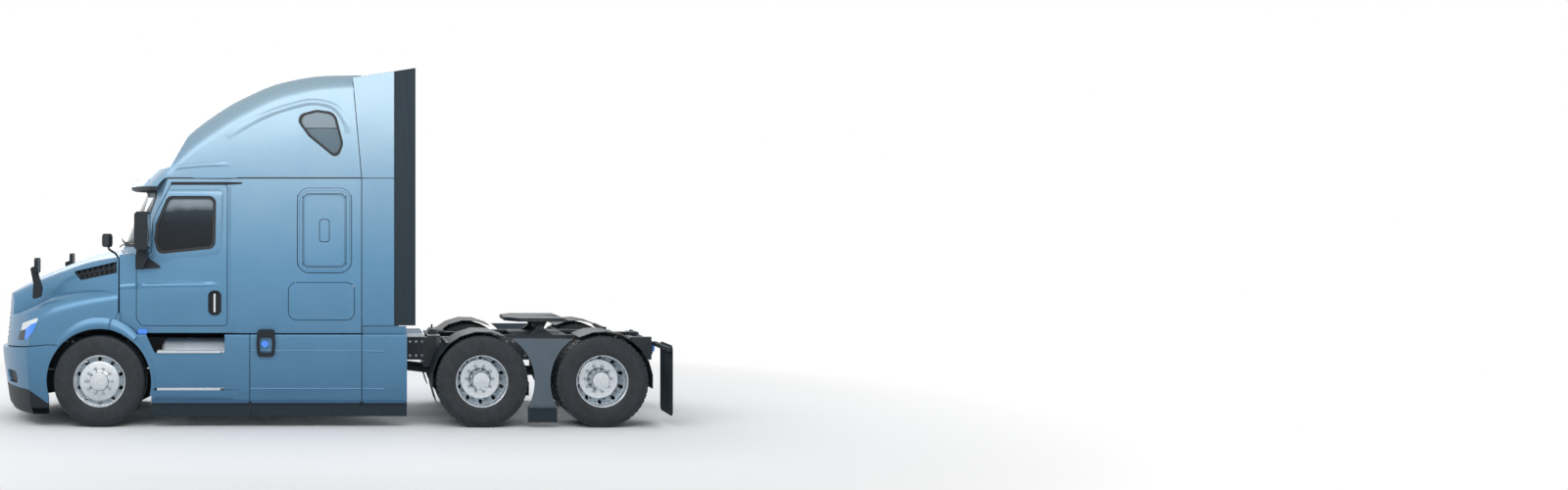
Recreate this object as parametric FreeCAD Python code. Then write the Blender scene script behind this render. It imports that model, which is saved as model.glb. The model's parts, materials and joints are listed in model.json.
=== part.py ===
import FreeCAD, Part
import math
import os

from FreeCAD import Vector
from functools import lru_cache

# Main lengths of the vehicle, front is -X, driver's side is -Y
WHEELBASE = 4860.0
TANDEM_SPACING = 1321.0
BUMPER_TO_FRONT_AXLE = 1280.0
TANDEM_TO_TAIL = 1430.0
OVERALL_HEIGHT = 3950.0
CAB_HALF_WIDTH = 1150.0
SLEEPER_HALF_WIDTH = 1195.0
FAIRING_HALF_WIDTH = 1235.0
FRAME_TOP_Z = 930.0
FRAME_HALF_WIDTH = 430.0
RUNNING_GAP = 7.0
SEAT_GAP = 0.3
PIN_CLEARANCE = 0.05
OVERRUN = 60.0
FLATNESS = 0.0000001

# Tyres and rims
TYRE_DIAMETER = 1010.0
TYRE_WIDTH = 275.0
TYRE_SIDES = 24
ROD_SIDES = 10
DRUM_SIDES = 20
ARCH_SIDES = 40
ROUNDING_CHORDS = 3
TYRE_SHARES = [
    (-0.86, 0.0), (-1.0, 0.45), (-0.84, 0.93), (-0.72, 1.0), (0.72, 1.0), (0.84, 0.93), (1.0, 0.45), (0.86, 0.0)]
RIM_RADIUS = 286.0
RIM_WIDTH = 210.0
RIM_WALL = 12.0
DISC_THICKNESS = 14.0
DISC_DISH = 62.0
DRUM_RADIUS = 195.0
HUB_CAP_RADIUS = 105.0
HUB_CAP_LENGTH = 37.0
DISC_FACE_RADIUS = 216.0
FRONT_TRACK_HALF = 1062.0
DUAL_OUTER_HALF = 1090.0
DUAL_SPACING = 343.0
SPINDLE_RADIUS = 45.0
ARCH_RADIUS = 578.0

# Frame rails and crossmembers
RAIL_HEIGHT = 260.0
RAIL_FLANGE = 85.0
RAIL_WEB = 9.0
RAIL_FRONT_SETBACK = 235.0
RAIL_TAIL_SETBACK = 70.0
RAIL_PLATE_X = 1085.0
RAIL_PLATE_LENGTH = 157.0
RAIL_PLATE_HEIGHT = 340.0
RAIL_PLATE = 12.0
CROSSMEMBER_LENGTH = 130.0
CROSSMEMBER_HEIGHT = 190.0
CROSSMEMBER_WALL = 12.0
CROSSMEMBER_SHARES = [0.012, 0.54, 0.665, 0.82, 0.985]

# Engine, radiator and drive line
ENGINE_LENGTH = 960.0
ENGINE_HALF_WIDTH = 290.0
ENGINE_BOTTOM_Z = 640.0
ENGINE_TOP_Z = 1520.0
ENGINE_BEHIND_AXLE = 190.0
ENGINE_FOOT_HEIGHT = 60.0
ENGINE_FOOT_LENGTH = 120.0
GEARBOX_LENGTH = 1250.0
GEARBOX_HALF_WIDTH = 210.0
GEARBOX_HEIGHT = 430.0
RADIATOR_THICKNESS = 110.0
RADIATOR_HALF_WIDTH = 410.0
RADIATOR_TOP_Z = 1330.0
RADIATOR_TO_AXLE = 800.0
DRIVESHAFT_RADIUS = 55.0
JOINT_YOKE_RADIUS = 82.0
JOINT_YOKE_LENGTH = 120.0

# Front axle, steering and springs
AXLE_BEAM_DEPTH = 110.0
AXLE_BEAM_HEIGHT = 95.0
AXLE_BEAM_DROP = 70.0
KINGPIN_HALF_TRACK = 870.0
KINGPIN_RADIUS = 24.0
KINGPIN_HEIGHT = 230.0
KINGPIN_BOSS_RADIUS = 52.0
KINGPIN_BOSS_HEIGHT = 118.0
KNUCKLE_LUG_HEIGHT = 44.0
KNUCKLE_PLATE = 46.0
STEER_ARM_LENGTH = 190.0
STEER_ARM_THICKNESS = 30.0
TIE_ROD_RADIUS = 19.0
TIE_ROD_EYE_RADIUS = 34.0
TIE_ROD_PIN_RADIUS = 13.0
LEAF_WIDTH = 90.0
LEAF_STACK = 60.0
LEAF_LENGTH = 1300.0
LEAF_CAMBER = 70.0

# Drive axles and rear suspension
AXLE_TUBE_RADIUS = 78.0
DIFF_RADIUS = 235.0
DIFF_LENGTH = 300.0
AIR_SPRING_RADIUS = 110.0
AIR_SPRING_OFFSET = 300.0
ARM_WIDTH = 80.0
ARM_THICKNESS = 45.0
ARM_HANGER_OFFSET = 420.0
HANGER_LENGTH = 130.0

# Fuel tanks
TANK_RADIUS = 315.0
TANK_CENTRE_Y = 850.0
TANK_CENTRE_Z = 640.0
TANK_FRONT_X = -1850.0
TANK_LENGTH = 2560.0
TANK_BRACKET_WIDTH = 60.0
TANK_BRACKET_SHARES = [0.12, 0.5, 0.88]

# Bumper and its valance
BUMPER_TOP_FRONT_Z = 827.0
BUMPER_TOP_SIDE_Z = 903.0
BUMPER_BOTTOM_Z = 142.0
BUMPER_WALL = 26.0
BUMPER_RAKE = 127.0
BUMPER_DRAFT_SHARES = [(0.0, 1.0), (0.1, 0.63), (0.31, 0.45), (0.6, 0.22), (0.93, 0.0), (1.25, 0.0)]
NOSE_RADIUS = 1727.0
NOSE_SIDE_HALF_WIDTH = 1300.0
NOSE_CHORDS = 14
VALANCE_FRONT_Z = 440.0
VALANCE_REAR_Z = 265.0
SLOT_HALF_WIDTH = 150.0
SLOT_CENTRE_Y = 830.0
SLOT_CENTRE_Z = 530.0
SLOT_HEIGHT = 140.0
INTAKE_HALF_WIDTH = 430.0
INTAKE_CENTRE_Z = 545.0
INTAKE_HEIGHT = 190.0
TOW_SOCKET_X = -3660.0
TOW_SOCKET_Z = 560.0
TOW_SOCKET_RADIUS = 25.0
TOW_SOCKET_WALL = 17.0
TOW_SOCKET_DEPTH = 80.0
BUMPER_LIP = 95.0

# Hood
HOOD_NOSE_SETBACK = 45.0
HOOD_LEAN = 50.0
HOOD_LEAN_HEIGHT = 565.0
HOOD_REAR_X = -2300.0
HOOD_WALL = 22.0
HOOD_BASE_Z = 690.0
HOOD_SEAM_SLANT = 88.0
HOOD_SEAM_KNEE_Z = 1256.0
HOOD_ARCH_END_Z = 1050.0
FENDER_NOSE_HALF_WIDTH = 1075.0
FENDER_HALF_WIDTH = 1203.0
FENDER_TOP_Z = 1590.0
HOOD_TOP_Z = 1940.0
HOOD_NOSE_TOP_Z = 1400.0
HOOD_NOSE_HALF_WIDTH = 640.0
FENDER_SHARES = [
    (0.0, 0.0, 0.53, 0.24),
    (0.32, 0.72, 0.76, 0.2),
    (0.52, 0.98, 0.9, 0.18),
    (0.76, 1.0, 0.97, 0.15),
    (1.0, 0.8, 1.0, 0.12),
]
CREST_SHARES = [
    (0.0, 0.0, 0.0, 0.26),
    (0.13, 0.14, 0.2, 0.27),
    (0.43, 0.38, 0.58, 0.25),
    (0.78, 0.8, 0.9, 0.17),
    (1.0, 1.0, 1.0, 0.11),
]
CROWN_SHARE = 0.055
HOOD_STATIONS = 8
CORNER_CHORDS = 4
CROWN_CHORDS = 6
HINGE_OFFSET_Y = 330.0
HINGE_RADIUS = 14.0
HINGE_PIN_RADIUS = 7.0
HINGE_WIDTH = 42.0
HINGE_EAR = 14.0
HINGE_SIDE_GAP = 1.0
HINGE_CLEAR = 6.0
HOOD_HINGE_LIFT = 25.0

# Grille, vents and headlights
GRILLE_BOTTOM_Z = 895.0
GRILLE_TOP_Z = 1330.0
GRILLE_BOTTOM_HALF = 560.0
GRILLE_TOP_HALF = 500.0
GRILLE_CORNER = 60.0
GRILLE_RIM = 26.0
GRILLE_SLATS = 7
GRILLE_SLAT_SHARE = 0.3
GRILLE_DEPTH = 30.0
VENT_LENGTH = 518.0
VENT_HEIGHT = 212.0
VENT_FRONT_X = -2833.0
VENT_BASE_Z = 1607.0
VENT_SHARES = [(0.0, 0.44), (1.0, 1.0), (1.0, 0.41), (0.18, 0.0)]
VENT_SLATS = 7
VENT_ROWS = 2
VENT_ENDS_SHARE = 0.05
VENT_ROW_SHARES = [0.16, 0.84]
VENT_SLOT_SHARES = [0.12, 0.78]
LAMP_FRONT_X = -3445.0
LAMP_LENGTH = 280.0
LAMP_BASE_Z = 938.0
LAMP_HEIGHT = 275.0
LAMP_SHARES = [(0.0, 0.02), (0.22, 0.72), (1.0, 1.0), (0.77, 0.42), (0.45, 0.06)]
LAMP_DEPTH = 70.0

# Hood mirrors
HOOD_STALK_X = -3272.0
HOOD_STALK_Y = 960.0
HOOD_STALK_FOOT_Z = 1270.0
HOOD_STALK_REACH = 75.0
HOOD_STALK_ELBOW_Z = 1560.0
HOOD_STALK_SPREAD = 130.0
HOOD_STALK_TOP_Z = 1765.0
HOOD_STALK_RADIUS = 13.0
HOOD_HEAD_THICKNESS = 45.0
HOOD_HEAD_WIDTH = 170.0
HOOD_HEAD_HEIGHT = 170.0
HOOD_SQUARE_X = -2420.0
HOOD_SQUARE_Y = 1130.0
HOOD_SQUARE_Z = 2050.0
HOOD_SQUARE_SIZE = 150.0
HOOD_SQUARE_REACH = 70.0
HOOD_SQUARE_FOOT_Y = 1040.0
HOOD_SQUARE_FOOT_Z = 1820.0

# Cab and sleeper
CAB_FLOOR_Z = 1035.0
CAB_BELT_Z = 1895.0
CAB_SEAM_Z = 2738.0
CAB_WALL = 45.0
COWL_X = -2293.0
COWL_BOW = 8.0
SCREEN_CHORDS = 12
SCREEN_BASE_X = -2412.0
SCREEN_BASE_SIDE_X = -2010.0
SCREEN_TOP_X = -2045.0
SCREEN_TOP_SIDE_X = -1752.0
CAB_TOP_HALF_WIDTH = 1122.0
SLEEPER_TOP_HALF_WIDTH = 1180.0
SLEEPER_STEP_X = -1098.0
SLEEPER_STEP_LENGTH = 150.0
CAB_REAR_X = 370.0
SCREEN_BOTTOM_Z = 1985.0
SCREEN_TOP_Z = 2600.0
SCREEN_BOTTOM_HALF = 1030.0
SCREEN_TOP_HALF = 985.0
SCREEN_CORNER = 110.0
GLASS_THICKNESS = 8.0
EMBOSS_HEIGHT = 11.0
EMBOSS_FRONT_X = -317.0
EMBOSS_LENGTH = 567.0
EMBOSS_BASE_Z = 1706.0
EMBOSS_HEIGHT_Z = 900.0
EMBOSS_FRAMES = [(567.0, 900.0, 46.0, 120.0), (107.0, 246.0, 16.0, 30.0)]

# Roof fairing and visor
ROOF_NOSE_X = -2010.0
ROOF_HALF_WIDTH = 1180.0
ROOF_NOSE_HALF_WIDTH = 1000.0
ROOF_WALL = 30.0
ROOF_STATIONS = 12
ROOF_CROWDING = 1.4
ROOF_LEAN_SHARE = 0.65
ROOF_SHARES = [
    (0.0, 0.0, 0.07, 0.3),
    (0.06, 0.35, 0.17, 0.3),
    (0.14, 0.56, 0.37, 0.28),
    (0.27, 0.74, 0.585, 0.27),
    (0.45, 0.92, 0.795, 0.24),
    (0.64, 0.98, 0.938, 0.2),
    (0.83, 1.0, 0.994, 0.17),
    (1.0, 1.0, 1.0, 0.15),
]
ROOF_WINDOW_FRONT_X = -352.0
ROOF_WINDOW_LENGTH = 517.0
ROOF_WINDOW_BASE_Z = 2955.0
ROOF_WINDOW_HEIGHT = 520.0
ROOF_WINDOW_SHARES = [(0.0, 0.88), (0.45, 1.0), (0.83, 0.95), (1.0, 0.3), (0.88, 0.0), (0.3, 0.47)]
ROOF_WINDOW_CORNER = 45.0
VISOR_FRONT_X = -2300.0
VISOR_BACK_X = -1940.0
VISOR_FRONT_Z = 2600.0
VISOR_HEIGHT = 290.0
VISOR_HALF_WIDTH = 1085.0
VISOR_RADIUS = 1900.0
VISOR_STATIONS = 16
VISOR_SHARES = [
    (0.0, 0.07), (0.0, 0.19), (0.2, 0.45), (0.55, 0.85), (0.78, 1.0), (1.0, 1.0), (1.0, 0.82), (0.72, 0.8),
    (0.3, 0.3), (0.14, 0.0)]
MARKER_LENGTH = 90.0
MARKER_HEIGHT = 60.0
MARKER_DEPTH = 45.0
VISOR_LAMP_WIDTH = 110.0
VISOR_LAMP_LENGTH = 84.0
VISOR_LAMP_BASE_Z = 2674.0
VISOR_LAMP_HEIGHT = 104.0
VISOR_LAMPS_Y = [0.0, 300.0, 900.0]

# Side extenders
EXTENDER_THICKNESS = 28.0
EXTENDER_INSET = 12.0
EXTENDER_TOP_FRONT_Z = 3838.0
EXTENDER_TOP_REAR_Z = 3946.0
EXTENDER_BOTTOM_Z = 1117.0
EXTENDER_TOP_FRONT_X = 278.0
EXTENDER_FRONT_X = 377.0
EXTENDER_KNEE_Z = 2755.0
EXTENDER_PAINT_REAR_X = 732.0
EXTENDER_REAR_X = 967.0
EXTENDER_RUBBER_THICKNESS = 14.0

# Cab doors
DOOR_FRONT_X = -2098.0
DOOR_REAR_X = -1106.0
DOOR_BOTTOM_Z = 1117.0
DOOR_TOP_Z = 2664.0
DOOR_THICKNESS = 45.0
DOOR_OUTLINE_SHARES = [(0.0, 0.05), (0.055, 0.0), (1.0, 0.0), (1.0, 1.0), (0.38, 1.0), (0.195, 0.772), (0.177, 0.74), (0.167, 0.503), (0.0, 0.503)]
DOOR_CORNER = 38.0
WINDOW_SHARES = [(0.232, 0.505), (0.193, 0.61), (0.21, 0.72), (0.345, 0.92), (0.883, 0.92), (0.873, 0.546)]
WINDOW_CORNER = 45.0
DOOR_HINGE_RADIUS = 11.0
DOOR_HINGE_PIN_RADIUS = 5.0
DOOR_HINGE_HEIGHT = 70.0
DOOR_HINGE_SHARES = [0.13, 0.4]
HANDLE_FRONT_X = -1312.0
HANDLE_LENGTH = 144.0
HANDLE_BASE_Z = 1228.0
HANDLE_HEIGHT = 274.0
HANDLE_RECESS = 26.0
HANDLE_BAR_RADIUS = 13.0
MIRROR_FRONT_X = -2080.0
MIRROR_LENGTH = 147.0
MIRROR_BASE_Z = 1957.0
MIRROR_HEIGHT = 412.0
MIRROR_INNER_Y = 1240.0
MIRROR_WIDTH = 250.0
MIRROR_CORNER = 38.0
MIRROR_FOOT_Z = 1735.0
MIRROR_FOOT_HEIGHT = 135.0
MIRROR_FOOT_LENGTH = 240.0
MIRROR_FOOT_THICKNESS = 55.0
MIRROR_ARM_RADIUS = 34.0

# Luggage doors
LUGGAGE_FRONT_X = -424.0
LUGGAGE_LENGTH = 717.0
LUGGAGE_BASE_Z = 1181.0
LUGGAGE_HEIGHT = 407.0
LUGGAGE_CORNER = 90.0

# Side fairings, skirts and steps
FAIRING_TOP_Z = 1022.0
FAIRING_BOTTOM_Z = 264.0
FAIRING_REAR_X = 871.0
FAIRING_SEAM_FRONT_X = -849.0
FAIRING_SEAM_REAR_X = 376.0
FAIRING_SEAM_GAP = 8.0
FAIRING_WALL = 24.0
FAIRING_TUCK = 42.0
FAIRING_BRACKET_WIDTH = 24.0
FAIRING_BRACKET_HEIGHT = 38.0
FAIRING_SECTION_SHARES = [(1.0, 0.0), (0.25, 0.06), (0.0, 0.22), (0.0, 0.55), (0.15, 0.76), (0.15, 1.0)]
SKIRT_BOTTOM_Z = 122.0
SKIRT_THICKNESS = 12.0
SKIRT_INSET = 30.0
STEP_FRONT_X = -1922.0
STEP_LENGTH = 813.0
STEP_UPPER_Z = 843.0
STEP_LOWER_Z = 436.0
STEP_DEPTH = 140.0
STEP_THICKNESS = 22.0
STEP_BULGE = 26.0
STEP_BULGE_BOTTOM_Z = 322.0
STEP_OPENING_CORNER = 30.0
STEP_SLANT = 120.0
FILLER_FRONT_X = -780.0
FILLER_LENGTH = 220.0
FILLER_BASE_Z = 790.0
FILLER_HEIGHT = 290.0
FILLER_STANDOUT = 34.0
FILLER_CAP_RADIUS = 36.0
FILLER_CAP_LENGTH = 30.0

# Rear deck, hose stand and fifth wheel
DECK_FRONT_X = 640.0
DECK_LENGTH = 470.0
DECK_HALF_WIDTH = 410.0
DECK_THICKNESS = 34.0
STAND_X = 1140.0
STAND_LENGTH = 150.0
STAND_HALF_WIDTH = 170.0
STAND_HEIGHT = 72.0
STAND_HANDLE_HEIGHT = 46.0
STAND_HANDLE_LENGTH = 60.0
STAND_HANDLE_RADIUS = 9.0
GLADHAND_RADIUS = 22.0
GLADHAND_LENGTH = 60.0
GLADHAND_SPACING = 100.0
FIFTH_WHEEL_X = 2440.0
FIFTH_WHEEL_TOP_Z = 1150.0
FIFTH_WHEEL_LENGTH = 800.0
FIFTH_WHEEL_HALF_WIDTH = 470.0
FIFTH_WHEEL_PLATE = 42.0
FIFTH_WHEEL_RAMP = 150.0
FIFTH_WHEEL_THROAT_RADIUS = 26.0
FIFTH_WHEEL_PIVOT_DROP = 125.0
FIFTH_WHEEL_PIVOT_RADIUS = 24.0
FIFTH_WHEEL_LUG_RADIUS = 50.0
FIFTH_WHEEL_LUG_WIDTH = 46.0
FIFTH_WHEEL_LUG_Y = 300.0
FIFTH_WHEEL_BASE_LENGTH = 620.0
FIFTH_WHEEL_SLIDE_LENGTH = 1150.0
FIFTH_WHEEL_SLIDE_HEIGHT = 26.0

# Drive wheel fenders, axle fairings, mud flaps and tail lamps
FENDER_RADIUS = 545.0
FENDER_THICKNESS = 8.0
FENDER_INNER_Y = 590.0
FENDER_OUTER_Y = 1225.0
FENDER_FRONT_ANGLES = (62.0, 205.0)
FENDER_REAR_ANGLES = (-8.0, 118.0)
AXLE_FAIRING_TOP_Z = 972.0
AXLE_FAIRING_BOTTOM_Z = 208.0
AXLE_SKIRT_BOTTOM_Z = 60.0
AXLE_FAIRING_WALL = 20.0
AXLE_FAIRING_ARCH = 575.0
FLAP_HALF_WIDTH = 305.0
FLAP_THICKNESS = 10.0
FLAP_BOTTOM_Z = 122.0
FLAP_TOP_Z = 900.0
FLAP_CORNER = 60.0
FLAP_HANGER_RADIUS = 22.0
TAIL_LAMP_RADIUS = 52.0
TAIL_LAMP_DEPTH = 45.0
TAIL_LAMP_SPACING = 135.0
TAIL_LAMP_PLATE = 12.0

# Seats and dashboard
SEAT_CENTRE_Y = 520.0
SEAT_FRONT_X = -1640.0
SEAT_DEPTH = 500.0
SEAT_WIDTH = 520.0
SEAT_CUSHION_HEIGHT = 130.0
SEAT_BASE_HEIGHT = 360.0
SEAT_BACK_HEIGHT = 760.0
SEAT_BACK_THICKNESS = 130.0
SEAT_CORNER = 45.0
DASH_DEPTH = 430.0
DASH_HEIGHT = 320.0
DASH_HALF_WIDTH = 1040.0
STEERING_WHEEL_RADIUS = 235.0
STEERING_RIM_RADIUS = 15.0
STEERING_COLUMN_LENGTH = 340.0
STEERING_COLUMN_RADIUS = 32.0
STEERING_TILT_ANGLE = 35.0

# Places that follow from the lengths above
LENGTH = BUMPER_TO_FRONT_AXLE + WHEELBASE + TANDEM_TO_TAIL
FRONT_X = -LENGTH / 2
TAIL_X = LENGTH / 2
FRONT_AXLE_X = FRONT_X + BUMPER_TO_FRONT_AXLE
TANDEM_X = FRONT_AXLE_X + WHEELBASE
DRIVE_AXLES_X = [TANDEM_X - TANDEM_SPACING / 2, TANDEM_X + TANDEM_SPACING / 2]
TYRE_RADIUS = TYRE_DIAMETER / 2
AXLE_Z = TYRE_RADIUS
FRAME_BOTTOM_Z = FRAME_TOP_Z - RAIL_HEIGHT
HOOD_NOSE_X = FRONT_X + HOOD_NOSE_SETBACK
HOOD_HINGE_Z = BUMPER_TOP_FRONT_Z + HOOD_HINGE_LIFT
HOOD_HINGE_X = HOOD_NOSE_X
TAIL_LAMP_PLATE_X = TAIL_X - RAIL_TAIL_SETBACK


# Small helpers for wires and solids

def block(x0, x1, y0, y1, z0, z1):
    return Part.makeBox(x1 - x0, y1 - y0, z1 - z0, Vector(x0, y0, z0))


def rod(radius, start, end):
    line = end - start
    return Part.makeCylinder(radius, line.Length, start, line)


def fuse_all(shapes):
    whole = shapes[0].multiFuse(shapes[1:]) if len(shapes) > 1 else shapes[0]
    return whole.removeSplitter()


def mirrored(shape):
    return shape.mirror(Vector(0, 0, 0), Vector(0, 1, 0))


def both_sides(shapes):
    return shapes + [mirrored(shape) for shape in shapes]


def on_side(shape, side):
    return shape if side < 0 else mirrored(shape)


def share_points(shares, x0, z0, length, height):
    return [(x0 + length * a, z0 + height * b) for a, b in shares]


def arc_points(start, middle, end, chords):
    return Part.Arc(start, middle, end).toShape().discretize(Number=chords + 1)


def rounded_corner(before, corner, after, radius):
    back = (before - corner).normalize()
    ahead = (after - corner).normalize()
    half = back.getAngle(ahead) / 2
    reach = min((before - corner).Length, (after - corner).Length) / 2.2
    trim = min(radius / math.tan(half), reach)
    if trim <= 0 or half > math.pi / 2.05:
        return [corner]
    bow = trim * math.tan(half)
    middle = corner + (back + ahead).normalize() * (bow / math.sin(half) - bow)
    return arc_points(corner + back * trim, middle, corner + ahead * trim, ROUNDING_CHORDS)


def rounded_wire(points, radius):
    ring = []
    for before, corner, after in zip(points[-1:] + points[:-1], points, points[1:] + points[:1]):
        ring += rounded_corner(before, corner, after, radius)
    return Part.makePolygon(ring + ring[:1])


def side_plate(outline, y0, y1, radius=0):
    wire = rounded_wire([Vector(x, y0, z) for x, z in outline], radius)
    return Part.Face(wire).extrude(Vector(0, y1 - y0, 0))


def plan_plate(outline, z0, z1, radius=0):
    wire = rounded_wire([Vector(x, y, z0) for x, y in outline], radius)
    return Part.Face(wire).extrude(Vector(0, 0, z1 - z0))


def cross_plate(outline, x0, x1, radius=0):
    wire = rounded_wire([Vector(x0, y, z) for y, z in outline], radius)
    return Part.Face(wire).extrude(Vector(x1 - x0, 0, 0))


# Faceted solids: rings of corners joined by flats, split where four corners don't share a plane

def flats(corners):
    ring = [point for i, point in enumerate(corners) if (point - corners[i - 1]).Length > FLATNESS]
    if len(ring) < 3:
        return []
    normal = (ring[1] - ring[0]).cross(ring[2] - ring[0]).normalize()
    if len(ring) == 4 and abs((ring[3] - ring[0]).dot(normal)) > FLATNESS:
        return flats(ring[:3]) + flats([ring[0]] + ring[2:])
    return [Part.Face(Part.makePolygon(ring + ring[:1]))]


def skin(rings, closed=False):
    following = rings[1:] + rings[:1] if closed else rings[1:]
    faces = []
    for first, second in zip(rings, following):
        for i in range(len(first)):
            faces += flats([first[i - 1], first[i], second[i], second[i - 1]])
    if not closed:
        faces += [Part.Face(Part.makePolygon(ring + ring[:1])) for ring in (rings[0], rings[-1])]
    solid = Part.makeSolid(Part.makeShell(faces))
    return solid if solid.Volume > 0 else solid.reversed()


def facet_rod(radius, start, end, sides):
    along = (end - start).normalize()
    across = along.cross(Vector(0, 0, 1))
    across = across.normalize() if across.Length > FLATNESS else Vector(1, 0, 0)
    up = across.cross(along)
    turn = math.pi / sides
    corner = radius / math.cos(turn)
    spokes = []
    for i in range(sides):
        angle = turn * (2 * i + 1) - math.pi / 2
        spokes.append(across * (corner * math.cos(angle)) + up * (corner * math.sin(angle)))
    return skin([[start + spoke for spoke in spokes], [end + spoke for spoke in spokes]])


def wheel_ring(centre_x, y, radius):
    turn = math.pi / TYRE_SIDES
    corner = radius / math.cos(turn)
    ring = []
    for i in range(TYRE_SIDES):
        angle = turn * (2 * i + 1) - math.pi / 2
        ring.append(Vector(centre_x + corner * math.cos(angle), y, AXLE_Z + corner * math.sin(angle)))
    return ring


def wheel_turning(centre_x, profile):
    return skin([wheel_ring(centre_x, y, radius) for y, radius in profile], closed=True)


def smooth_share(table, column, along):
    slopes = [(after[column] - row[column]) / (after[0] - row[0]) for row, after in zip(table, table[1:])]
    leans = [slopes[0]]
    for before, after in zip(slopes, slopes[1:]):
        leans.append(2 * before * after / (before + after) if before * after > 0 else 0)
    leans.append(slopes[-1])
    k = sum(1 for row in table[1:-1] if row[0] <= along)
    first, second = table[k], table[k + 1]
    step = second[0] - first[0]
    t = (along - first[0]) / step
    ease = t * t * (3 - 2 * t)
    bend = t * (1 - t) * ((1 - t) * leans[k] - t * leans[k + 1]) * step
    return first[column] + (second[column] - first[column]) * ease + bend


def write(name, shapes):
    solids = [solid for shape in shapes for solid in shape.Solids]
    Part.makeCompound(solids).exportStep("parts/" + name + ".step")


# Frame rails and crossmembers

def frame_rails():
    x0 = FRONT_X + RAIL_FRONT_SETBACK
    x1 = TAIL_X - RAIL_TAIL_SETBACK
    outer = FRAME_HALF_WIDTH
    inner = FRAME_HALF_WIDTH - RAIL_FLANGE
    rail = block(x0, x1, -outer, -inner, FRAME_BOTTOM_Z, FRAME_TOP_Z)
    hollow = block(
        x0 - OVERRUN, x1 + OVERRUN, -outer + RAIL_WEB, -inner + OVERRUN,
        FRAME_BOTTOM_Z + RAIL_WEB, FRAME_TOP_Z - RAIL_WEB)
    plate = block(
        RAIL_PLATE_X, RAIL_PLATE_X + RAIL_PLATE_LENGTH, -outer - RAIL_PLATE, -outer, FRAME_TOP_Z - RAIL_PLATE_HEIGHT,
        FRAME_TOP_Z)
    return both_sides([fuse_all([rail.cut(hollow), tow_socket(), plate])])


def tow_socket():
    y = -FRAME_HALF_WIDTH + RAIL_FLANGE / 2
    x, z = TOW_SOCKET_X, TOW_SOCKET_Z
    outer = TOW_SOCKET_RADIUS + TOW_SOCKET_WALL
    leg_x = FRONT_X + RAIL_FRONT_SETBACK
    boss = facet_rod(outer, Vector(x, y, z), Vector(leg_x + outer, y, z), DRUM_SIDES)
    leg = block(leg_x, leg_x + 2 * outer, y - outer, y + outer, z - outer, FRAME_BOTTOM_Z)
    bore = rod(TOW_SOCKET_RADIUS, Vector(x, y, z), Vector(x + TOW_SOCKET_DEPTH, y, z))
    return fuse_all([boss, leg]).cut(bore)


def crossmembers():
    x0 = FRONT_X + RAIL_FRONT_SETBACK
    span = TAIL_X - RAIL_TAIL_SETBACK - x0 - CROSSMEMBER_LENGTH
    half = FRAME_HALF_WIDTH - RAIL_WEB
    middle_z = (FRAME_TOP_Z + FRAME_BOTTOM_Z) / 2
    beams = []
    for share in CROSSMEMBER_SHARES:
        x = x0 + span * share
        z0, z1 = middle_z - CROSSMEMBER_HEIGHT / 2, middle_z + CROSSMEMBER_HEIGHT / 2
        beam = block(x, x + CROSSMEMBER_LENGTH, -half, half, z0, z1)
        hollow = block(
            x + CROSSMEMBER_WALL, x + CROSSMEMBER_LENGTH + OVERRUN, -half + CROSSMEMBER_WALL,
            half - CROSSMEMBER_WALL, z0 + CROSSMEMBER_WALL, z1 - CROSSMEMBER_WALL)
        beams.append(beam.cut(hollow))
    return beams + [tail_lamp_plate()]


# Engine block with its gearbox, radiator and drive shafts

def engine_block():
    x1 = FRONT_AXLE_X + ENGINE_BEHIND_AXLE
    x0 = x1 - ENGINE_LENGTH
    x2 = x1 + GEARBOX_LENGTH
    middle_z = (FRAME_TOP_Z + FRAME_BOTTOM_Z) / 2
    engine = block(x0, x1, -ENGINE_HALF_WIDTH, ENGINE_HALF_WIDTH, ENGINE_BOTTOM_Z, ENGINE_TOP_Z)
    half, height = GEARBOX_HALF_WIDTH, GEARBOX_HEIGHT / 2
    low, high = middle_z - height, middle_z + height
    gearbox = cross_plate([(-half, low), (half, low), (half, high), (-half, high)], x1, x2, half / 2)
    feet = []
    for x in (x0 + ENGINE_FOOT_LENGTH, x1 - 2 * ENGINE_FOOT_LENGTH):
        feet.append(block(
            x, x + ENGINE_FOOT_LENGTH, -FRAME_HALF_WIDTH, FRAME_HALF_WIDTH, FRAME_TOP_Z,
            FRAME_TOP_Z + ENGINE_FOOT_HEIGHT))
    return [fuse_all([engine, gearbox] + feet)]


def radiator():
    x0 = FRONT_AXLE_X - RADIATOR_TO_AXLE - RADIATOR_THICKNESS
    x1 = x0 + RADIATOR_THICKNESS
    return [block(x0, x1, -RADIATOR_HALF_WIDTH, RADIATOR_HALF_WIDTH, FRAME_TOP_Z, RADIATOR_TOP_Z)]


def shaft_run(start, end):
    along = (end - start).normalize()
    shaft = facet_rod(DRIVESHAFT_RADIUS, start, end, ROD_SIDES)
    front = facet_rod(JOINT_YOKE_RADIUS, start, start + along * JOINT_YOKE_LENGTH, ROD_SIDES)
    back = facet_rod(JOINT_YOKE_RADIUS, end - along * JOINT_YOKE_LENGTH, end, ROD_SIDES)
    return fuse_all([shaft, front, back])


def drive_shafts():
    gearbox_x = FRONT_AXLE_X + ENGINE_BEHIND_AXLE + GEARBOX_LENGTH
    gearbox_z = (FRAME_TOP_Z + FRAME_BOTTOM_Z) / 2
    nose = DIFF_RADIUS + SEAT_GAP
    front, rear = DRIVE_AXLES_X
    start = Vector(gearbox_x - JOINT_YOKE_RADIUS / 2, 0, gearbox_z)
    reach = 2 * JOINT_YOKE_RADIUS
    flange = block(
        gearbox_x - reach, gearbox_x + SEAT_GAP, -reach, reach, gearbox_z - reach, gearbox_z + reach)
    main = shaft_run(start, Vector(front - nose - JOINT_YOKE_LENGTH / 2, 0, AXLE_Z)).cut(flange)
    link = shaft_run(Vector(front + nose, 0, AXLE_Z), Vector(rear - nose, 0, AXLE_Z))
    return [main, link]


# Front axle beam with kingpin bosses, and the springs that carry the frame

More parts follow.
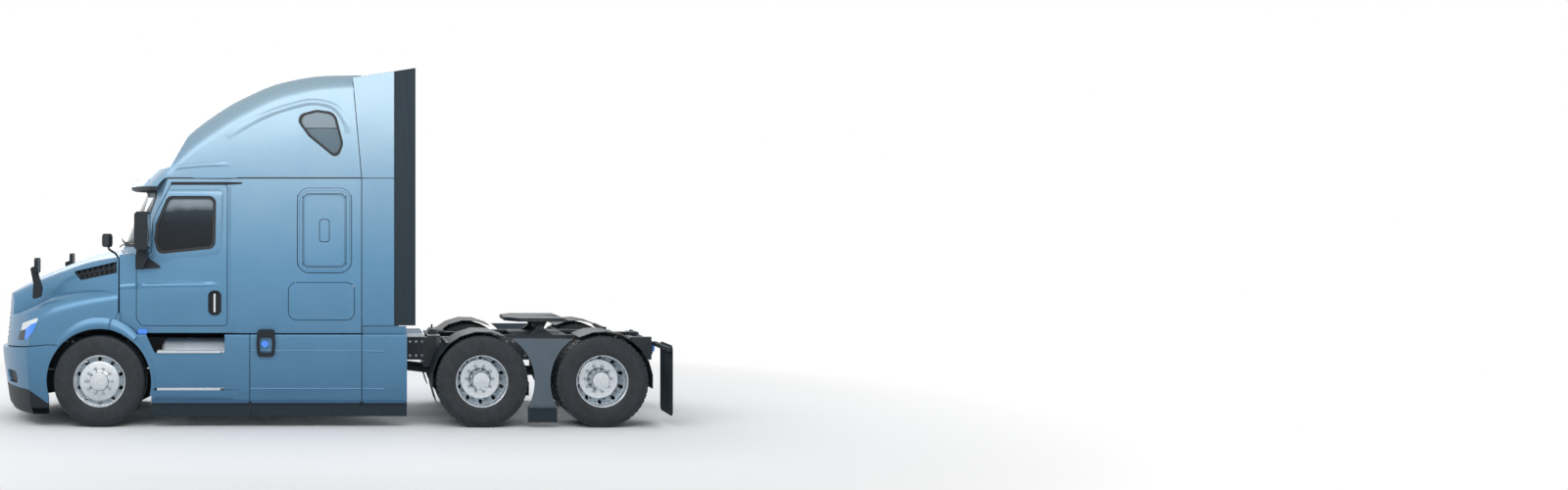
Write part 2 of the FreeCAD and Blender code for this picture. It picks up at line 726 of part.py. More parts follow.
def front_axle_beam():
    x0, x1 = FRONT_AXLE_X - AXLE_BEAM_DEPTH / 2, FRONT_AXLE_X + AXLE_BEAM_DEPTH / 2
    half = KINGPIN_HALF_TRACK
    top = AXLE_Z + AXLE_BEAM_HEIGHT / 2
    bottom = AXLE_Z - AXLE_BEAM_HEIGHT / 2
    pad = FRAME_HALF_WIDTH + LEAF_WIDTH
    knee = pad + AXLE_BEAM_HEIGHT
    drop = AXLE_BEAM_DROP
    outline = [
        (-half, bottom), (-knee, bottom), (-pad, bottom - drop), (pad, bottom - drop), (knee, bottom), (half, bottom),
        (half, top), (knee, top), (pad, top - drop), (-pad, top - drop), (-knee, top), (-half, top)]
    beam = cross_plate(outline, x0, x1)
    for side in (-1, 1):
        y = side * half
        boss_z = AXLE_Z - KINGPIN_BOSS_HEIGHT / 2
        boss = facet_rod(
            KINGPIN_BOSS_RADIUS, Vector(FRONT_AXLE_X, y, boss_z),
            Vector(FRONT_AXLE_X, y, boss_z + KINGPIN_BOSS_HEIGHT), ROD_SIDES)
        pin = Part.makeCylinder(KINGPIN_RADIUS, KINGPIN_HEIGHT, Vector(FRONT_AXLE_X, y, AXLE_Z - KINGPIN_HEIGHT / 2))
        beam = fuse_all([beam, boss, pin])
    return [beam]


def leaf_spring():
    seat_z = AXLE_Z + AXLE_BEAM_HEIGHT / 2 - AXLE_BEAM_DROP
    x0, x1 = FRONT_AXLE_X - LEAF_LENGTH / 2, FRONT_AXLE_X + LEAF_LENGTH / 2
    end_z = seat_z + LEAF_CAMBER
    y0 = -FRAME_HALF_WIDTH
    y1 = y0 + LEAF_WIDTH
    lower = Part.Arc(Vector(x0, y0, end_z), Vector(FRONT_AXLE_X, y0, seat_z), Vector(x1, y0, end_z)).toShape()
    rise = Vector(0, 0, LEAF_STACK)
    upper = Part.Arc(
        Vector(x1, y0, end_z) + rise / 3, Vector(FRONT_AXLE_X, y0, seat_z) + rise, Vector(x0, y0, end_z) + rise / 3).toShape()
    front = Part.makeLine(Vector(x0, y0, end_z) + rise / 3, Vector(x0, y0, end_z))
    back = Part.makeLine(Vector(x1, y0, end_z), Vector(x1, y0, end_z) + rise / 3)
    spring = Part.Face(Part.Wire([lower, back, upper, front])).extrude(Vector(0, y1 - y0, 0))
    hangers = []
    for x in (x0, x1 - HANGER_LENGTH):
        hangers.append(block(x, x + HANGER_LENGTH, y0, y1, end_z + LEAF_STACK / 4, FRAME_BOTTOM_Z))
    return fuse_all([spring] + hangers)


# Rear suspension: trailing arms on frame hangers, passing under the axles to the air springs

def suspension_side():
    pieces = [leaf_spring()]
    y0 = -FRAME_HALF_WIDTH
    y1 = y0 + ARM_WIDTH
    arm_top = AXLE_Z - AXLE_TUBE_RADIUS
    arm_bottom = arm_top - ARM_THICKNESS
    for axle_x in DRIVE_AXLES_X:
        hanger_x = axle_x - ARM_HANGER_OFFSET
        spring_x = axle_x + AIR_SPRING_OFFSET
        hanger = block(hanger_x, hanger_x + HANGER_LENGTH, y0, y1, arm_bottom, FRAME_BOTTOM_Z)
        arm = block(hanger_x, spring_x, y0, y1, arm_bottom, arm_top)
        bag = facet_rod(
            AIR_SPRING_RADIUS, Vector(spring_x, y0, arm_top), Vector(spring_x, y0, FRAME_BOTTOM_Z), DRUM_SIDES)
        pieces.append(fuse_all([hanger, arm, bag]))
    return pieces


# Drive axle housings with the differential bowl in the middle

def drive_axles():
    housings = []
    for axle_x in DRIVE_AXLES_X:
        half = DUAL_OUTER_HALF
        ends = [Vector(axle_x, side * FRAME_HALF_WIDTH, AXLE_Z) for side in (-1, 1)]
        tube = facet_rod(AXLE_TUBE_RADIUS, ends[0], ends[1], ROD_SIDES)
        spindle = rod(SPINDLE_RADIUS, Vector(axle_x, -half, AXLE_Z), Vector(axle_x, half, AXLE_Z))
        bowl = facet_rod(
            DIFF_RADIUS, Vector(axle_x, -DIFF_LENGTH / 2, AXLE_Z), Vector(axle_x, DIFF_LENGTH / 2, AXLE_Z), DRUM_SIDES)
        housings.append(fuse_all([tube, spindle, bowl]))
    return housings


# Steering knuckles on the kingpins, with their arms, and the tie rod between them

def knuckle():
    x, y = FRONT_AXLE_X, -KINGPIN_HALF_TRACK
    lug_gap = KINGPIN_BOSS_HEIGHT / 2 + HINGE_SIDE_GAP
    plate_y = y - KINGPIN_BOSS_RADIUS - RUNNING_GAP
    half = KINGPIN_BOSS_RADIUS
    low, high = AXLE_Z - lug_gap - KNUCKLE_LUG_HEIGHT, AXLE_Z + lug_gap + KNUCKLE_LUG_HEIGHT
    body = block(x - half, x + half, plate_y - KNUCKLE_PLATE, plate_y, low, high)
    for z in (low, AXLE_Z + lug_gap):
        eye = facet_rod(half, Vector(x, y, z), Vector(x, y, z + KNUCKLE_LUG_HEIGHT), ROD_SIDES)
        neck = block(x - half, x + half, plate_y, y, z, z + KNUCKLE_LUG_HEIGHT)
        body = fuse_all([body, eye, neck])
    spindle = rod(SPINDLE_RADIUS, Vector(x, plate_y, AXLE_Z), Vector(x, -FRONT_TRACK_HALF, AXLE_Z))
    arm_x = x + STEER_ARM_LENGTH
    arm_half = TIE_ROD_EYE_RADIUS * 0.7
    arm = block(x, arm_x, y - arm_half, y + arm_half, low, low + STEER_ARM_THICKNESS)
    arm_eye = facet_rod(arm_half, Vector(arm_x, y, low), Vector(arm_x, y, low + STEER_ARM_THICKNESS), ROD_SIDES)
    pin_height = STEER_ARM_THICKNESS + HINGE_SIDE_GAP + 2 * TIE_ROD_RADIUS
    pin = Part.makeCylinder(TIE_ROD_PIN_RADIUS, pin_height, Vector(arm_x, y, low))
    body = fuse_all([body, spindle, arm, arm_eye, pin])
    bore = Part.makeCylinder(KINGPIN_RADIUS + PIN_CLEARANCE, high - low + OVERRUN, Vector(x, y, low - OVERRUN / 2))
    return body.cut(bore)


def tie_rod():
    x = FRONT_AXLE_X + STEER_ARM_LENGTH
    low = AXLE_Z - KINGPIN_BOSS_HEIGHT / 2 - HINGE_SIDE_GAP - KNUCKLE_LUG_HEIGHT
    z0 = low + STEER_ARM_THICKNESS + HINGE_SIDE_GAP
    z = z0 + TIE_ROD_RADIUS
    half = KINGPIN_HALF_TRACK
    shapes = [facet_rod(TIE_ROD_RADIUS, Vector(x, -half, z), Vector(x, half, z), ROD_SIDES)]
    for y in (-half, half):
        shapes.append(facet_rod(
            TIE_ROD_EYE_RADIUS, Vector(x, y, z0), Vector(x, y, z0 + 2 * TIE_ROD_RADIUS), ROD_SIDES))
    whole = fuse_all(shapes)
    for y, clearance in ((-half, PIN_CLEARANCE), (half, HINGE_SIDE_GAP / 2)):
        whole = whole.cut(Part.makeCylinder(TIE_ROD_PIN_RADIUS + clearance, OVERRUN, Vector(x, y, z0 - HINGE_SIDE_GAP)))
    return whole


# Tyres are rings of flats round the rim, rims are barrels with a dished disc, drum and hub

def tyre(centre_x, centre_y):
    half = TYRE_WIDTH / 2
    seat = RIM_RADIUS + SEAT_GAP
    rise = TYRE_RADIUS - seat
    return wheel_turning(centre_x, [(centre_y + half * a, seat + rise * b) for a, b in TYRE_SHARES])


def steer_rim():
    y = -FRONT_TRACK_HALF
    half = RIM_WIDTH / 2
    inside = RIM_RADIUS - RIM_WALL
    edge_y = y - RIM_WIDTH / 5
    face_y = edge_y - DISC_DISH
    back_y = face_y + DISC_THICKNESS
    cap_y = face_y - HUB_CAP_LENGTH
    hub_y = -KINGPIN_HALF_TRACK - KINGPIN_BOSS_RADIUS - RUNNING_GAP - KNUCKLE_PLATE - RUNNING_GAP
    bore = SPINDLE_RADIUS + PIN_CLEARANCE
    profile = [
        (y - half, RIM_RADIUS), (y - half, inside), (edge_y, inside), (face_y, DISC_FACE_RADIUS),
        (face_y, HUB_CAP_RADIUS), (cap_y, HUB_CAP_RADIUS), (cap_y, 0), (y - SEAT_GAP, 0), (y - SEAT_GAP, bore),
        (hub_y, bore), (hub_y, DRUM_RADIUS), (back_y, DRUM_RADIUS), (back_y, DISC_FACE_RADIUS),
        (edge_y + DISC_THICKNESS, inside), (y + half, inside), (y + half, RIM_RADIUS)]
    return wheel_turning(FRONT_AXLE_X, profile)


def drive_rims(centre_x):
    outer_y = -DUAL_OUTER_HALF
    inner_y = outer_y + DUAL_SPACING
    middle_y = (outer_y + inner_y) / 2
    half = RIM_WIDTH / 2
    inside = RIM_RADIUS - RIM_WALL
    outer_edge = outer_y + RIM_WIDTH / 5
    inner_edge = inner_y - RIM_WIDTH / 5
    thick = DISC_THICKNESS
    cap_y = outer_y - HUB_CAP_LENGTH
    bore = SPINDLE_RADIUS + PIN_CLEARANCE
    profile = [
        (outer_y - half, RIM_RADIUS), (outer_y - half, inside), (outer_edge - thick, inside),
        (middle_y - thick, DISC_FACE_RADIUS), (middle_y - thick, HUB_CAP_RADIUS), (cap_y, HUB_CAP_RADIUS), (cap_y, 0),
        (outer_y - SEAT_GAP, 0), (outer_y - SEAT_GAP, bore), (inner_y + half, bore), (inner_y + half, DRUM_RADIUS),
        (middle_y + thick, DRUM_RADIUS), (middle_y + thick, DISC_FACE_RADIUS), (inner_edge + thick, inside),
        (inner_y + half, inside), (inner_y + half, RIM_RADIUS), (inner_y - half, RIM_RADIUS), (inner_y - half, inside),
        (inner_edge, inside), (middle_y, DISC_FACE_RADIUS), (outer_edge, inside), (outer_y + half, inside),
        (outer_y + half, RIM_RADIUS)]
    return wheel_turning(centre_x, profile)


# Fuel tanks: drums strapped on brackets that hang from the rails

def fuel_tank():
    x0, x1 = TANK_FRONT_X, TANK_FRONT_X + TANK_LENGTH
    y, z = -TANK_CENTRE_Y, TANK_CENTRE_Z
    shapes = [facet_rod(TANK_RADIUS, Vector(x0, y, z), Vector(x1, y, z), DRUM_SIDES)]
    for share in TANK_BRACKET_SHARES:
        x = x0 + TANK_LENGTH * share - TANK_BRACKET_WIDTH / 2
        shapes.append(block(
            x, x + TANK_BRACKET_WIDTH, y, -FRAME_HALF_WIDTH, FRAME_BOTTOM_Z, FRAME_TOP_Z - RAIL_HEIGHT / 4))
    return fuse_all(shapes)


# Nose form: a plan curve shared by hood and bumper, with straight sides behind it

def nose_ring(nose_x, z, half_width, rear_x, inset):
    radius = NOSE_RADIUS - inset
    centre_x = nose_x + NOSE_RADIUS
    half = half_width - inset
    corner_x = centre_x - math.sqrt(radius ** 2 - half ** 2)
    left, right = Vector(corner_x, -half, z), Vector(corner_x, half, z)
    bow = arc_points(left, Vector(centre_x - radius, 0, z), right, NOSE_CHORDS)
    return bow + [Vector(rear_x, half, z), Vector(rear_x, -half, z)]


# Sections of the hood and the roof are rounded boxes with a crowned top

def arch_ring(x, base_z, half_width, height, corner_share):
    corner = half_width * corner_share
    crown = half_width * CROWN_SHARE
    side_z = base_z + max(height - crown - corner, height / 5)
    corner_z = base_z + height - crown
    mid_y = half_width - corner * (1 - math.sqrt(0.5))
    mid_z = side_z + (corner_z - side_z) * math.sqrt(0.5)
    inner = half_width - corner
    shoulder = arc_points(
        Vector(x, half_width, side_z), Vector(x, mid_y, mid_z), Vector(x, inner, corner_z), CORNER_CHORDS)
    crest = arc_points(Vector(x, inner, corner_z), Vector(x, 0, base_z + height), Vector(x, -inner, corner_z), CROWN_CHORDS)
    right = [Vector(x, half_width, base_z)] + shoulder
    left = [Vector(x, -point.y, point.z) for point in reversed(right)]
    return right + crest[1:-1] + left


def arch_loft(stations):
    return skin([arch_ring(*station) for station in stations])


# Bumper: a hollow shell that follows the nose, cut at the wheel arches, in paint above and black below

@lru_cache(maxsize=None)
def bumper_form(inset):
    top, bottom = BUMPER_TOP_SIDE_Z, BUMPER_BOTTOM_Z
    depth = BUMPER_TOP_FRONT_Z - bottom
    rings = []
    for rise, share in BUMPER_DRAFT_SHARES:
        z = bottom + depth * rise
        half = FENDER_HALF_WIDTH - BUMPER_RAKE * share / 2
        rings.append(nose_ring(FRONT_X + BUMPER_RAKE * share, z, half, FRONT_AXLE_X, inset))
    form = skin(rings)
    slope = [(FRONT_X, BUMPER_TOP_FRONT_Z), (FRONT_AXLE_X - ARCH_RADIUS, top), (FRONT_AXLE_X, top)]
    under = slope + [
        (FRONT_AXLE_X, bottom - OVERRUN), (FRONT_X - OVERRUN, bottom - OVERRUN), (FRONT_X - OVERRUN, BUMPER_TOP_FRONT_Z)]
    return form.common(side_plate(under, -2 * FENDER_HALF_WIDTH, 2 * FENDER_HALF_WIDTH))


def arch_cut(radius):
    half = 2 * FENDER_HALF_WIDTH
    axle = facet_rod(radius, Vector(FRONT_AXLE_X, -half, AXLE_Z), Vector(FRONT_AXLE_X, half, AXLE_Z), ARCH_SIDES)
    below = block(FRONT_AXLE_X - radius * 0.96, FRONT_AXLE_X + radius, -half, half, 0, AXLE_Z - radius * 0.25)
    return axle.fuse(below)


def bumper_shell():
    inner = bumper_form(BUMPER_WALL).translated(Vector(0, 0, -BUMPER_WALL))
    open_top = bumper_form(BUMPER_LIP).translated(Vector(0, 0, OVERRUN))
    return bumper_form(0).cut(inner).cut(open_top).cut(arch_cut(ARCH_RADIUS))


def valance_zone():
    rear_x = FRONT_AXLE_X - ARCH_RADIUS
    outline = [
        (FRONT_X - OVERRUN, VALANCE_FRONT_Z), (FRONT_X + 4 * BUMPER_RAKE, VALANCE_FRONT_Z - BUMPER_RAKE / 4),
        (rear_x, VALANCE_REAR_Z), (FRONT_AXLE_X, VALANCE_REAR_Z), (FRONT_AXLE_X, 0), (FRONT_X - OVERRUN, 0)]
    half = 2 * FENDER_HALF_WIDTH
    return side_plate(outline, -half, half)


def bumper():
    shell = bumper_shell().cut(valance_zone())
    z0, z1 = SLOT_CENTRE_Z - SLOT_HEIGHT / 2, SLOT_CENTRE_Z + SLOT_HEIGHT / 2
    for side in (-1, 1):
        y0, y1 = side * SLOT_CENTRE_Y - SLOT_HALF_WIDTH, side * SLOT_CENTRE_Y + SLOT_HALF_WIDTH
        slot = cross_plate([(y0, z0), (y1, z0), (y1, z1), (y0, z1)], FRONT_X - OVERRUN, FRONT_AXLE_X - ARCH_RADIUS, SLOT_HEIGHT / 3)
        shell = shell.cut(slot)
    z0, z1 = INTAKE_CENTRE_Z - INTAKE_HEIGHT / 2, INTAKE_CENTRE_Z + INTAKE_HEIGHT / 2
    half = INTAKE_HALF_WIDTH
    intake = cross_plate([(-half, z0), (half, z0), (half, z1), (-half, z1)], FRONT_X - OVERRUN, FRONT_AXLE_X - ARCH_RADIUS, INTAKE_HEIGHT / 4)
    shell = shell.cut(intake)
    rail_front = FRONT_X + RAIL_FRONT_SETBACK
    mount_x = FRONT_X + HOOD_NOSE_SETBACK + BUMPER_WALL
    shapes = [shell]
    for side in (-1, 1):
        y = side * (FRAME_HALF_WIDTH - RAIL_FLANGE / 2)
        arm_half = RAIL_FLANGE / 2
        shapes.append(block(mount_x, rail_front, y - arm_half, y + arm_half, FRAME_BOTTOM_Z + OVERRUN, BUMPER_TOP_FRONT_Z - BUMPER_WALL / 2))
        shapes.append(hood_hinge_ears(side * HINGE_OFFSET_Y))
    return [fuse_all(shapes)]


def lower_valance():
    return [bumper_shell().common(valance_zone())]


# Hood hinge: ears and pins on the bumper, lugs on the hood

def hood_hinge_ears(y):
    x, z = HOOD_HINGE_X, HOOD_HINGE_Z
    half = HINGE_WIDTH / 2
    foot_z = BUMPER_TOP_FRONT_Z - BUMPER_WALL / 2
    shapes = [rod(HINGE_PIN_RADIUS, Vector(x, y - half - HINGE_EAR, z), Vector(x, y + half + HINGE_EAR, z))]
    for y0 in (y - half - HINGE_SIDE_GAP - HINGE_EAR, y + half + HINGE_SIDE_GAP):
        shapes.append(rod(HINGE_RADIUS, Vector(x, y0, z), Vector(x, y0 + HINGE_EAR, z)))
        shapes.append(block(x - HINGE_RADIUS, x + HINGE_RADIUS, y0, y0 + HINGE_EAR, foot_z, z))
    return fuse_all(shapes)


def hood_hinge_lug(y):
    x, z = HOOD_HINGE_X, HOOD_HINGE_Z
    half = HINGE_WIDTH / 2
    eye = rod(HINGE_RADIUS, Vector(x, y - half, z), Vector(x, y + half, z))
    top_z = GRILLE_BOTTOM_Z - GRILLE_RIM / 2
    neck = block(x, x + 2 * HINGE_RADIUS + HOOD_WALL * 1.5, y - half, y + half, z, top_z)
    return eye.fuse(neck)


# Hood: side fenders and a raised crest, trimmed by the nose curve and hollowed

def hood_nose(inset):
    rings = []
    for z in (HOOD_BASE_Z - OVERRUN, HOOD_TOP_Z + OVERRUN):
        lean = HOOD_LEAN * (z - BUMPER_TOP_FRONT_Z) / HOOD_LEAN_HEIGHT
        rings.append(nose_ring(HOOD_NOSE_X + lean, z, NOSE_SIDE_HALF_WIDTH, CAB_REAR_X, inset))
    return skin(rings)


def ahead_of_screen():
    half = 2 * FENDER_HALF_WIDTH
    depth = SCREEN_BASE_SIDE_X - SCREEN_BASE_X
    radius = (CAB_HALF_WIDTH ** 2 + depth ** 2) / (2 * depth)
    centre_x = SCREEN_BASE_X + radius
    reach = radius + RUNNING_GAP
    bow = arc_points(
        Vector(centre_x, -reach, 0), Vector(centre_x - reach, 0, 0), Vector(centre_x, reach, 0), 2 * SCREEN_CHORDS)
    outline = [(point.x, point.y) for point in bow] + [
        (centre_x, half), (FRONT_X - OVERRUN, half), (FRONT_X - OVERRUN, -half), (centre_x, -half)]
    return plan_plate(outline, 0, OVERALL_HEIGHT)


@lru_cache(maxsize=None)
def hood_form(inset):
    length = HOOD_REAR_X - HOOD_NOSE_X
    side_stations, crest_stations = [], []
    rise = FENDER_TOP_Z - HOOD_BASE_Z
    spread = FENDER_HALF_WIDTH - FENDER_NOSE_HALF_WIDTH
    crest_rise = HOOD_TOP_Z - HOOD_NOSE_TOP_Z
    crest_spread = CAB_HALF_WIDTH - HOOD_NOSE_HALF_WIDTH
    for i in range(HOOD_STATIONS + 1):
        along = i / HOOD_STATIONS
        x = HOOD_NOSE_X + length * along
        wide, tall, squareness = [smooth_share(FENDER_SHARES, column, along) for column in (1, 2, 3)]
        half = FENDER_NOSE_HALF_WIDTH + spread * wide - inset
        side_stations.append((x, HOOD_BASE_Z, half, rise * tall - inset, squareness))
        wide, tall, squareness = [smooth_share(CREST_SHARES, column, along) for column in (1, 2, 3)]
        half = HOOD_NOSE_HALF_WIDTH + crest_spread * wide - inset
        height = HOOD_NOSE_TOP_Z - HOOD_BASE_Z + crest_rise * tall - inset
        crest_stations.append((x, HOOD_BASE_Z, half, height, squareness))
    whole = arch_loft(side_stations).fuse(arch_loft(crest_stations))
    return whole.common(hood_nose(inset)).common(ahead_of_screen())


def grille_outline(margin):
    low, high = GRILLE_BOTTOM_Z - margin, GRILLE_TOP_Z + margin
    bottom, top = GRILLE_BOTTOM_HALF + margin, GRILLE_TOP_HALF + margin
    return [(-bottom, low), (bottom, low), (top, high), (-top, high)]


def grille_prism(margin):
    return cross_plate(grille_outline(margin), FRONT_X - OVERRUN, HOOD_NOSE_X + 6 * GRILLE_DEPTH, GRILLE_CORNER + margin)


def lamp_prism(margin):
    grown = 2 * margin
    points = share_points(
        LAMP_SHARES, LAMP_FRONT_X - margin, LAMP_BASE_Z - margin, LAMP_LENGTH + grown, LAMP_HEIGHT + grown)
    return side_plate(points, -2 * FENDER_HALF_WIDTH, -HOOD_NOSE_HALF_WIDTH, LAMP_DEPTH / 4)


def vent_prism(margin):
    grown = 2 * margin
    points = share_points(
        VENT_SHARES, VENT_FRONT_X - margin, VENT_BASE_Z - margin, VENT_LENGTH + grown, VENT_HEIGHT + grown)
    return side_plate(points, -2 * FENDER_HALF_WIDTH, -HOOD_NOSE_HALF_WIDTH, VENT_HEIGHT / 12)


def hood_shell():
    half = 2 * FENDER_HALF_WIDTH
    shell = hood_form(0).cut(hood_form(HOOD_WALL))
    arch_x = FRONT_AXLE_X - ARCH_RADIUS
    seam = [
        (FRONT_X - OVERRUN, BUMPER_TOP_FRONT_Z + RUNNING_GAP), (FRONT_X, BUMPER_TOP_FRONT_Z + RUNNING_GAP),
        (arch_x, BUMPER_TOP_SIDE_Z + RUNNING_GAP), (CAB_REAR_X, BUMPER_TOP_SIDE_Z + RUNNING_GAP),
        (CAB_REAR_X, 0), (FRONT_X - OVERRUN, 0)]
    shell = shell.cut(side_plate(seam, -half, half))
    shell = shell.cut(arch_cut(ARCH_RADIUS))
    rear = [
        (HOOD_REAR_X, HOOD_TOP_Z + OVERRUN), (HOOD_REAR_X, HOOD_SEAM_KNEE_Z),
        (HOOD_REAR_X - HOOD_SEAM_SLANT, HOOD_ARCH_END_Z), (HOOD_REAR_X - HOOD_SEAM_SLANT, 0), (CAB_REAR_X, 0),
        (CAB_REAR_X, HOOD_TOP_Z + OVERRUN)]
    shell = shell.cut(side_plate(rear, -half, half))
    shell = shell.cut(grille_prism(SEAT_GAP))
    for prism in (lamp_prism(SEAT_GAP), vent_prism(SEAT_GAP)):
        shell = shell.cut(prism).cut(mirrored(prism))
    shapes = [shell]
    for y in (-HINGE_OFFSET_Y, HINGE_OFFSET_Y):
        shapes.append(hood_hinge_lug(y))
    shell = fuse_all(shapes)
    x, z = HOOD_HINGE_X, HOOD_HINGE_Z
    for y in (-HINGE_OFFSET_Y, HINGE_OFFSET_Y):
        reach = HINGE_WIDTH / 2 + HINGE_SIDE_GAP
        for y0 in (y - reach - HINGE_EAR - HINGE_CLEAR, y + reach - HINGE_SIDE_GAP):
            y1 = y0 + HINGE_EAR + HINGE_CLEAR + HINGE_SIDE_GAP
            shell = shell.cut(rod(HINGE_RADIUS + HINGE_CLEAR, Vector(x, y0, z), Vector(x, y1, z)))
        shell = shell.cut(rod(HINGE_PIN_RADIUS + PIN_CLEARANCE, Vector(x, y - reach, z), Vector(x, y + reach, z)))
    return [shell]


def grille():
    shell = hood_form(0).cut(hood_form(GRILLE_DEPTH)).common(grille_prism(0))
    opening = grille_prism(-GRILLE_RIM)
    pitch = (GRILLE_TOP_Z - GRILLE_BOTTOM_Z) / (GRILLE_SLATS + 1)
    shapes = [shell.cut(opening)]
    half = GRILLE_BOTTOM_HALF
    for i in range(1, GRILLE_SLATS + 1):
        z = GRILLE_BOTTOM_Z + pitch * i
        thick = pitch * GRILLE_SLAT_SHARE
        slab = block(FRONT_X - OVERRUN, CAB_REAR_X, -half, half, z - thick / 2, z + thick / 2)
        shapes.append(shell.common(slab))
    return [fuse_all(shapes)]


def vent_place(along, up):
    top_front, top_rear, low_rear, low_front = VENT_SHARES
    low = [a + (b - a) * along for a, b in zip(low_front, low_rear)]
    high = [a + (b - a) * along for a, b in zip(top_front, top_rear)]
    return [a + (b - a) * up for a, b in zip(low, high)]


def vent_slots():
    slots = []
    for row in range(VENT_ROWS):
        ups = [(row + share) / VENT_ROWS for share in VENT_ROW_SHARES]
        for i in range(VENT_SLATS):
            alongs = [VENT_ENDS_SHARE + (1 - 2 * VENT_ENDS_SHARE) * (i + share) / VENT_SLATS for share in VENT_SLOT_SHARES]
            cell = [vent_place(along, up) for along, up in zip(alongs[:1] + alongs[1:] * 2 + alongs[:1], sorted(ups * 2))]
            points = share_points(cell, VENT_FRONT_X, VENT_BASE_Z, VENT_LENGTH, VENT_HEIGHT)
            slots.append(side_plate(points, -2 * FENDER_HALF_WIDTH, -HOOD_NOSE_HALF_WIDTH))
    return slots


def hood_vents():
    plate = hood_form(GRILLE_DEPTH / 4).cut(hood_form(GRILLE_DEPTH)).common(vent_prism(0))
    return both_sides([plate.cut(vent_slots())])


def headlights():
    lamp = hood_form(0).cut(hood_form(LAMP_DEPTH)).common(lamp_prism(0))
    return both_sides([lamp])


# Hood mirrors: a tall stalk at each front corner and a small square head at each rear corner

def hood_mirrors():
    return both_sides([front_hood_mirror(), rear_hood_mirror()])


def front_hood_mirror():
    x, y = HOOD_STALK_X, -HOOD_STALK_Y
    foot = Vector(x, y, HOOD_STALK_FOOT_Z)
    elbow = Vector(x + HOOD_STALK_REACH, y - HOOD_STALK_SPREAD / 2, HOOD_STALK_ELBOW_Z)
    top = Vector(x, y - HOOD_STALK_SPREAD, HOOD_STALK_TOP_Z)
    radius = HOOD_STALK_RADIUS
    head = Vector(HOOD_HEAD_THICKNESS / 2, 0, 0)
    half_y, half_z = HOOD_HEAD_WIDTH / 2, HOOD_HEAD_HEIGHT / 2
    outline = [
        (top.y - half_y, top.z - half_z), (top.y + half_y, top.z - half_z), (top.y + half_y, top.z + half_z),
        (top.y - half_y, top.z + half_z)]
    face = cross_plate(outline, (top - head).x, (top + head).x, HOOD_HEAD_WIDTH / 4)
    stalk = fuse_all([
        facet_rod(radius, foot, elbow, ROD_SIDES), facet_rod(radius, elbow - (top - elbow) / 20, top, ROD_SIDES), face])
    return stalk.cut(hood_form(0))


def rear_hood_mirror():
    x, y = HOOD_SQUARE_X, -HOOD_SQUARE_Y
    half = HOOD_SQUARE_SIZE / 2
    z = HOOD_SQUARE_Z
    head = cross_plate(
        [(y - half, z - half), (y + half, z - half), (y + half, z + half), (y - half, z + half)],
        x - HOOD_HEAD_THICKNESS / 2, x + HOOD_HEAD_THICKNESS / 2, HOOD_SQUARE_SIZE / 5)
    foot = Vector(x + HOOD_SQUARE_REACH, -HOOD_SQUARE_FOOT_Y, HOOD_SQUARE_FOOT_Z)
    arm = facet_rod(HOOD_STALK_RADIUS, foot, Vector(x, y, z - half / 2), ROD_SIDES)
    return fuse_all([head, arm]).cut(hood_form(0))


# Cab and sleeper: one hollow body from a plan outline, upright to the belt and leaning in above it

def cab_ring(z, front_x, front_side_x, cab_half, sleeper_half, inset):
    rear_x = CAB_REAR_X - inset
    step_rear = SLEEPER_STEP_X + SLEEPER_STEP_LENGTH
    cab, sleeper = cab_half - inset, sleeper_half - inset
    side_x = front_side_x + inset
    bow = arc_points(
        Vector(side_x, cab, z), Vector(front_x + inset, 0, z), Vector(side_x, -cab, z), SCREEN_CHORDS)
    right = [Vector(rear_x, sleeper, z), Vector(step_rear, sleeper, z), Vector(SLEEPER_STEP_X, cab, z)]
    left = [Vector(point.x, -point.y, z) for point in reversed(right)]
    return right + bow + left


def cab_top_ring(z, inset):
    return cab_ring(z, SCREEN_TOP_X, SCREEN_TOP_SIDE_X, CAB_TOP_HALF_WIDTH, SLEEPER_TOP_HALF_WIDTH, inset)


def cab_upper(inset):
    belt = cab_ring(
        CAB_BELT_Z, SCREEN_BASE_X, SCREEN_BASE_SIDE_X, CAB_HALF_WIDTH, SLEEPER_HALF_WIDTH, inset)
    return skin([belt, cab_top_ring(CAB_SEAM_Z, inset)])


def cab_lower(inset, floor_z):
    rings = []
    for z in (floor_z, CAB_BELT_Z):
        rings.append(cab_ring(z, COWL_X, COWL_X + COWL_BOW, CAB_HALF_WIDTH, SLEEPER_HALF_WIDTH, inset))
    return skin(rings)


@lru_cache(maxsize=None)
def cab_form(inset):
    lower = cab_lower(inset, CAB_FLOOR_Z + max(inset, 0))
    return lower.fuse(cab_upper(inset))


def cab_skin(depth):
    return cab_form(0).cut(cab_form(depth))


def door_points(margin):
    x0, x1 = DOOR_FRONT_X - margin, DOOR_REAR_X + margin
    z0, z1 = DOOR_BOTTOM_Z - margin, DOOR_TOP_Z + margin
    return share_points(DOOR_OUTLINE_SHARES, x0, z0, x1 - x0, z1 - z0)


def door_prism(margin):
    return side_plate(door_points(margin), -2 * FENDER_HALF_WIDTH, -CAB_HALF_WIDTH / 2, DOOR_CORNER)


def window_prism(margin):
    x0, z0 = DOOR_FRONT_X, DOOR_BOTTOM_Z
    points = share_points(WINDOW_SHARES, x0, z0, DOOR_REAR_X - x0, DOOR_TOP_Z - z0)
    wire = rounded_wire([Vector(x, -2 * FENDER_HALF_WIDTH, z) for x, z in points], WINDOW_CORNER)
    if margin:
        wire = wire.makeOffset2D(margin)
    return Part.Face(wire).extrude(Vector(0, 2 * FENDER_HALF_WIDTH - CAB_HALF_WIDTH / 2, 0))


def luggage_prism(margin):
    x0, x1 = LUGGAGE_FRONT_X - margin, LUGGAGE_FRONT_X + LUGGAGE_LENGTH + margin
    z0, z1 = LUGGAGE_BASE_Z - margin, LUGGAGE_BASE_Z + LUGGAGE_HEIGHT + margin
    outline = [(x0, z0), (x1, z0), (x1, z1), (x0, z1)]
    return side_plate(outline, -2 * FENDER_HALF_WIDTH, -CAB_HALF_WIDTH / 2, LUGGAGE_CORNER + margin)


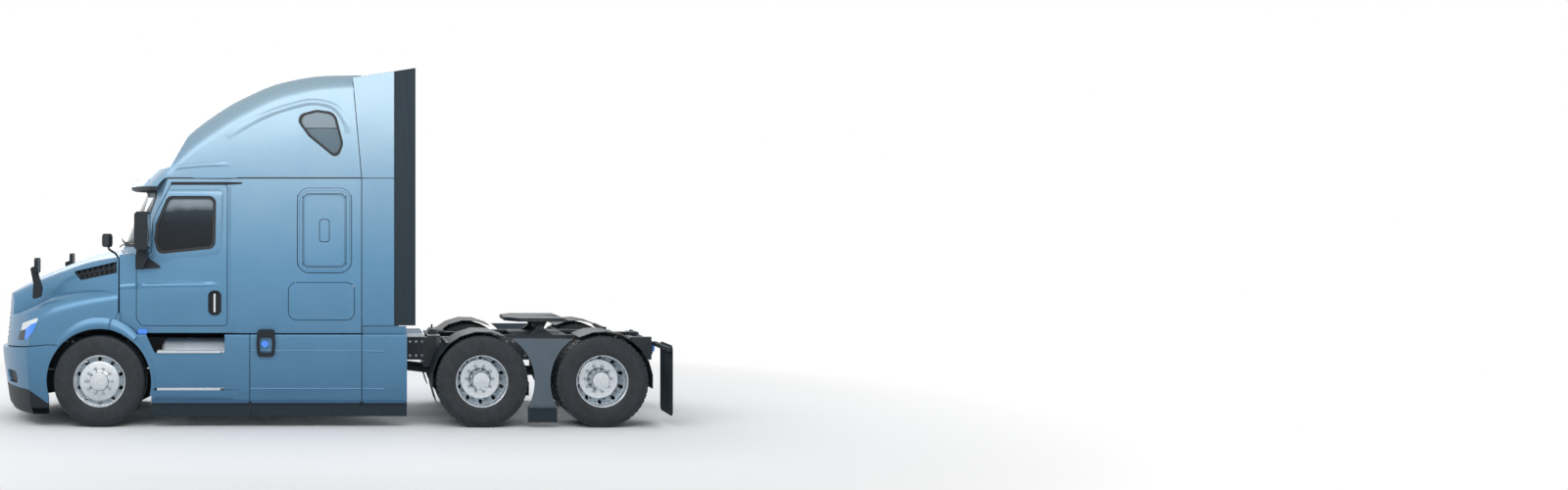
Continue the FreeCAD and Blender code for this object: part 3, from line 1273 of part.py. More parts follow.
def screen_prism(margin):
    low, high = SCREEN_BOTTOM_Z + margin, SCREEN_TOP_Z - margin
    bottom, top = SCREEN_BOTTOM_HALF - margin, SCREEN_TOP_HALF - margin
    outline = [(-bottom, low), (bottom, low), (top, high), (-top, high)]
    return cross_plate(outline, SCREEN_BASE_X - OVERRUN, SCREEN_TOP_SIDE_X, SCREEN_CORNER - margin)


def emboss_zone(length, height, corner):
    x0 = EMBOSS_FRONT_X + (EMBOSS_LENGTH - length) / 2
    z0 = EMBOSS_BASE_Z + (EMBOSS_HEIGHT_Z - height) / 2
    outline = [(x0, z0), (x0 + length, z0), (x0 + length, z0 + height), (x0, z0 + height)]
    return side_plate(outline, -2 * FENDER_HALF_WIDTH, -CAB_HALF_WIDTH / 2, corner)


def emboss_panel():
    raised = cab_form(-EMBOSS_HEIGHT).cut(cab_form(CAB_WALL / 2))
    frames = []
    for length, height, rim, corner in EMBOSS_FRAMES:
        outer = emboss_zone(length, height, corner)
        frames.append(raised.common(outer.cut(emboss_zone(length - 2 * rim, height - 2 * rim, corner / 2))))
    return frames


# Vertical hinges: barrels and pins on the post, matching barrels on the door

def post_barrels(x, y, heights):
    shapes = []
    for z in heights:
        shapes.append(Part.makeCylinder(DOOR_HINGE_RADIUS, DOOR_HINGE_HEIGHT / 2, Vector(x, y, z)))
        shapes.append(Part.makeCylinder(DOOR_HINGE_PIN_RADIUS, DOOR_HINGE_HEIGHT, Vector(x, y, z)))
    return shapes


def leaf_barrels(x, y, heights):
    shapes = []
    for z in heights:
        start = z + DOOR_HINGE_HEIGHT / 2 + HINGE_SIDE_GAP
        shapes.append(Part.makeCylinder(DOOR_HINGE_RADIUS, DOOR_HINGE_HEIGHT / 2 - HINGE_SIDE_GAP, Vector(x, y, start)))
    return shapes


def hinge_pockets(x, y, heights, upper):
    shapes = []
    for z in heights:
        start = z + (DOOR_HINGE_HEIGHT / 2 if upper else 0) - HINGE_CLEAR
        reach = DOOR_HINGE_HEIGHT / 2 + 2 * HINGE_CLEAR
        if upper:
            start, reach = start + HINGE_CLEAR, reach - HINGE_CLEAR
        else:
            reach -= HINGE_CLEAR - HINGE_SIDE_GAP
        ends = [Vector(x, y, start), Vector(x, y, start + reach)]
        shapes.append(facet_rod(DOOR_HINGE_RADIUS + HINGE_CLEAR, ends[0], ends[1], ROD_SIDES))
    return shapes


def pin_bores(x, y, heights):
    radius = DOOR_HINGE_PIN_RADIUS + PIN_CLEARANCE
    return [Part.makeCylinder(radius, DOOR_HINGE_HEIGHT + HINGE_SIDE_GAP, Vector(x, y, z)) for z in heights]


def door_hinge_heights():
    return [DOOR_BOTTOM_Z + (DOOR_TOP_Z - DOOR_BOTTOM_Z) * share for share in DOOR_HINGE_SHARES]


def luggage_hinge_heights():
    middle = LUGGAGE_BASE_Z + LUGGAGE_HEIGHT / 2
    offset = LUGGAGE_HEIGHT / 4
    return [middle - offset - DOOR_HINGE_HEIGHT / 2, middle + offset - DOOR_HINGE_HEIGHT / 2]


def hung_panel(panel, x, y, heights):
    for pocket in hinge_pockets(x, y, heights, False):
        panel = panel.cut(pocket)
    panel = fuse_all([panel] + leaf_barrels(x, y, heights))
    for bore in pin_bores(x, y, heights):
        panel = panel.cut(bore)
    return panel


def cab_shell():
    shell = cab_skin(CAB_WALL)
    open_top = skin([cab_top_ring(z, CAB_WALL) for z in (CAB_SEAM_Z - OVERRUN, CAB_SEAM_Z + OVERRUN)])
    shell = fuse_all([shell.cut(open_top), cowl()]).cut(screen_prism(0))
    for prism in (door_prism(RUNNING_GAP), luggage_prism(RUNNING_GAP)):
        shell = shell.cut(prism).cut(mirrored(prism))
    shell = shell.cut(arch_cut(ARCH_RADIUS))
    barrels = []
    hinges = [
        (DOOR_FRONT_X, -CAB_HALF_WIDTH, door_hinge_heights()),
        (LUGGAGE_FRONT_X, -SLEEPER_HALF_WIDTH, luggage_hinge_heights())]
    for x, y, heights in hinges:
        for pocket in hinge_pockets(x, y, heights, True):
            shell = shell.cut(pocket).cut(mirrored(pocket))
        barrels += both_sides(post_barrels(x, y, heights))
    return [fuse_all([shell] + both_sides(emboss_panel()) + barrels + cab_mounts())]


def cowl():
    base_z = CAB_BELT_Z - CAB_WALL
    stations = []
    for x in (COWL_X + COWL_BOW, SCREEN_BASE_SIDE_X):
        stations.append((x, base_z, CAB_HALF_WIDTH, HOOD_TOP_Z - base_z, CREST_SHARES[-1][3]))
    return arch_loft(stations).cut(cab_form(CAB_WALL))


def cab_mounts():
    shapes = []
    for x in (DOOR_FRONT_X, SLEEPER_STEP_X, CAB_REAR_X - CROSSMEMBER_LENGTH):
        for side in (-1, 1):
            y = side * (FRAME_HALF_WIDTH - RAIL_FLANGE / 2)
            half = RAIL_FLANGE / 2
            shapes.append(block(x, x + CROSSMEMBER_LENGTH, y - half, y + half, FRAME_TOP_Z, CAB_FLOOR_Z + CAB_WALL / 2))
    return shapes


def cab_door(side):
    x, y = DOOR_FRONT_X, -CAB_HALF_WIDTH
    panel = cab_skin(DOOR_THICKNESS).common(door_prism(0)).cut(window_prism(0))
    z0, z1 = HANDLE_BASE_Z, HANDLE_BASE_Z + HANDLE_HEIGHT
    x0, x1 = HANDLE_FRONT_X, HANDLE_FRONT_X + HANDLE_LENGTH
    pocket = side_plate([(x0, z0), (x1, z0), (x1, z1), (x0, z1)], y - OVERRUN, y + HANDLE_RECESS, HANDLE_LENGTH / 2.3)
    return [on_side(hung_panel(panel.cut(pocket), x, y, door_hinge_heights()), side)]


def door_glass(side):
    inner = cab_form(DOOR_THICKNESS / 2 + GLASS_THICKNESS)
    sheet = cab_form(DOOR_THICKNESS / 2).cut(inner).common(window_prism(-SEAT_GAP))
    return [on_side(sheet, side)]


def door_fittings(side):
    y = -CAB_HALF_WIDTH
    x0, x1 = MIRROR_FRONT_X, MIRROR_FRONT_X + MIRROR_LENGTH
    z0, z1 = MIRROR_BASE_Z, MIRROR_BASE_Z + MIRROR_HEIGHT
    face = [(x0, z0), (x1, z0), (x1, z1), (x0, z1)]
    head = side_plate(face, -MIRROR_INNER_Y - MIRROR_WIDTH, -MIRROR_INNER_Y, MIRROR_CORNER)
    foot_z1 = MIRROR_FOOT_Z + MIRROR_FOOT_HEIGHT
    foot_x0 = DOOR_FRONT_X + DOOR_CORNER
    foot_x1 = foot_x0 + MIRROR_FOOT_LENGTH
    foot = side_plate(
        [(foot_x0, MIRROR_FOOT_Z), (foot_x1, MIRROR_FOOT_Z), (foot_x1, foot_z1), (foot_x0, foot_z1)],
        y - SEAT_GAP - MIRROR_FOOT_THICKNESS, y - SEAT_GAP, MIRROR_CORNER)
    middle_x = (x0 + x1) / 2
    radius = MIRROR_ARM_RADIUS
    elbow = Vector(middle_x, y - MIRROR_FOOT_THICKNESS / 2, foot_z1 - radius)
    top = Vector(middle_x, -MIRROR_INNER_Y - MIRROR_WIDTH / 3, z0 + radius)
    mirror_piece = fuse_all([head, foot, facet_rod(radius, elbow, top, ROD_SIDES)])
    bar_x = HANDLE_FRONT_X + HANDLE_LENGTH / 2
    half = HANDLE_BAR_RADIUS
    inset = HANDLE_HEIGHT / 8
    z0, z1 = HANDLE_BASE_Z + inset, HANDLE_BASE_Z + HANDLE_HEIGHT - inset
    bar = [block(bar_x - half, bar_x + half, y - half / 2, y + half, z0, z1)]
    for z in (z0, z1 - 2 * half):
        bar.append(block(bar_x - half, bar_x + half, y, y + HANDLE_RECESS - SEAT_GAP, z, z + 2 * half))
    return [on_side(mirror_piece, side), on_side(fuse_all(bar), side)]


def luggage_door(side):
    x, y = LUGGAGE_FRONT_X, -SLEEPER_HALF_WIDTH
    panel = cab_skin(CAB_WALL).common(luggage_prism(0))
    return [on_side(hung_panel(panel, x, y, luggage_hinge_heights()), side)]


# Roof fairing: a tall shell over the cab that rises and squares off towards the rear

def roof_nose(inset):
    rings = []
    half = ROOF_HALF_WIDTH + OVERRUN
    rear_x = CAB_REAR_X + OVERRUN
    for z in (CAB_SEAM_Z - OVERRUN, OVERALL_HEIGHT + OVERRUN):
        shift = ROOF_LEAN_SHARE * (z - CAB_SEAM_Z) + inset
        side_x = SCREEN_TOP_SIDE_X + shift
        bow = arc_points(
            Vector(side_x, half, z), Vector(ROOF_NOSE_X + shift, 0, z), Vector(side_x, -half, z), SCREEN_CHORDS)
        rings.append(bow + [Vector(rear_x, -half, z), Vector(rear_x, half, z)])
    return skin(rings)


@lru_cache(maxsize=None)
def roof_form(inset):
    length = CAB_REAR_X - ROOF_NOSE_X
    rise = OVERALL_HEIGHT - CAB_SEAM_Z
    spread = ROOF_HALF_WIDTH - ROOF_NOSE_HALF_WIDTH
    stations = []
    for i in range(ROOF_STATIONS + 1):
        along = (i / ROOF_STATIONS) ** ROOF_CROWDING
        wide, tall, squareness = [smooth_share(ROOF_SHARES, column, along) for column in (1, 2, 3)]
        half = ROOF_NOSE_HALF_WIDTH + spread * wide - inset
        height = max(rise * tall - inset, ROOF_WALL)
        stations.append((ROOF_NOSE_X + length * along, CAB_SEAM_Z, half, height, squareness))
    return arch_loft(stations).common(roof_nose(inset))


def roof_window_prism(margin):
    points = share_points(ROOF_WINDOW_SHARES, ROOF_WINDOW_FRONT_X, ROOF_WINDOW_BASE_Z, ROOF_WINDOW_LENGTH, ROOF_WINDOW_HEIGHT)
    wire = rounded_wire([Vector(x, -2 * FENDER_HALF_WIDTH, z) for x, z in points], ROOF_WINDOW_CORNER)
    if margin:
        wire = wire.makeOffset2D(margin)
    return Part.Face(wire).extrude(Vector(0, 2 * FENDER_HALF_WIDTH - CAB_HALF_WIDTH / 2, 0))


def roof_fairing():
    inner = roof_form(ROOF_WALL)
    rear_wall = CAB_REAR_X - ROOF_WALL
    half = 2 * FENDER_HALF_WIDTH
    keep = block(ROOF_NOSE_X, rear_wall, -half, half, 0, OVERALL_HEIGHT)
    shell = roof_form(0).cut(inner.common(keep))
    window = roof_window_prism(0)
    shell = shell.cut(window).cut(mirrored(window))
    return [shell]


def cab_glass():
    depth = CAB_WALL / 4
    screen = cab_form(depth).cut(cab_form(depth + GLASS_THICKNESS)).common(screen_prism(SEAT_GAP))
    sheet = roof_form(ROOF_WALL / 4).cut(roof_form(ROOF_WALL / 4 + GLASS_THICKNESS)).common(roof_window_prism(-SEAT_GAP))
    return [screen] + both_sides([sheet])


# Sun visor: a curved blade over the windscreen on two end brackets

def visor_front(y):
    return VISOR_FRONT_X + VISOR_RADIUS - math.sqrt(VISOR_RADIUS ** 2 - y ** 2)


def visor_blade():
    depth = VISOR_BACK_X - VISOR_FRONT_X
    rings = []
    for i in range(VISOR_STATIONS + 1):
        y = VISOR_HALF_WIDTH * (2 * i / VISOR_STATIONS - 1)
        section = share_points(VISOR_SHARES, visor_front(y), VISOR_FRONT_Z, depth, VISOR_HEIGHT)
        rings.append([Vector(x, y, z) for x, z in section])
    return skin(rings)


def sun_visor():
    return [visor_blade().cut(cab_form(-SEAT_GAP)).cut(roof_form(-SEAT_GAP))]


def visor_lamp(y):
    x0 = visor_front(y)
    z0, half = VISOR_LAMP_BASE_Z, VISOR_LAMP_WIDTH / 2
    body = block(x0, x0 + VISOR_LAMP_LENGTH, y - half, y + half, z0, z0 + VISOR_LAMP_HEIGHT).cut(visor_blade())
    return sorted(body.Solids, key=lambda solid: solid.CenterOfMass.x)[0]


# Marker lamps on the visor, the sills and the tail

def marker_lamps():
    lamps = []
    x0 = DOOR_FRONT_X + MARKER_LENGTH / 4
    x1 = x0 + MARKER_LENGTH
    z0, z1 = FAIRING_TOP_Z + SEAT_GAP, FAIRING_TOP_Z + MARKER_HEIGHT
    y0 = -CAB_HALF_WIDTH - MARKER_DEPTH / 2
    sill = side_plate([(x0, z0), (x1, z0), (x1, z1), (x0, z1)], y0, y0 + MARKER_DEPTH, MARKER_HEIGHT / 4)
    lamps += both_sides([sill.cut(cab_form(-SEAT_GAP))])
    lamps += [visor_lamp(VISOR_LAMPS_Y[0])]
    for y in VISOR_LAMPS_Y[1:]:
        lamps += both_sides([visor_lamp(-y)])
    for y, z in tail_lamp_places():
        start = Vector(TAIL_LAMP_PLATE_X + TAIL_LAMP_PLATE + SEAT_GAP, y, z)
        lamps += both_sides([facet_rod(TAIL_LAMP_RADIUS, start, start + Vector(TAIL_LAMP_DEPTH, 0, 0), DRUM_SIDES)])
    return lamps


def tail_lamp_places():
    z = FRAME_BOTTOM_Z + RAIL_HEIGHT / 2
    inner_y = -FRAME_HALF_WIDTH + RAIL_FLANGE + TAIL_LAMP_RADIUS
    return [(inner_y + TAIL_LAMP_SPACING * i, z) for i in range(2)]


def tail_lamp_plate():
    half = FRAME_HALF_WIDTH
    x0 = TAIL_LAMP_PLATE_X
    middle_z = FRAME_BOTTOM_Z + RAIL_HEIGHT / 2
    reach = TAIL_LAMP_RADIUS * 1.3
    return block(x0, x0 + TAIL_LAMP_PLATE, -half, half, middle_z - reach, middle_z + reach)


# Side extenders: painted panels behind the sleeper, then a rubber edge

def extender_outline(x0, x1):
    slope = (EXTENDER_TOP_REAR_Z - EXTENDER_TOP_FRONT_Z) / (EXTENDER_REAR_X - EXTENDER_TOP_FRONT_X)
    top0 = EXTENDER_TOP_FRONT_Z + slope * (max(x0, EXTENDER_TOP_FRONT_X) - EXTENDER_TOP_FRONT_X)
    top1 = EXTENDER_TOP_FRONT_Z + slope * (x1 - EXTENDER_TOP_FRONT_X)
    if x0 < EXTENDER_FRONT_X:
        return [(EXTENDER_FRONT_X, EXTENDER_BOTTOM_Z), (x1, EXTENDER_BOTTOM_Z), (x1, top1), (x0, top0), (EXTENDER_FRONT_X, EXTENDER_KNEE_Z)]
    return [(x0, EXTENDER_BOTTOM_Z), (x1, EXTENDER_BOTTOM_Z), (x1, top1), (x0, top0)]


def side_extenders():
    y = -SLEEPER_HALF_WIDTH + EXTENDER_INSET
    panel = side_plate(extender_outline(EXTENDER_TOP_FRONT_X, EXTENDER_PAINT_REAR_X), y, y + EXTENDER_THICKNESS)
    clear = cab_form(-SEAT_GAP).fuse(roof_form(-SEAT_GAP))
    bracket_x = CAB_REAR_X + SEAT_GAP
    shapes = [panel.cut(clear)]
    for z in (EXTENDER_BOTTOM_Z + OVERRUN, CAB_SEAM_Z - 2 * OVERRUN):
        shapes.append(block(bracket_x, bracket_x + 2 * OVERRUN, y, y + 2 * OVERRUN, z, z + OVERRUN))
    return both_sides([fuse_all(shapes)])


def extender_edges():
    y = -SLEEPER_HALF_WIDTH + EXTENDER_INSET + (EXTENDER_THICKNESS - EXTENDER_RUBBER_THICKNESS) / 2
    outline = extender_outline(EXTENDER_PAINT_REAR_X + SEAT_GAP, EXTENDER_REAR_X)
    return both_sides([side_plate(outline, y, y + EXTENDER_RUBBER_THICKNESS)])


# Side fairings over the tanks: a bowed section pulled along each side, cut at the arch, seams and steps

def fairing_section(outset):
    rise = FAIRING_TOP_Z - FAIRING_BOTTOM_Z
    points = []
    for tuck, up in FAIRING_SECTION_SHARES:
        points.append((-FAIRING_HALF_WIDTH + FAIRING_TUCK * tuck + outset, FAIRING_BOTTOM_Z + rise * up))
    return points


def fairing_wall():
    outer = fairing_section(0)
    inner = fairing_section(FAIRING_WALL)
    front = FRONT_AXLE_X
    return cross_plate(outer + inner[::-1], front, FAIRING_REAR_X)


def step_opening(base_z, height, corner, slant=0):
    x0, x1 = STEP_FRONT_X + OVERRUN / 2, STEP_FRONT_X + STEP_LENGTH - OVERRUN / 4
    outline = [(x0, base_z), (x1, base_z), (x1, base_z + height), (x0 - slant, base_z + height)]
    return side_plate(outline, -2 * FENDER_HALF_WIDTH, -CAB_HALF_WIDTH / 2, corner)


def step_bulge():
    x0, x1 = STEP_FRONT_X, STEP_FRONT_X + STEP_LENGTH + 2 * OVERRUN
    outer = -FAIRING_HALF_WIDTH
    low = STEP_BULGE_BOTTOM_Z
    slant = STEP_BULGE * 2
    plan = [
        (x0, outer + FAIRING_WALL), (x0, outer), (x0 + slant, outer - STEP_BULGE), (x1 - 2 * slant, outer - STEP_BULGE),
        (x1, outer), (x1, outer + FAIRING_WALL)]
    body = plan_plate(plan, low, STEP_LOWER_Z - STEP_THICKNESS)
    return body


def side_fairing():
    wall = fairing_wall().cut(arch_cut(ARCH_RADIUS))
    upper_floor = STEP_UPPER_Z - STEP_THICKNESS - SEAT_GAP
    wall = wall.cut(step_opening(upper_floor, FAIRING_TOP_Z - upper_floor + OVERRUN, STEP_OPENING_CORNER, STEP_SLANT))
    wall = fuse_all([wall, step_bulge().cut(arch_cut(ARCH_RADIUS))])
    wall = wall.cut(step_opening(STEP_LOWER_Z - STEP_THICKNESS - SEAT_GAP, STEP_THICKNESS + 2 * SEAT_GAP, 0))
    parts = []
    edges = [FRONT_AXLE_X, FAIRING_SEAM_FRONT_X, FAIRING_SEAM_REAR_X, FAIRING_REAR_X + OVERRUN]
    half = 2 * FENDER_HALF_WIDTH
    for i in range(3):
        x0 = edges[i] + (FAIRING_SEAM_GAP / 2 if i else 0)
        x1 = edges[i + 1] - FAIRING_SEAM_GAP / 2
        panel = wall.common(block(x0, x1, -half, 0, 0, OVERALL_HEIGHT))
        parts.append(fuse_all([panel] + fairing_brackets(x0, x1)))
    return parts


def fairing_brackets(x0, x1):
    inner = -FAIRING_HALF_WIDTH + FAIRING_TUCK * FAIRING_SECTION_SHARES[-1][0] + FAIRING_WALL / 2
    z0 = FAIRING_TOP_Z - FAIRING_BRACKET_HEIGHT
    reach = FAIRING_BRACKET_WIDTH
    middle = min(max((x0 + x1) / 2, TANK_FRONT_X + TANK_LENGTH * TANK_BRACKET_SHARES[0]), x1 - reach)
    arm = block(middle, middle + reach, inner, -FRAME_HALF_WIDTH, z0, FAIRING_TOP_Z)
    foot = block(
        middle, middle + reach, -FRAME_HALF_WIDTH - reach, -FRAME_HALF_WIDTH, FRAME_TOP_Z - OVERRUN, FAIRING_TOP_Z)
    return [arm, foot]


# Lower skirts: black sheets below the fairings and below the axle fairings

def side_skirts():
    y = -FAIRING_HALF_WIDTH + SKIRT_INSET
    top = FAIRING_BOTTOM_Z
    sheets = []
    edges = [FRONT_AXLE_X, FAIRING_SEAM_FRONT_X, FAIRING_REAR_X]
    for i in range(2):
        x0 = edges[i] + (FAIRING_SEAM_GAP if i else 0)
        sheet = block(x0, edges[i + 1], y + SKIRT_INSET, y + SKIRT_INSET + SKIRT_THICKNESS, SKIRT_BOTTOM_Z, top - SEAT_GAP)
        sheets.append(sheet.cut(arch_cut(ARCH_RADIUS)))
    return both_sides(sheets)


# Step treads and the deck plate behind the cab

def step_treads():
    y = -FAIRING_HALF_WIDTH
    x0, x1 = STEP_FRONT_X, STEP_FRONT_X + STEP_LENGTH
    shapes = []
    tank = fuel_tank()
    for z in (STEP_UPPER_Z, STEP_LOWER_Z):
        tread = block(x0 + OVERRUN, x1 - OVERRUN, y - STEP_BULGE / 2, y + STEP_DEPTH, z - STEP_THICKNESS, z)
        shapes.append(tread.cut(tank))
    deck = block(DECK_FRONT_X, DECK_FRONT_X + DECK_LENGTH, -DECK_HALF_WIDTH, DECK_HALF_WIDTH, FRAME_TOP_Z, FRAME_TOP_Z + DECK_THICKNESS)
    return both_sides(shapes) + [deck]


# Filler housing on the driver's side with its cap

def filler_housing():
    y = -FAIRING_HALF_WIDTH
    x0, x1 = FILLER_FRONT_X, FILLER_FRONT_X + FILLER_LENGTH
    z0, z1 = FILLER_BASE_Z, FILLER_BASE_Z + FILLER_HEIGHT
    outline = [(x0, z0), (x1, z0), (x1, z1), (x0, z1)]
    body = side_plate(outline, y - FILLER_STANDOUT, y + FAIRING_TUCK, FILLER_LENGTH / 4)
    cap_x = (x0 + x1) / 2
    cap = rod(FILLER_CAP_RADIUS, Vector(cap_x, y - FILLER_STANDOUT, (z0 + z1) / 2), Vector(cap_x, y - FILLER_STANDOUT - FILLER_CAP_LENGTH, (z0 + z1) / 2))
    body = body.cut(fairing_wall()).cut(cab_form(-SEAT_GAP))
    body = sorted(body.Solids, key=lambda solid: solid.Volume)[-1]
    return [fuse_all([body, cap])]


# Hose stand on the deck with its two couplings

def hose_stand():
    x0, x1 = STAND_X, STAND_X + STAND_LENGTH
    z = FRAME_TOP_Z
    top = z + STAND_HEIGHT
    body = side_plate(
        [(x0, z), (x1, z), (x1 - STAND_LENGTH / 4, top), (x0 + STAND_LENGTH / 3, top)],
        -STAND_HALF_WIDTH, STAND_HALF_WIDTH)
    feet = block(x0, x1, -FRAME_HALF_WIDTH, FRAME_HALF_WIDTH, z, z + DECK_THICKNESS / 2)
    handle_x = x0 + STAND_LENGTH / 2
    radius = STAND_HANDLE_RADIUS
    half = STAND_HANDLE_LENGTH / 2
    grip_z = top + STAND_HANDLE_HEIGHT - 2 * radius
    shapes = [body, feet, block(handle_x - radius, handle_x + radius, -half, half, grip_z, grip_z + 2 * radius)]
    for y in (-half, half - 2 * radius):
        shapes.append(block(handle_x - radius, handle_x + radius, y, y + 2 * radius, top, grip_z))
    mid_z = z + STAND_HEIGHT * 0.5
    for side in (-1, 0, 1):
        y = side * GLADHAND_SPACING
        shapes.append(rod(GLADHAND_RADIUS, Vector(handle_x, y, mid_z), Vector(x1 + GLADHAND_LENGTH, y, mid_z)))
    return [fuse_all(shapes)]


# Fifth wheel: slide rails and pedestals on the frame, a rocking plate with a throat on top

def pivot_place():
    return FIFTH_WHEEL_X, FIFTH_WHEEL_TOP_Z - FIFTH_WHEEL_PIVOT_DROP


def fifth_wheel_base():
    x, z = pivot_place()
    half = FIFTH_WHEEL_SLIDE_LENGTH / 2
    low = FRAME_TOP_Z
    shapes = []
    inner = FRAME_HALF_WIDTH - RAIL_FLANGE
    for side in (-1, 1):
        y0, y1 = sorted((side * inner, side * FRAME_HALF_WIDTH))
        shapes.append(block(x - half, x + half, y0, y1, low, low + FIFTH_WHEEL_SLIDE_HEIGHT))
    cross = FIFTH_WHEEL_BASE_LENGTH / 2
    pin = rod(FIFTH_WHEEL_PIVOT_RADIUS, Vector(x, -FRAME_HALF_WIDTH, z), Vector(x, FRAME_HALF_WIDTH, z))
    shapes.append(block(x - cross, x + cross, -inner, inner, low, low + FIFTH_WHEEL_SLIDE_HEIGHT))
    shapes.append(pin)
    for side in (-1, 1):
        y = side * (FIFTH_WHEEL_LUG_Y + FIFTH_WHEEL_LUG_WIDTH + HINGE_SIDE_GAP + FIFTH_WHEEL_LUG_WIDTH / 2)
        y0, y1 = y - FIFTH_WHEEL_LUG_WIDTH / 2, y + FIFTH_WHEEL_LUG_WIDTH / 2
        radius = FIFTH_WHEEL_LUG_RADIUS * 0.9
        outline = [(x - cross * 0.55, low), (x + cross * 0.55, low), (x + radius, z), (x - radius, z)]
        shapes.append(side_plate(outline, y0, y1))
        shapes.append(rod(radius, Vector(x, y0, z), Vector(x, y1, z)))
    return [fuse_all(shapes)]


def fifth_wheel_plate():
    x, z = pivot_place()
    top = FIFTH_WHEEL_TOP_Z
    low = top - FIFTH_WHEEL_PLATE
    half_length = FIFTH_WHEEL_LENGTH / 2
    half = FIFTH_WHEEL_HALF_WIDTH
    front, rear = x - half_length, x + half_length
    ramp = FIFTH_WHEEL_RAMP
    outline = [
        (front, -half * 0.55), (front + ramp, -half), (rear - ramp, -half), (rear, -half * 0.62), (rear, half * 0.62),
        (rear - ramp, half), (front + ramp, half), (front, half * 0.55)]
    plate = plan_plate(outline, low, top, ramp / 4)
    throat = FIFTH_WHEEL_THROAT_RADIUS
    mouth = half * 0.42
    plate = plate.cut(Part.makeCylinder(throat, 4 * FIFTH_WHEEL_PLATE, Vector(x, 0, low - FIFTH_WHEEL_PLATE)))
    slot = plan_plate(
        [(x, -throat), (x + throat * 3, -throat), (rear + OVERRUN, -mouth), (rear + OVERRUN, mouth), (x + throat * 3, throat), (x, throat)],
        low - FIFTH_WHEEL_PLATE, top + FIFTH_WHEEL_PLATE)
    plate = plate.cut(slot)
    fall = [(rear - ramp, top + OVERRUN), (rear - ramp, top), (rear + OVERRUN, low - ramp / 4), (rear + OVERRUN, top + OVERRUN)]
    plate = plate.cut(side_plate(fall, -half, half))
    shapes = [plate]
    for side in (-1, 1):
        y0 = side * (FIFTH_WHEEL_LUG_Y + FIFTH_WHEEL_LUG_WIDTH / 2) - FIFTH_WHEEL_LUG_WIDTH / 2
        radius = FIFTH_WHEEL_LUG_RADIUS * 0.9
        outline = [(x - radius, z), (x + radius, z), (x + 2 * radius, low), (x - 2 * radius, low)]
        lug = side_plate(outline, y0, y0 + FIFTH_WHEEL_LUG_WIDTH).fuse(rod(radius, Vector(x, y0, z), Vector(x, y0 + FIFTH_WHEEL_LUG_WIDTH, z)))
        shapes.append(lug)
    whole = fuse_all(shapes)
    return [whole.cut(rod(FIFTH_WHEEL_PIVOT_RADIUS + PIN_CLEARANCE, Vector(x, -half, z), Vector(x, half, z)))]


# Drive wheel fenders: bent sheets over the twin wheels on tubes from the frame

def drive_fender(axle_x, first, last):
    outer = FENDER_RADIUS + FENDER_THICKNESS
    y0, y1 = -FENDER_OUTER_Y, -FENDER_INNER_Y
    points = []
    steps = 8
    for radius, order in ((outer, range(steps + 1)), (FENDER_RADIUS, reversed(range(steps + 1)))):
        for i in order:
            angle = math.radians(first + (last - first) * i / steps)
            points.append((axle_x + radius * math.cos(angle), AXLE_Z + radius * math.sin(angle)))
    sheet = side_plate(points, y0, y1)
    middle = math.radians((first + last) / 2)
    x = axle_x + FENDER_RADIUS * math.cos(middle)
    z = AXLE_Z + FENDER_RADIUS * math.sin(middle) + FENDER_THICKNESS
    ends = [Vector(x, -FENDER_OUTER_Y + OVERRUN, z), Vector(x, -FRAME_HALF_WIDTH - FLAP_HANGER_RADIUS, z)]
    tube = facet_rod(FLAP_HANGER_RADIUS, ends[0], ends[1], ROD_SIDES)
    post = block(
        x - FLAP_HANGER_RADIUS, x + FLAP_HANGER_RADIUS, -FRAME_HALF_WIDTH - 2 * FLAP_HANGER_RADIUS, -FRAME_HALF_WIDTH,
        FRAME_TOP_Z - OVERRUN, z + FLAP_HANGER_RADIUS)
    return fuse_all([sheet, tube, post])


def drive_fenders():
    front, rear = DRIVE_AXLES_X
    sheets = [drive_fender(front, *FENDER_FRONT_ANGLES), drive_fender(rear, *FENDER_REAR_ANGLES)]
    return both_sides(sheets)


# Axle fairings between the drive wheels, with their black skirts

def axle_fairing(top_z, bottom_z, y0, y1):
    front, rear = DRIVE_AXLES_X
    panel = block(front, rear, y0, y1, bottom_z, top_z)
    for axle_x in DRIVE_AXLES_X:
        ends = [Vector(axle_x, y0 - OVERRUN, AXLE_Z), Vector(axle_x, y1 + OVERRUN, AXLE_Z)]
        panel = panel.cut(facet_rod(AXLE_FAIRING_ARCH, ends[0], ends[1], ARCH_SIDES))
        side = math.copysign(1, TANDEM_X - axle_x)
        under = AXLE_FAIRING_ARCH * 0.87
        x0, x1 = sorted((axle_x, axle_x + side * under))
        panel = panel.cut(block(x0, x1, y0 - OVERRUN, y1 + OVERRUN, 0, AXLE_Z - AXLE_FAIRING_ARCH * 0.49))
    return sorted(panel.Solids, key=lambda solid: solid.Volume)[-1]


def axle_fairings():
    y0 = -FENDER_OUTER_Y
    panel = axle_fairing(AXLE_FAIRING_TOP_Z, AXLE_FAIRING_BOTTOM_Z, y0, y0 + AXLE_FAIRING_WALL)
    half = AXLE_FAIRING_ARCH / 9
    bracket_z = FRAME_BOTTOM_Z + RAIL_HEIGHT / 2
    bracket = block(TANDEM_X - half, TANDEM_X + half, y0 + AXLE_FAIRING_WALL / 2, -FRAME_HALF_WIDTH, bracket_z, bracket_z + half)
    return both_sides([fuse_all([panel, bracket])])


def axle_skirts():
    y0 = -FENDER_OUTER_Y + SKIRT_THICKNESS / 2
    return both_sides([axle_fairing(AXLE_FAIRING_BOTTOM_Z - SEAT_GAP, AXLE_SKIRT_BOTTOM_Z, y0, y0 + SKIRT_THICKNESS)])


# Mud flaps behind the last wheels on tubes from the rails

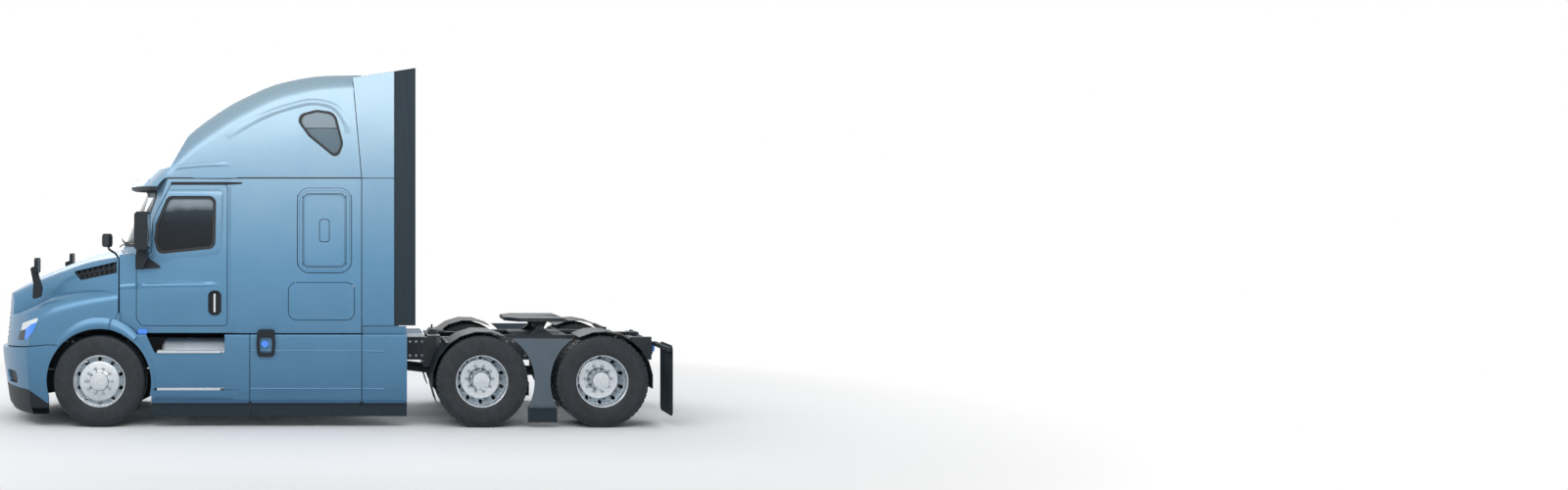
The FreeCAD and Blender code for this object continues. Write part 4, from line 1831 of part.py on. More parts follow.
def mud_flaps():
    x1 = TAIL_X
    x0 = x1 - FLAP_THICKNESS
    middle = -(FENDER_OUTER_Y + FENDER_INNER_Y) / 2
    half = FLAP_HALF_WIDTH
    outline = [(middle - half, FLAP_BOTTOM_Z), (middle + half, FLAP_BOTTOM_Z), (middle + half, FLAP_TOP_Z), (middle - half, FLAP_TOP_Z)]
    flap = cross_plate(outline, x0, x1, FLAP_CORNER)
    bar_x = TAIL_LAMP_PLATE_X + TAIL_LAMP_PLATE + SEAT_GAP
    z = FLAP_TOP_Z - 2 * FLAP_HANGER_RADIUS
    reach = FLAP_HANGER_RADIUS
    bar = block(bar_x, x0 + FLAP_THICKNESS / 2, middle - half, -FRAME_HALF_WIDTH + OVERRUN, z - reach, z + reach)
    return both_sides([fuse_all([flap, bar])])


# Seats and dashboard inside the cab

def seats():
    x0, y = SEAT_FRONT_X, -SEAT_CENTRE_Y
    floor = CAB_FLOOR_Z + CAB_WALL
    top = floor + SEAT_BASE_HEIGHT + SEAT_CUSHION_HEIGHT
    half = SEAT_WIDTH / 2
    base = block(x0 + SEAT_DEPTH / 5, x0 + SEAT_DEPTH * 0.8, y - half / 2, y + half / 2, floor, floor + SEAT_BASE_HEIGHT)
    cushion = cross_plate(
        [(y - half, floor + SEAT_BASE_HEIGHT), (y + half, floor + SEAT_BASE_HEIGHT), (y + half, top), (y - half, top)],
        x0, x0 + SEAT_DEPTH, SEAT_CORNER)
    back_x = x0 + SEAT_DEPTH - SEAT_BACK_THICKNESS - SEAT_CORNER / 3
    behind_x = back_x + SEAT_BACK_THICKNESS
    narrow = half - SEAT_CORNER / 2
    back = plan_plate(
        [(back_x, y - narrow), (behind_x, y - narrow), (behind_x, y + narrow), (back_x, y + narrow)],
        top - SEAT_CORNER / 2, top + SEAT_BACK_HEIGHT, SEAT_CORNER)
    return both_sides([fuse_all([base, cushion, back])])


def dashboard():
    x0 = COWL_X + COWL_BOW + CAB_WALL
    x1 = x0 + DASH_DEPTH
    z1 = CAB_BELT_Z - CAB_WALL
    z0 = z1 - DASH_HEIGHT
    outline = [(x0, z0), (x1 - DASH_DEPTH / 3, z0), (x1, z0 + DASH_HEIGHT / 3), (x1 - DASH_DEPTH / 6, z1), (x0, z1)]
    body = side_plate(outline, -DASH_HALF_WIDTH, DASH_HALF_WIDTH)
    y = -SEAT_CENTRE_Y
    start = Vector(x1 - DASH_DEPTH / 3, y, z0 + DASH_HEIGHT / 3)
    lift = math.radians(STEERING_TILT_ANGLE)
    tilt = Vector(math.cos(lift), 0, math.sin(lift))
    hub = start + tilt * STEERING_COLUMN_LENGTH
    column = facet_rod(STEERING_COLUMN_RADIUS, start, hub, ROD_SIDES)
    top, under = hub + tilt * STEERING_RIM_RADIUS, hub - tilt * STEERING_RIM_RADIUS
    inside = STEERING_WHEEL_RADIUS - 2 * STEERING_RIM_RADIUS
    rim = facet_rod(STEERING_WHEEL_RADIUS, under, top, DRUM_SIDES).cut(
        facet_rod(inside, under - tilt * OVERRUN, top + tilt * OVERRUN, DRUM_SIDES))
    shapes = [body, column, rim]
    across = Vector(0, 1, 0)
    for way in (across, across * -1, tilt.cross(across)):
        end = hub + way * (inside + STEERING_RIM_RADIUS)
        shapes.append(facet_rod(STEERING_RIM_RADIUS * 0.8, hub - tilt * STEERING_RIM_RADIUS, end, ROD_SIDES))
    return [fuse_all(shapes)]


# Every piece is written under its own name

def pair(name, shapes):
    write(name + "_left", shapes)
    write(name + "_right", [mirrored(shape) for shape in shapes])


os.makedirs("parts", exist_ok=True)

write("frame_rails", frame_rails())
write("crossmembers", crossmembers())
write("engine_block", engine_block())
write("radiator", radiator())
write("drive_shafts", drive_shafts())
write("front_axle_beam", front_axle_beam())
write("drive_axles", drive_axles())
write("suspension", both_sides(suspension_side()))
write("fuel_tanks", both_sides([fuel_tank()]))
write("bumper", bumper())
write("lower_skirts", lower_valance() + side_skirts() + axle_skirts())
write("side_fairings", both_sides(side_fairing()))
write("step_treads", step_treads())
write("filler_housing", filler_housing())
write("hose_stand", hose_stand())
write("fifth_wheel_base", fifth_wheel_base())
write("fifth_wheel_plate", fifth_wheel_plate())
write("drive_fenders", drive_fenders())
write("axle_fairings", axle_fairings())
write("mud_flaps", mud_flaps())
write("marker_lamps", marker_lamps())
write("cab_shell", cab_shell())
write("roof_fairing", roof_fairing())
write("cab_glass", cab_glass())
write("sun_visor", sun_visor())
write("side_extenders", side_extenders())
write("extender_edges", extender_edges())
write("seats", seats())
write("dashboard", dashboard())
write("hood_shell", hood_shell())
write("grille", grille())
write("hood_vents", hood_vents())
write("headlights", headlights())
write("hood_mirrors", hood_mirrors())
pair("cab_door", cab_door(-1))
pair("door_glass", door_glass(-1))
pair("door_fittings", door_fittings(-1))
pair("luggage_door", luggage_door(-1))
pair("knuckle", [knuckle()])
write("tie_rod", [tie_rod()])
pair("steer_tyre", [tyre(FRONT_AXLE_X, -FRONT_TRACK_HALF)])
pair("steer_rim", [steer_rim()])
for place, axle_x in zip(("front", "rear"), DRIVE_AXLES_X):
    outer_y = -DUAL_OUTER_HALF
    twins = [tyre(axle_x, outer_y), tyre(axle_x, outer_y + DUAL_SPACING)]
    pair("drive_tyres_" + place, twins)
    pair("drive_rims_" + place, [drive_rims(axle_x)])
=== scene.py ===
import json
import math

import bmesh
import bpy
from mathutils import Matrix, Vector
from mathutils.bvhtree import BVHTree


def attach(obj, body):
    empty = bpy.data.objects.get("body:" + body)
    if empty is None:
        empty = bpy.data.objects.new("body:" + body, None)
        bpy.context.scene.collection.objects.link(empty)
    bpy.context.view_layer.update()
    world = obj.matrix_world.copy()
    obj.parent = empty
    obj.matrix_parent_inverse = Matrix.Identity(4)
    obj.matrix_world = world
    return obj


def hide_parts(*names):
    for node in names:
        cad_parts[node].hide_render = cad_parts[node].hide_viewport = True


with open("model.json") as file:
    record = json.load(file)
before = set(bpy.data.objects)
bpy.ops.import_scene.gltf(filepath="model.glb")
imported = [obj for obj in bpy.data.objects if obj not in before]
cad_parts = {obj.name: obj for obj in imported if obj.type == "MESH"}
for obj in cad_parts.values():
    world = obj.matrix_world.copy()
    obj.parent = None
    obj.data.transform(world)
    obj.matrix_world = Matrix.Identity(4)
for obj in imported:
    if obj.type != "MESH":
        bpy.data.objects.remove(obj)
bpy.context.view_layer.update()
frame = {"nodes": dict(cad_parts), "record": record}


# Studio
# A plain pale floor that fades into a white surround. Long soft lamps hang a little above the roof along
# both sides, wide ones overhead, ahead and behind. The camera stands level with the door glass.

CAMERA_PLACE = (0.175, -17.24, 2.294)
CAMERA_LENS = 33.6
CAMERA_SHIFT = (0.281, -0.017)
FLOOR_HALF = 160.0
FLOOR_FADE = (4.6, 8.5)
FLOOR_COLOUR = "#f1f3f5"
SURROUND_COLOUR, SURROUND_LIGHT = "#ffffff", 0.4
MIRRORED_LAMPS = ("viewer_side", "far_side")
SOFT_LIGHTS = [
    ("overhead", (-0.3, 0.0, 10.0), (0.0, 0.0, 1.5), 12.0, 7.0, 100.0),
    ("viewer_side", (-1.0, -5.4, 4.5), (-0.9, -1.1, 2.9), 11.0, 2.0, 265.0),
    ("far_side", (-1.0, 5.4, 4.5), (-0.9, 1.1, 2.9), 11.0, 2.0, 265.0),
    ("ahead", (-8.5, 0.0, 3.6), (-2.5, 0.0, 1.6), 7.0, 4.0, 130.0),
    ("behind", (9.5, 0.0, 5.0), (2.0, 0.0, 1.4), 7.0, 4.0, 170.0),
]


def linear(code):
    parts = [int(code[i:i + 2], 16) / 255 for i in (1, 3, 5)]
    return [c / 12.92 if c <= 0.04045 else ((c + 0.055) / 1.055) ** 2.4 for c in parts] + [1.0]


def add(tree, kind, links={}, stops=(), feeds=(), **settings):
    made = tree.nodes.new(kind)
    for name, value in settings.items():
        setattr(made, name, value)
    for key, value in links.items():
        if isinstance(value, bpy.types.NodeSocket):
            tree.links.new(value, made.inputs[key])
        else:
            made.inputs[key].default_value = value
    for share, code in stops[1:-1]:
        made.color_ramp.elements.new(share)
    for number, (share, code) in enumerate(stops):
        made.color_ramp.elements[number].position = share
        made.color_ramp.elements[number].color = linear(code)
    for socket in feeds:
        tree.links.new(made.outputs[0], socket)
    return made


def surface(name, **values):
    made = bpy.data.materials.new(name)
    made.use_nodes = True
    shader = made.node_tree.nodes["Principled BSDF"]
    for key, value in values.items():
        shader.inputs[key.replace("_", " ")].default_value = value
    where = add(made.node_tree, "ShaderNodeTexCoord").outputs["Object"]
    return made, made.node_tree, shader, where


def place(name, mesh):
    made = bpy.data.objects.new(name, mesh)
    bpy.context.scene.collection.objects.link(made)
    return made


scene = bpy.context.scene
scene.view_settings.view_transform = "Standard"
camera_data = bpy.data.cameras.new("camera")
camera_data.lens = CAMERA_LENS
camera_data.shift_x, camera_data.shift_y = CAMERA_SHIFT
camera = bpy.data.objects.new("camera", camera_data)
camera.location = CAMERA_PLACE
camera.rotation_euler = (math.pi / 2, 0, 0)
scene.collection.objects.link(camera)
scene.camera = camera

world = bpy.data.worlds.new("pale_surround")
scene.world = world
world.use_nodes = True
tree = world.node_tree
lamp_rays = add(tree, "ShaderNodeLightPath")
seen = add(tree, "ShaderNodeMath", {0: lamp_rays.outputs["Is Camera Ray"],
                                    1: lamp_rays.outputs["Is Glossy Ray"]},
           operation="MAXIMUM")
seen = add(tree, "ShaderNodeMath", {0: seen.outputs[0], 1: lamp_rays.outputs["Is Transmission Ray"]},
           operation="MAXIMUM")
strength = add(tree, "ShaderNodeMapRange", {"Value": seen.outputs[0], "To Min": SURROUND_LIGHT,
                                            "To Max": 1.0})
background = tree.nodes["Background"]
background.inputs["Color"].default_value = linear(SURROUND_COLOUR)
tree.links.new(strength.outputs[0], background.inputs["Strength"])

floor_mesh = bpy.data.meshes.new("floor")
floor_corners = [(x * FLOOR_HALF, y * FLOOR_HALF, 0) for x, y in ((-1, -1), (1, -1), (1, 1), (-1, 1))]
floor_mesh.from_pydata(floor_corners, [], [(0, 1, 2, 3)])
floor = place("floor", floor_mesh)
floor_paper, tree, shader, where = surface("pale_paper_floor", Roughness=0.9)
shader.inputs["Base Color"].default_value = linear(FLOOR_COLOUR)
shader.inputs["Specular IOR Level"].default_value = 0.1
reach = add(tree, "ShaderNodeVectorMath", {0: where}, operation="LENGTH")
fade = add(tree, "ShaderNodeMapRange", {
    "Value": reach.outputs["Value"], "From Min": FLOOR_FADE[0], "From Max": FLOOR_FADE[1]})
glow = add(tree, "ShaderNodeEmission", {"Color": linear(SURROUND_COLOUR), "Strength": 1.0})
blend = add(tree, "ShaderNodeMixShader", {
    0: fade.outputs[0], 1: shader.outputs[0], 2: glow.outputs[0]})
tree.links.new(blend.outputs[0], tree.nodes["Material Output"].inputs["Surface"])
floor_mesh.materials.append(floor_paper)

for name, spot, target, width, depth, power in SOFT_LIGHTS:
    light = bpy.data.lights.new(name, "AREA")
    light.shape = "RECTANGLE"
    light.size, light.size_y = width, depth
    light.energy = power
    lamp = bpy.data.objects.new(name, light)
    lamp.location = spot
    lamp.visible_camera = False
    lamp.visible_glossy = name in MIRRORED_LAMPS
    lamp.rotation_euler = (Vector(target) - Vector(spot)).to_track_quat("-Z", "Y").to_euler()
    scene.collection.objects.link(lamp)


# Frame, axles and drive line
# Pressed steel rails with bolted crossmembers, forged axle beam, cast axle housings and leaf and air
# springs. The steel is sprayed satin black, the castings are left with their sand-cast skin.

MM = 0.001
bodies = {node: body for body, nodes in frame["record"]["behaviour"]["bodies"].items() for node in nodes}

# Chassis paint: satin black sprayed over steel, dusty and slightly mottled
chassis_paint, tree, shader, where = surface("satin_black_chassis_paint", Roughness=0.42)
dust = add(tree, "ShaderNodeTexNoise", {"Vector": where, "Scale": 9.0, "Detail": 8.0})
add(tree, "ShaderNodeValToRGB", {"Fac": dust.outputs["Fac"]},
    stops=[(0, "#1c2227"), (1, "#343d44")],
    feeds=[shader.inputs["Base Color"]])
grit = add(tree, "ShaderNodeTexNoise", {"Vector": where, "Scale": 400.0})
add(tree, "ShaderNodeBump", {"Height": grit.outputs["Fac"], "Strength": 0.25, "Distance": 0.0006},
    feeds=[shader.inputs["Normal"]])

# Cast iron and forgings: rough sand-cast skin under thin paint, grain about 2 mm
cast_iron, tree, shader, where = surface("painted_cast_iron", Roughness=0.58, Metallic=0.35)
sand = add(tree, "ShaderNodeTexNoise", {"Vector": where, "Scale": 450.0, "Detail": 6.0})
stain = add(tree, "ShaderNodeTexNoise", {"Vector": where, "Scale": 14.0, "Detail": 6.0})
add(tree, "ShaderNodeValToRGB", {"Fac": stain.outputs["Fac"]},
    stops=[(0, "#23292e"), (1, "#454e55")],
    feeds=[shader.inputs["Base Color"]])
add(tree, "ShaderNodeBump", {"Height": sand.outputs["Fac"], "Strength": 0.5, "Distance": 0.001},
    feeds=[shader.inputs["Normal"]])


def smoothed(mesh, angle=35):
    mesh.shade_smooth()
    mesh.set_sharp_from_angle(angle=math.radians(angle))


def as_mesh(bm, name):
    mesh = bpy.data.meshes.new(name)
    bm.to_mesh(mesh)
    bm.free()
    return mesh


def clean_copy(node):
    bm = bmesh.new()
    bm.from_mesh(frame["nodes"][node].data)
    bmesh.ops.remove_doubles(bm, verts=bm.verts, dist=0.02 * MM)
    bmesh.ops.dissolve_limit(bm, angle_limit=math.radians(0.5), verts=bm.verts, edges=bm.edges)
    return as_mesh(bm, node)


def mount(piece, material, body, replaced):
    piece.data.materials.clear()
    piece.data.materials.append(material)
    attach(piece, body)
    if replaced:
        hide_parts(*replaced)
    return piece


def edged(piece, width, limit):
    bevel = piece.modifiers.new("edge", "BEVEL")
    bevel.width = width * MM
    bevel.segments = 2
    bevel.limit_method = "ANGLE"
    bevel.angle_limit = math.radians(limit)
    bevel.harden_normals = True


def dressed(node, material, edge, angle=35):
    piece = place(node + "_piece", clean_copy(node))
    smoothed(piece.data, angle)
    edged(piece, edge, 40)
    return mount(piece, material, bodies[node], [node])


for node, edge in (("frame_rails", 2), ("crossmembers", 2), ("drive_shafts", 4), ("tie_rod", 2),
                   ("hose_stand", 4)):
    dressed(node, chassis_paint, edge)
for node, edge in (("engine_block", 14), ("front_axle_beam", 6), ("drive_axles", 5), ("suspension", 4),
                   ("knuckle_left", 3), ("knuckle_right", 3), ("fifth_wheel_base", 3)):
    dressed(node, cast_iron, edge)


# Bolt heads on the rails
# Flanged hexagon bolts, zinc coated, in two rows where brackets and crossmembers are fastened.

RAIL_HALF, BOLT_ROWS, BOLT_PITCH = 430, (720, 880), 70
RAIL_BOLTS = [(-3000, 12), (-900, 10), (520, 14), (2050, 16)]

# Zinc: dull bright plating, finely mottled
zinc, tree, shader, where = surface("zinc_plated_steel", Roughness=0.38, Metallic=1.0)
spangle = add(tree, "ShaderNodeTexNoise", {"Vector": where, "Scale": 160.0, "Detail": 3.0})
add(tree, "ShaderNodeValToRGB", {"Fac": spangle.outputs["Fac"]},
    stops=[(0, "#8b949b"), (1, "#b4bcc2")],
    feeds=[shader.inputs["Base Color"]])


def node_group(name, **inputs):
    tree = bpy.data.node_groups.new(name, "GeometryNodeTree")
    tree.interface.new_socket("Geometry", in_out="OUTPUT", socket_type="NodeSocketGeometry")
    for label, kind in inputs.items():
        tree.interface.new_socket(label, in_out="INPUT", socket_type="NodeSocket" + kind)
    return tree, add(tree, "NodeGroupInput").outputs


def scatter_tree(name, make_shape, material):
    tree, entry = node_group(name, Places="Geometry", Radius="Float", Depth="Float")
    shape = make_shape(tree, entry["Radius"], entry["Depth"])
    facing = add(tree, "GeometryNodeInputNamedAttribute", {"Name": "facing"}, data_type="FLOAT_VECTOR")
    turned = add(tree, "FunctionNodeAlignRotationToVector", {"Vector": facing.outputs[0]}, axis="Z")
    spread = add(tree, "GeometryNodeInstanceOnPoints", {
        "Points": entry["Places"], "Instance": shape, "Rotation": turned.outputs[0]})
    real = add(tree, "GeometryNodeRealizeInstances", {"Geometry": spread.outputs[0]})
    coated = add(tree, "GeometryNodeSetMaterial", {"Geometry": real.outputs[0], "Material": material})
    add(tree, "NodeGroupOutput", {"Geometry": coated.outputs[0]})
    return tree


def hexagon(tree, radius, depth):
    head = add(tree, "GeometryNodeMeshCylinder", {"Vertices": 6, "Radius": radius, "Depth": depth})
    return head.outputs["Mesh"]


def settled(piece):
    made = bpy.data.meshes.new_from_object(piece.evaluated_get(bpy.context.evaluated_depsgraph_get()))
    piece.modifiers.clear()
    piece.data = made
    return piece


def grown(piece, tree, **sizes):
    repeat = piece.modifiers.new("repeat", "NODES")
    repeat.node_group = tree
    for item in tree.interface.items_tree:
        if item.item_type == "SOCKET" and item.in_out == "INPUT" and item.name in sizes:
            repeat[item.identifier] = sizes[item.name]
    return settled(piece)


def scattered(name, tree, places, radius, depth, material, body):
    mesh = bpy.data.meshes.new(name + "_places")
    mesh.from_pydata([Vector(spot) * MM for spot, facing in places], [], [])
    directions = mesh.attributes.new("facing", "FLOAT_VECTOR", "POINT")
    for item, (spot, facing) in zip(directions.data, places):
        item.vector = facing
    piece = grown(place(name, mesh), tree, Radius=radius * MM, Depth=depth * MM)
    smoothed(piece.data, 30)
    return mount(piece, material, body, ())


bolt_tree = scatter_tree("hexagon_bolts", hexagon, zinc)
places = [((x + BOLT_PITCH * i, side * RAIL_HALF, z), (0, side, 0))
          for x, count in RAIL_BOLTS for i in range(count) for z in BOLT_ROWS for side in (-1, 1)]
scattered("rail_bolts", bolt_tree, places, 15.0, 18.0, zinc, "chassis")


# Body forms
# Pressed aluminium and moulded sheet panels take one flowing outer form each: a nose curve shared by
# hood and bumper, a crested hood, an upright cab with a curved screen and a swept roof. Panels are cut
# from those forms along the real seams.

FRONT_X, REAR_X = -3785.0, 370.0
AXLE_X, AXLE_Z = -2505.0, 505.0
ARCH_RADIUS = 578.0
GAP = 7.0
BEYOND = 60.0
WIDE = 2400.0
NOSE_RADIUS = 1727.0
HOOD_NOSE_X, HOOD_REAR_X = -3740.0, -2300.0
HOOD_BASE_Z, HOOD_TOP_Z, HOOD_NOSE_TOP_Z = 690.0, 1940.0, 1400.0
FENDER_HALVES, FENDER_TOP_Z = (1075.0, 1203.0), 1590.0
CREST_HALVES = (640.0, 1150.0)
HOOD_WALL = 22.0
FENDER_SHARES = [
    (0.0, 0.0, 0.53, 0.24), (0.32, 0.72, 0.76, 0.2), (0.52, 0.98, 0.9, 0.18), (0.76, 1.0, 0.97, 0.15),
    (1.0, 0.8, 1.0, 0.12)]
CREST_SHARES = [
    (0.0, 0.0, 0.0, 0.26), (0.13, 0.14, 0.2, 0.27), (0.43, 0.38, 0.58, 0.25), (0.78, 0.8, 0.9, 0.17),
    (1.0, 1.0, 1.0, 0.11)]


def smooth_share(table, column, along):
    slopes = [(b[column] - a[column]) / (b[0] - a[0]) for a, b in zip(table, table[1:])]
    leans = [slopes[0]]
    for before, after in zip(slopes, slopes[1:]):
        leans.append(2 * before * after / (before + after) if before * after > 0 else 0)
    leans.append(slopes[-1])
    k = sum(1 for row in table[1:-1] if row[0] <= along)
    first, second = table[k], table[k + 1]
    step = second[0] - first[0]
    t = (along - first[0]) / step
    ease = t * t * (3 - 2 * t)
    bend = t * (1 - t) * ((1 - t) * leans[k] - t * leans[k + 1]) * step
    return first[column] + (second[column] - first[column]) * ease + bend


def arc(start, middle, end, chords):
    a, b, c = (Vector(point) for point in (start, middle, end))
    ab, ac = b - a, c - a
    normal = ab.cross(ac)
    centre = a + (normal.cross(ab) * ac.length_squared + ac.cross(normal) * ab.length_squared) / (
        2 * normal.length_squared)
    first = (a - centre).normalized()
    up = normal.normalized()
    across = up.cross(first)
    radius = (a - centre).length
    angle = math.atan2((c - centre).dot(across), (c - centre).dot(first)) % (2 * math.pi)
    return [centre + (first * math.cos(angle * i / chords) + across * math.sin(angle * i / chords)) * radius
            for i in range(chords + 1)]


def lofted(rings, closed=False):
    bm = bmesh.new()
    rows = [[bm.verts.new(Vector(point) * MM) for point in ring] for ring in rings]
    following = rows[1:] + rows[:1] if closed else rows[1:]
    for one, two in zip(rows, following):
        for i in range(len(one)):
            bm.faces.new((one[i - 1], one[i], two[i], two[i - 1]))
    if not closed:
        bm.faces.new(rows[0])
        bm.faces.new(rows[-1])
    bmesh.ops.remove_doubles(bm, verts=bm.verts, dist=0.001 * MM)
    bmesh.ops.recalc_face_normals(bm, faces=bm.faces)
    return place("form", as_mesh(bm, "form"))


def rounded(points, radius, chords=8):
    ring = []
    for before, corner, after in zip(points[-1:] + points[:-1], points, points[1:] + points[:1]):
        before, corner, after = (Vector((a, b, 0)) for a, b in (before, corner, after))
        back, ahead = (before - corner), (after - corner)
        reach = min(back.length, ahead.length) / 2.2
        back.normalize()
        ahead.normalize()
        half = back.angle(ahead) / 2
        trim = min(radius / math.tan(half), reach) if radius > 0 else 0
        if trim <= 0 or half > math.pi / 2.05:
            ring.append((corner.x, corner.y))
            continue
        bow = trim * math.tan(half)
        middle = corner + (back + ahead).normalized() * (bow / math.sin(half) - bow)
        ring += [(p.x, p.y) for p in arc(corner + back * trim, middle, corner + ahead * trim, chords)]
    return ring


def side_prism(points, y0=-WIDE, y1=WIDE, radius=0, chords=8):
    return lofted([[(x, y, z) for x, z in rounded(points, radius, chords)] for y in (y0, y1)])


def front_prism(points, x0, x1, radius=0, chords=8):
    return lofted([[(x, y, z) for y, z in rounded(points, radius, chords)] for x in (x0, x1)])


def plan_prism(points, z0, z1):
    return lofted([[(x, y, z) for x, y in points] for z in (z0, z1)])


def shaped(operation, piece, others):
    for other in others:
        change = piece.modifiers.new("cut", "BOOLEAN")
        change.operation = operation
        change.object = other
        change.solver = "MANIFOLD"
    settled(piece)
    dropped(*others)
    return piece


def dropped(*pieces):
    for piece in pieces:
        bpy.data.objects.remove(piece)


def cut(piece, *others):
    return shaped("DIFFERENCE", piece, others)


def common(piece, *others):
    return shaped("INTERSECT", piece, others)


def joined(piece, *others):
    return shaped("UNION", piece, others)


def copied(piece, mirrored=False):
    mesh = piece.data.copy()
    if mirrored:
        for vertex in mesh.vertices:
            vertex.co.y = -vertex.co.y
        mesh.flip_normals()
    return place("form", mesh)


def moved(piece, x=0, y=0, z=0):
    for vertex in piece.data.vertices:
        vertex.co += Vector((x, y, z)) * MM
    return piece


def finished(piece, name, material, body, nodes, angle=32, edge=0):
    bm = bmesh.new()
    bm.from_mesh(piece.data)
    bmesh.ops.remove_doubles(bm, verts=bm.verts, dist=0.05 * MM)
    bmesh.ops.dissolve_degenerate(bm, edges=bm.edges, dist=0.02 * MM)
    bm.to_mesh(piece.data)
    bm.free()
    smoothed(piece.data, angle)
    piece.name = name
    if edge:
        edged(piece, edge, 50)
    return mount(piece, material, body, nodes)


def finished_pair(left_piece, name, material, body, nodes, angle, edge=0):
    for mirrored, hand in ((False, "_left"), (True, "_right")):
        finished(copied(left_piece, mirrored), name + hand, material, body + hand,
                 [node + hand for node in nodes],
                 angle, edge)
    dropped(left_piece)


def nose_ring(nose_x, z, half_width, rear_x, inset, chords=56):
    radius = NOSE_RADIUS - inset
    centre_x = nose_x + NOSE_RADIUS
    half = half_width - inset
    corner_x = centre_x - math.sqrt(radius ** 2 - half ** 2)
    bow = arc((corner_x, -half, z), (centre_x - radius, 0, z), (corner_x, half, z), chords)
    return bow + [Vector((rear_x, half, z)), Vector((rear_x, -half, z))]


def arch_ring(x, base_z, half_width, height, corner_share, corner_chords=12, crown_chords=24):
    corner = half_width * corner_share
    crown = half_width * 0.055
    side_z = base_z + max(height - crown - corner, height / 5)
    corner_z = base_z + height - crown
    mid_y = half_width - corner * (1 - math.sqrt(0.5))
    mid_z = side_z + (corner_z - side_z) * math.sqrt(0.5)
    inner = half_width - corner
    shoulder = arc((x, half_width, side_z), (x, mid_y, mid_z), (x, inner, corner_z), corner_chords)
    crest = arc((x, inner, corner_z), (x, 0, base_z + height), (x, -inner, corner_z), crown_chords)
    right = [Vector((x, half_width, base_z))] + shoulder
    left = [Vector((x, -point.y, point.z)) for point in reversed(right)]
    return right + crest[1:-1] + left


def circle(x, z, radius, chords, phase=0.0):
    turns = [2 * math.pi * (i + phase) / chords for i in range(chords)]
    return [(x + radius * math.cos(turn), z + radius * math.sin(turn)) for turn in turns]


def oblong(x0, x1, z0, z1):
    return [(x0, z0), (x1, z0), (x1, z1), (x0, z1)]


def arch_rod(radius):
    under = oblong(AXLE_X - radius * 0.96, AXLE_X + radius, 0, AXLE_Z - radius * 0.25)
    return joined(side_prism(circle(AXLE_X, AXLE_Z, radius, 96)), side_prism(under, -WIDE + 1, WIDE - 1))


# Metallic steel-blue paint: aluminium flakes under clear coat, so light slides along the curves. Real
# flakes are 0.05 mm, here a 4 mm fleck; the coat has a faint 11 mm orange peel. Its colour runs from a
# deeper blue at the sills to a greyer one at the roof, which stands in for the fall of the light
paint, tree, shader, where = surface("metallic_steel_blue_paint", Metallic=0.4, Roughness=0.38,
                                     Coat_Weight=0.3,
                                     Coat_Roughness=0.16)
parts = add(tree, "ShaderNodeSeparateXYZ", {0: where})
flake = add(tree, "ShaderNodeTexNoise", {"Vector": where, "Scale": 3.0, "Detail": 6.0})
height = add(tree, "ShaderNodeMapRange", {"Value": parts.outputs["Z"], "From Min": 0.2, "From Max": 3.9})
drift = add(tree, "ShaderNodeMath", {0: flake.outputs["Fac"], 1: 0.16, 2: height.outputs[0]},
            operation="MULTIPLY_ADD")
shade = add(tree, "ShaderNodeValToRGB", {"Fac": drift.outputs[0]},
    stops=[(0, "#396789"), (0.5, "#5485a7"), (1, "#869fae")])
fleck = add(tree, "ShaderNodeTexVoronoi", {"Vector": where, "Scale": 250.0})
glint = add(tree, "ShaderNodeMix", {0: 0.1, 6: shade.outputs[0], 7: fleck.outputs["Color"]},
            data_type="RGBA", blend_type="SOFT_LIGHT")
tree.links.new(glint.outputs[2], shader.inputs["Base Color"])
peel = add(tree, "ShaderNodeTexNoise", {"Vector": where, "Scale": 90.0})
add(tree, "ShaderNodeBump", {"Height": peel.outputs["Fac"], "Strength": 0.04, "Distance": 0.001},
    feeds=[shader.inputs["Normal"]])

# Moulded black-blue plastic: a fine 1.5 mm grain that keeps it dull
black_plastic, tree, shader, where = surface("moulded_black_plastic", Roughness=0.5, Specular_IOR_Level=0.3)
grain = add(tree, "ShaderNodeTexNoise", {"Vector": where, "Scale": 650.0, "Detail": 2.0})
wear = add(tree, "ShaderNodeTexNoise", {"Vector": where, "Scale": 6.0, "Detail": 5.0})
add(tree, "ShaderNodeValToRGB", {"Fac": wear.outputs["Fac"]},
    stops=[(0, "#10171d"), (1, "#18222a")],
    feeds=[shader.inputs["Base Color"]])
add(tree, "ShaderNodeBump", {"Height": grain.outputs["Fac"], "Strength": 0.35, "Distance": 0.0005},
    feeds=[shader.inputs["Normal"]])

# Extruded rubber sheet: dull, bluish dark grey, with faint upright drag marks
rubber_sheet, tree, shader, where = surface("extruded_rubber_sheet", Roughness=0.72, Specular_IOR_Level=0.3)
stretch = add(tree, "ShaderNodeMapping", {"Vector": where, "Scale": (60.0, 60.0, 2.5)})
drag = add(tree, "ShaderNodeTexNoise", {"Vector": stretch.outputs[0], "Scale": 1.0, "Detail": 4.0})
add(tree, "ShaderNodeValToRGB", {"Fac": drag.outputs["Fac"]},
    stops=[(0, "#1a242c"), (1, "#25323b")],
    feeds=[shader.inputs["Base Color"]])
add(tree, "ShaderNodeBump", {"Height": drag.outputs["Fac"], "Strength": 0.2, "Distance": 0.001},
    feeds=[shader.inputs["Normal"]])


# Bumper and lower skirts
# One painted bow bumper wraps the nose under the hood, with an intake and two slots. A black moulded
# valance closes it below, and the skirts hang from the fairings as bent rubber sheet.

BUMPER_BASE_Z, BUMPER_RISE = 142.0, 685.0
BUMPER_HALF, BUMPER_LEAN = 1203.0, 127.0
BUMPER_WALL = 26.0
SLOT_Y, SLOT_Z, INTAKE_Z = 830, 530, 545
BUMPER_DRAFT = [(0.0, 1.0), (0.1, 0.63), (0.2, 0.53), (0.31, 0.45), (0.45, 0.33), (0.6, 0.22), (0.76, 0.1),
                (0.93, 0.0), (1.25, 0.0)]
SEAM_FRONT, SEAM_BACK = (-3785.0, 827.0), (-3083.0, 903.0)


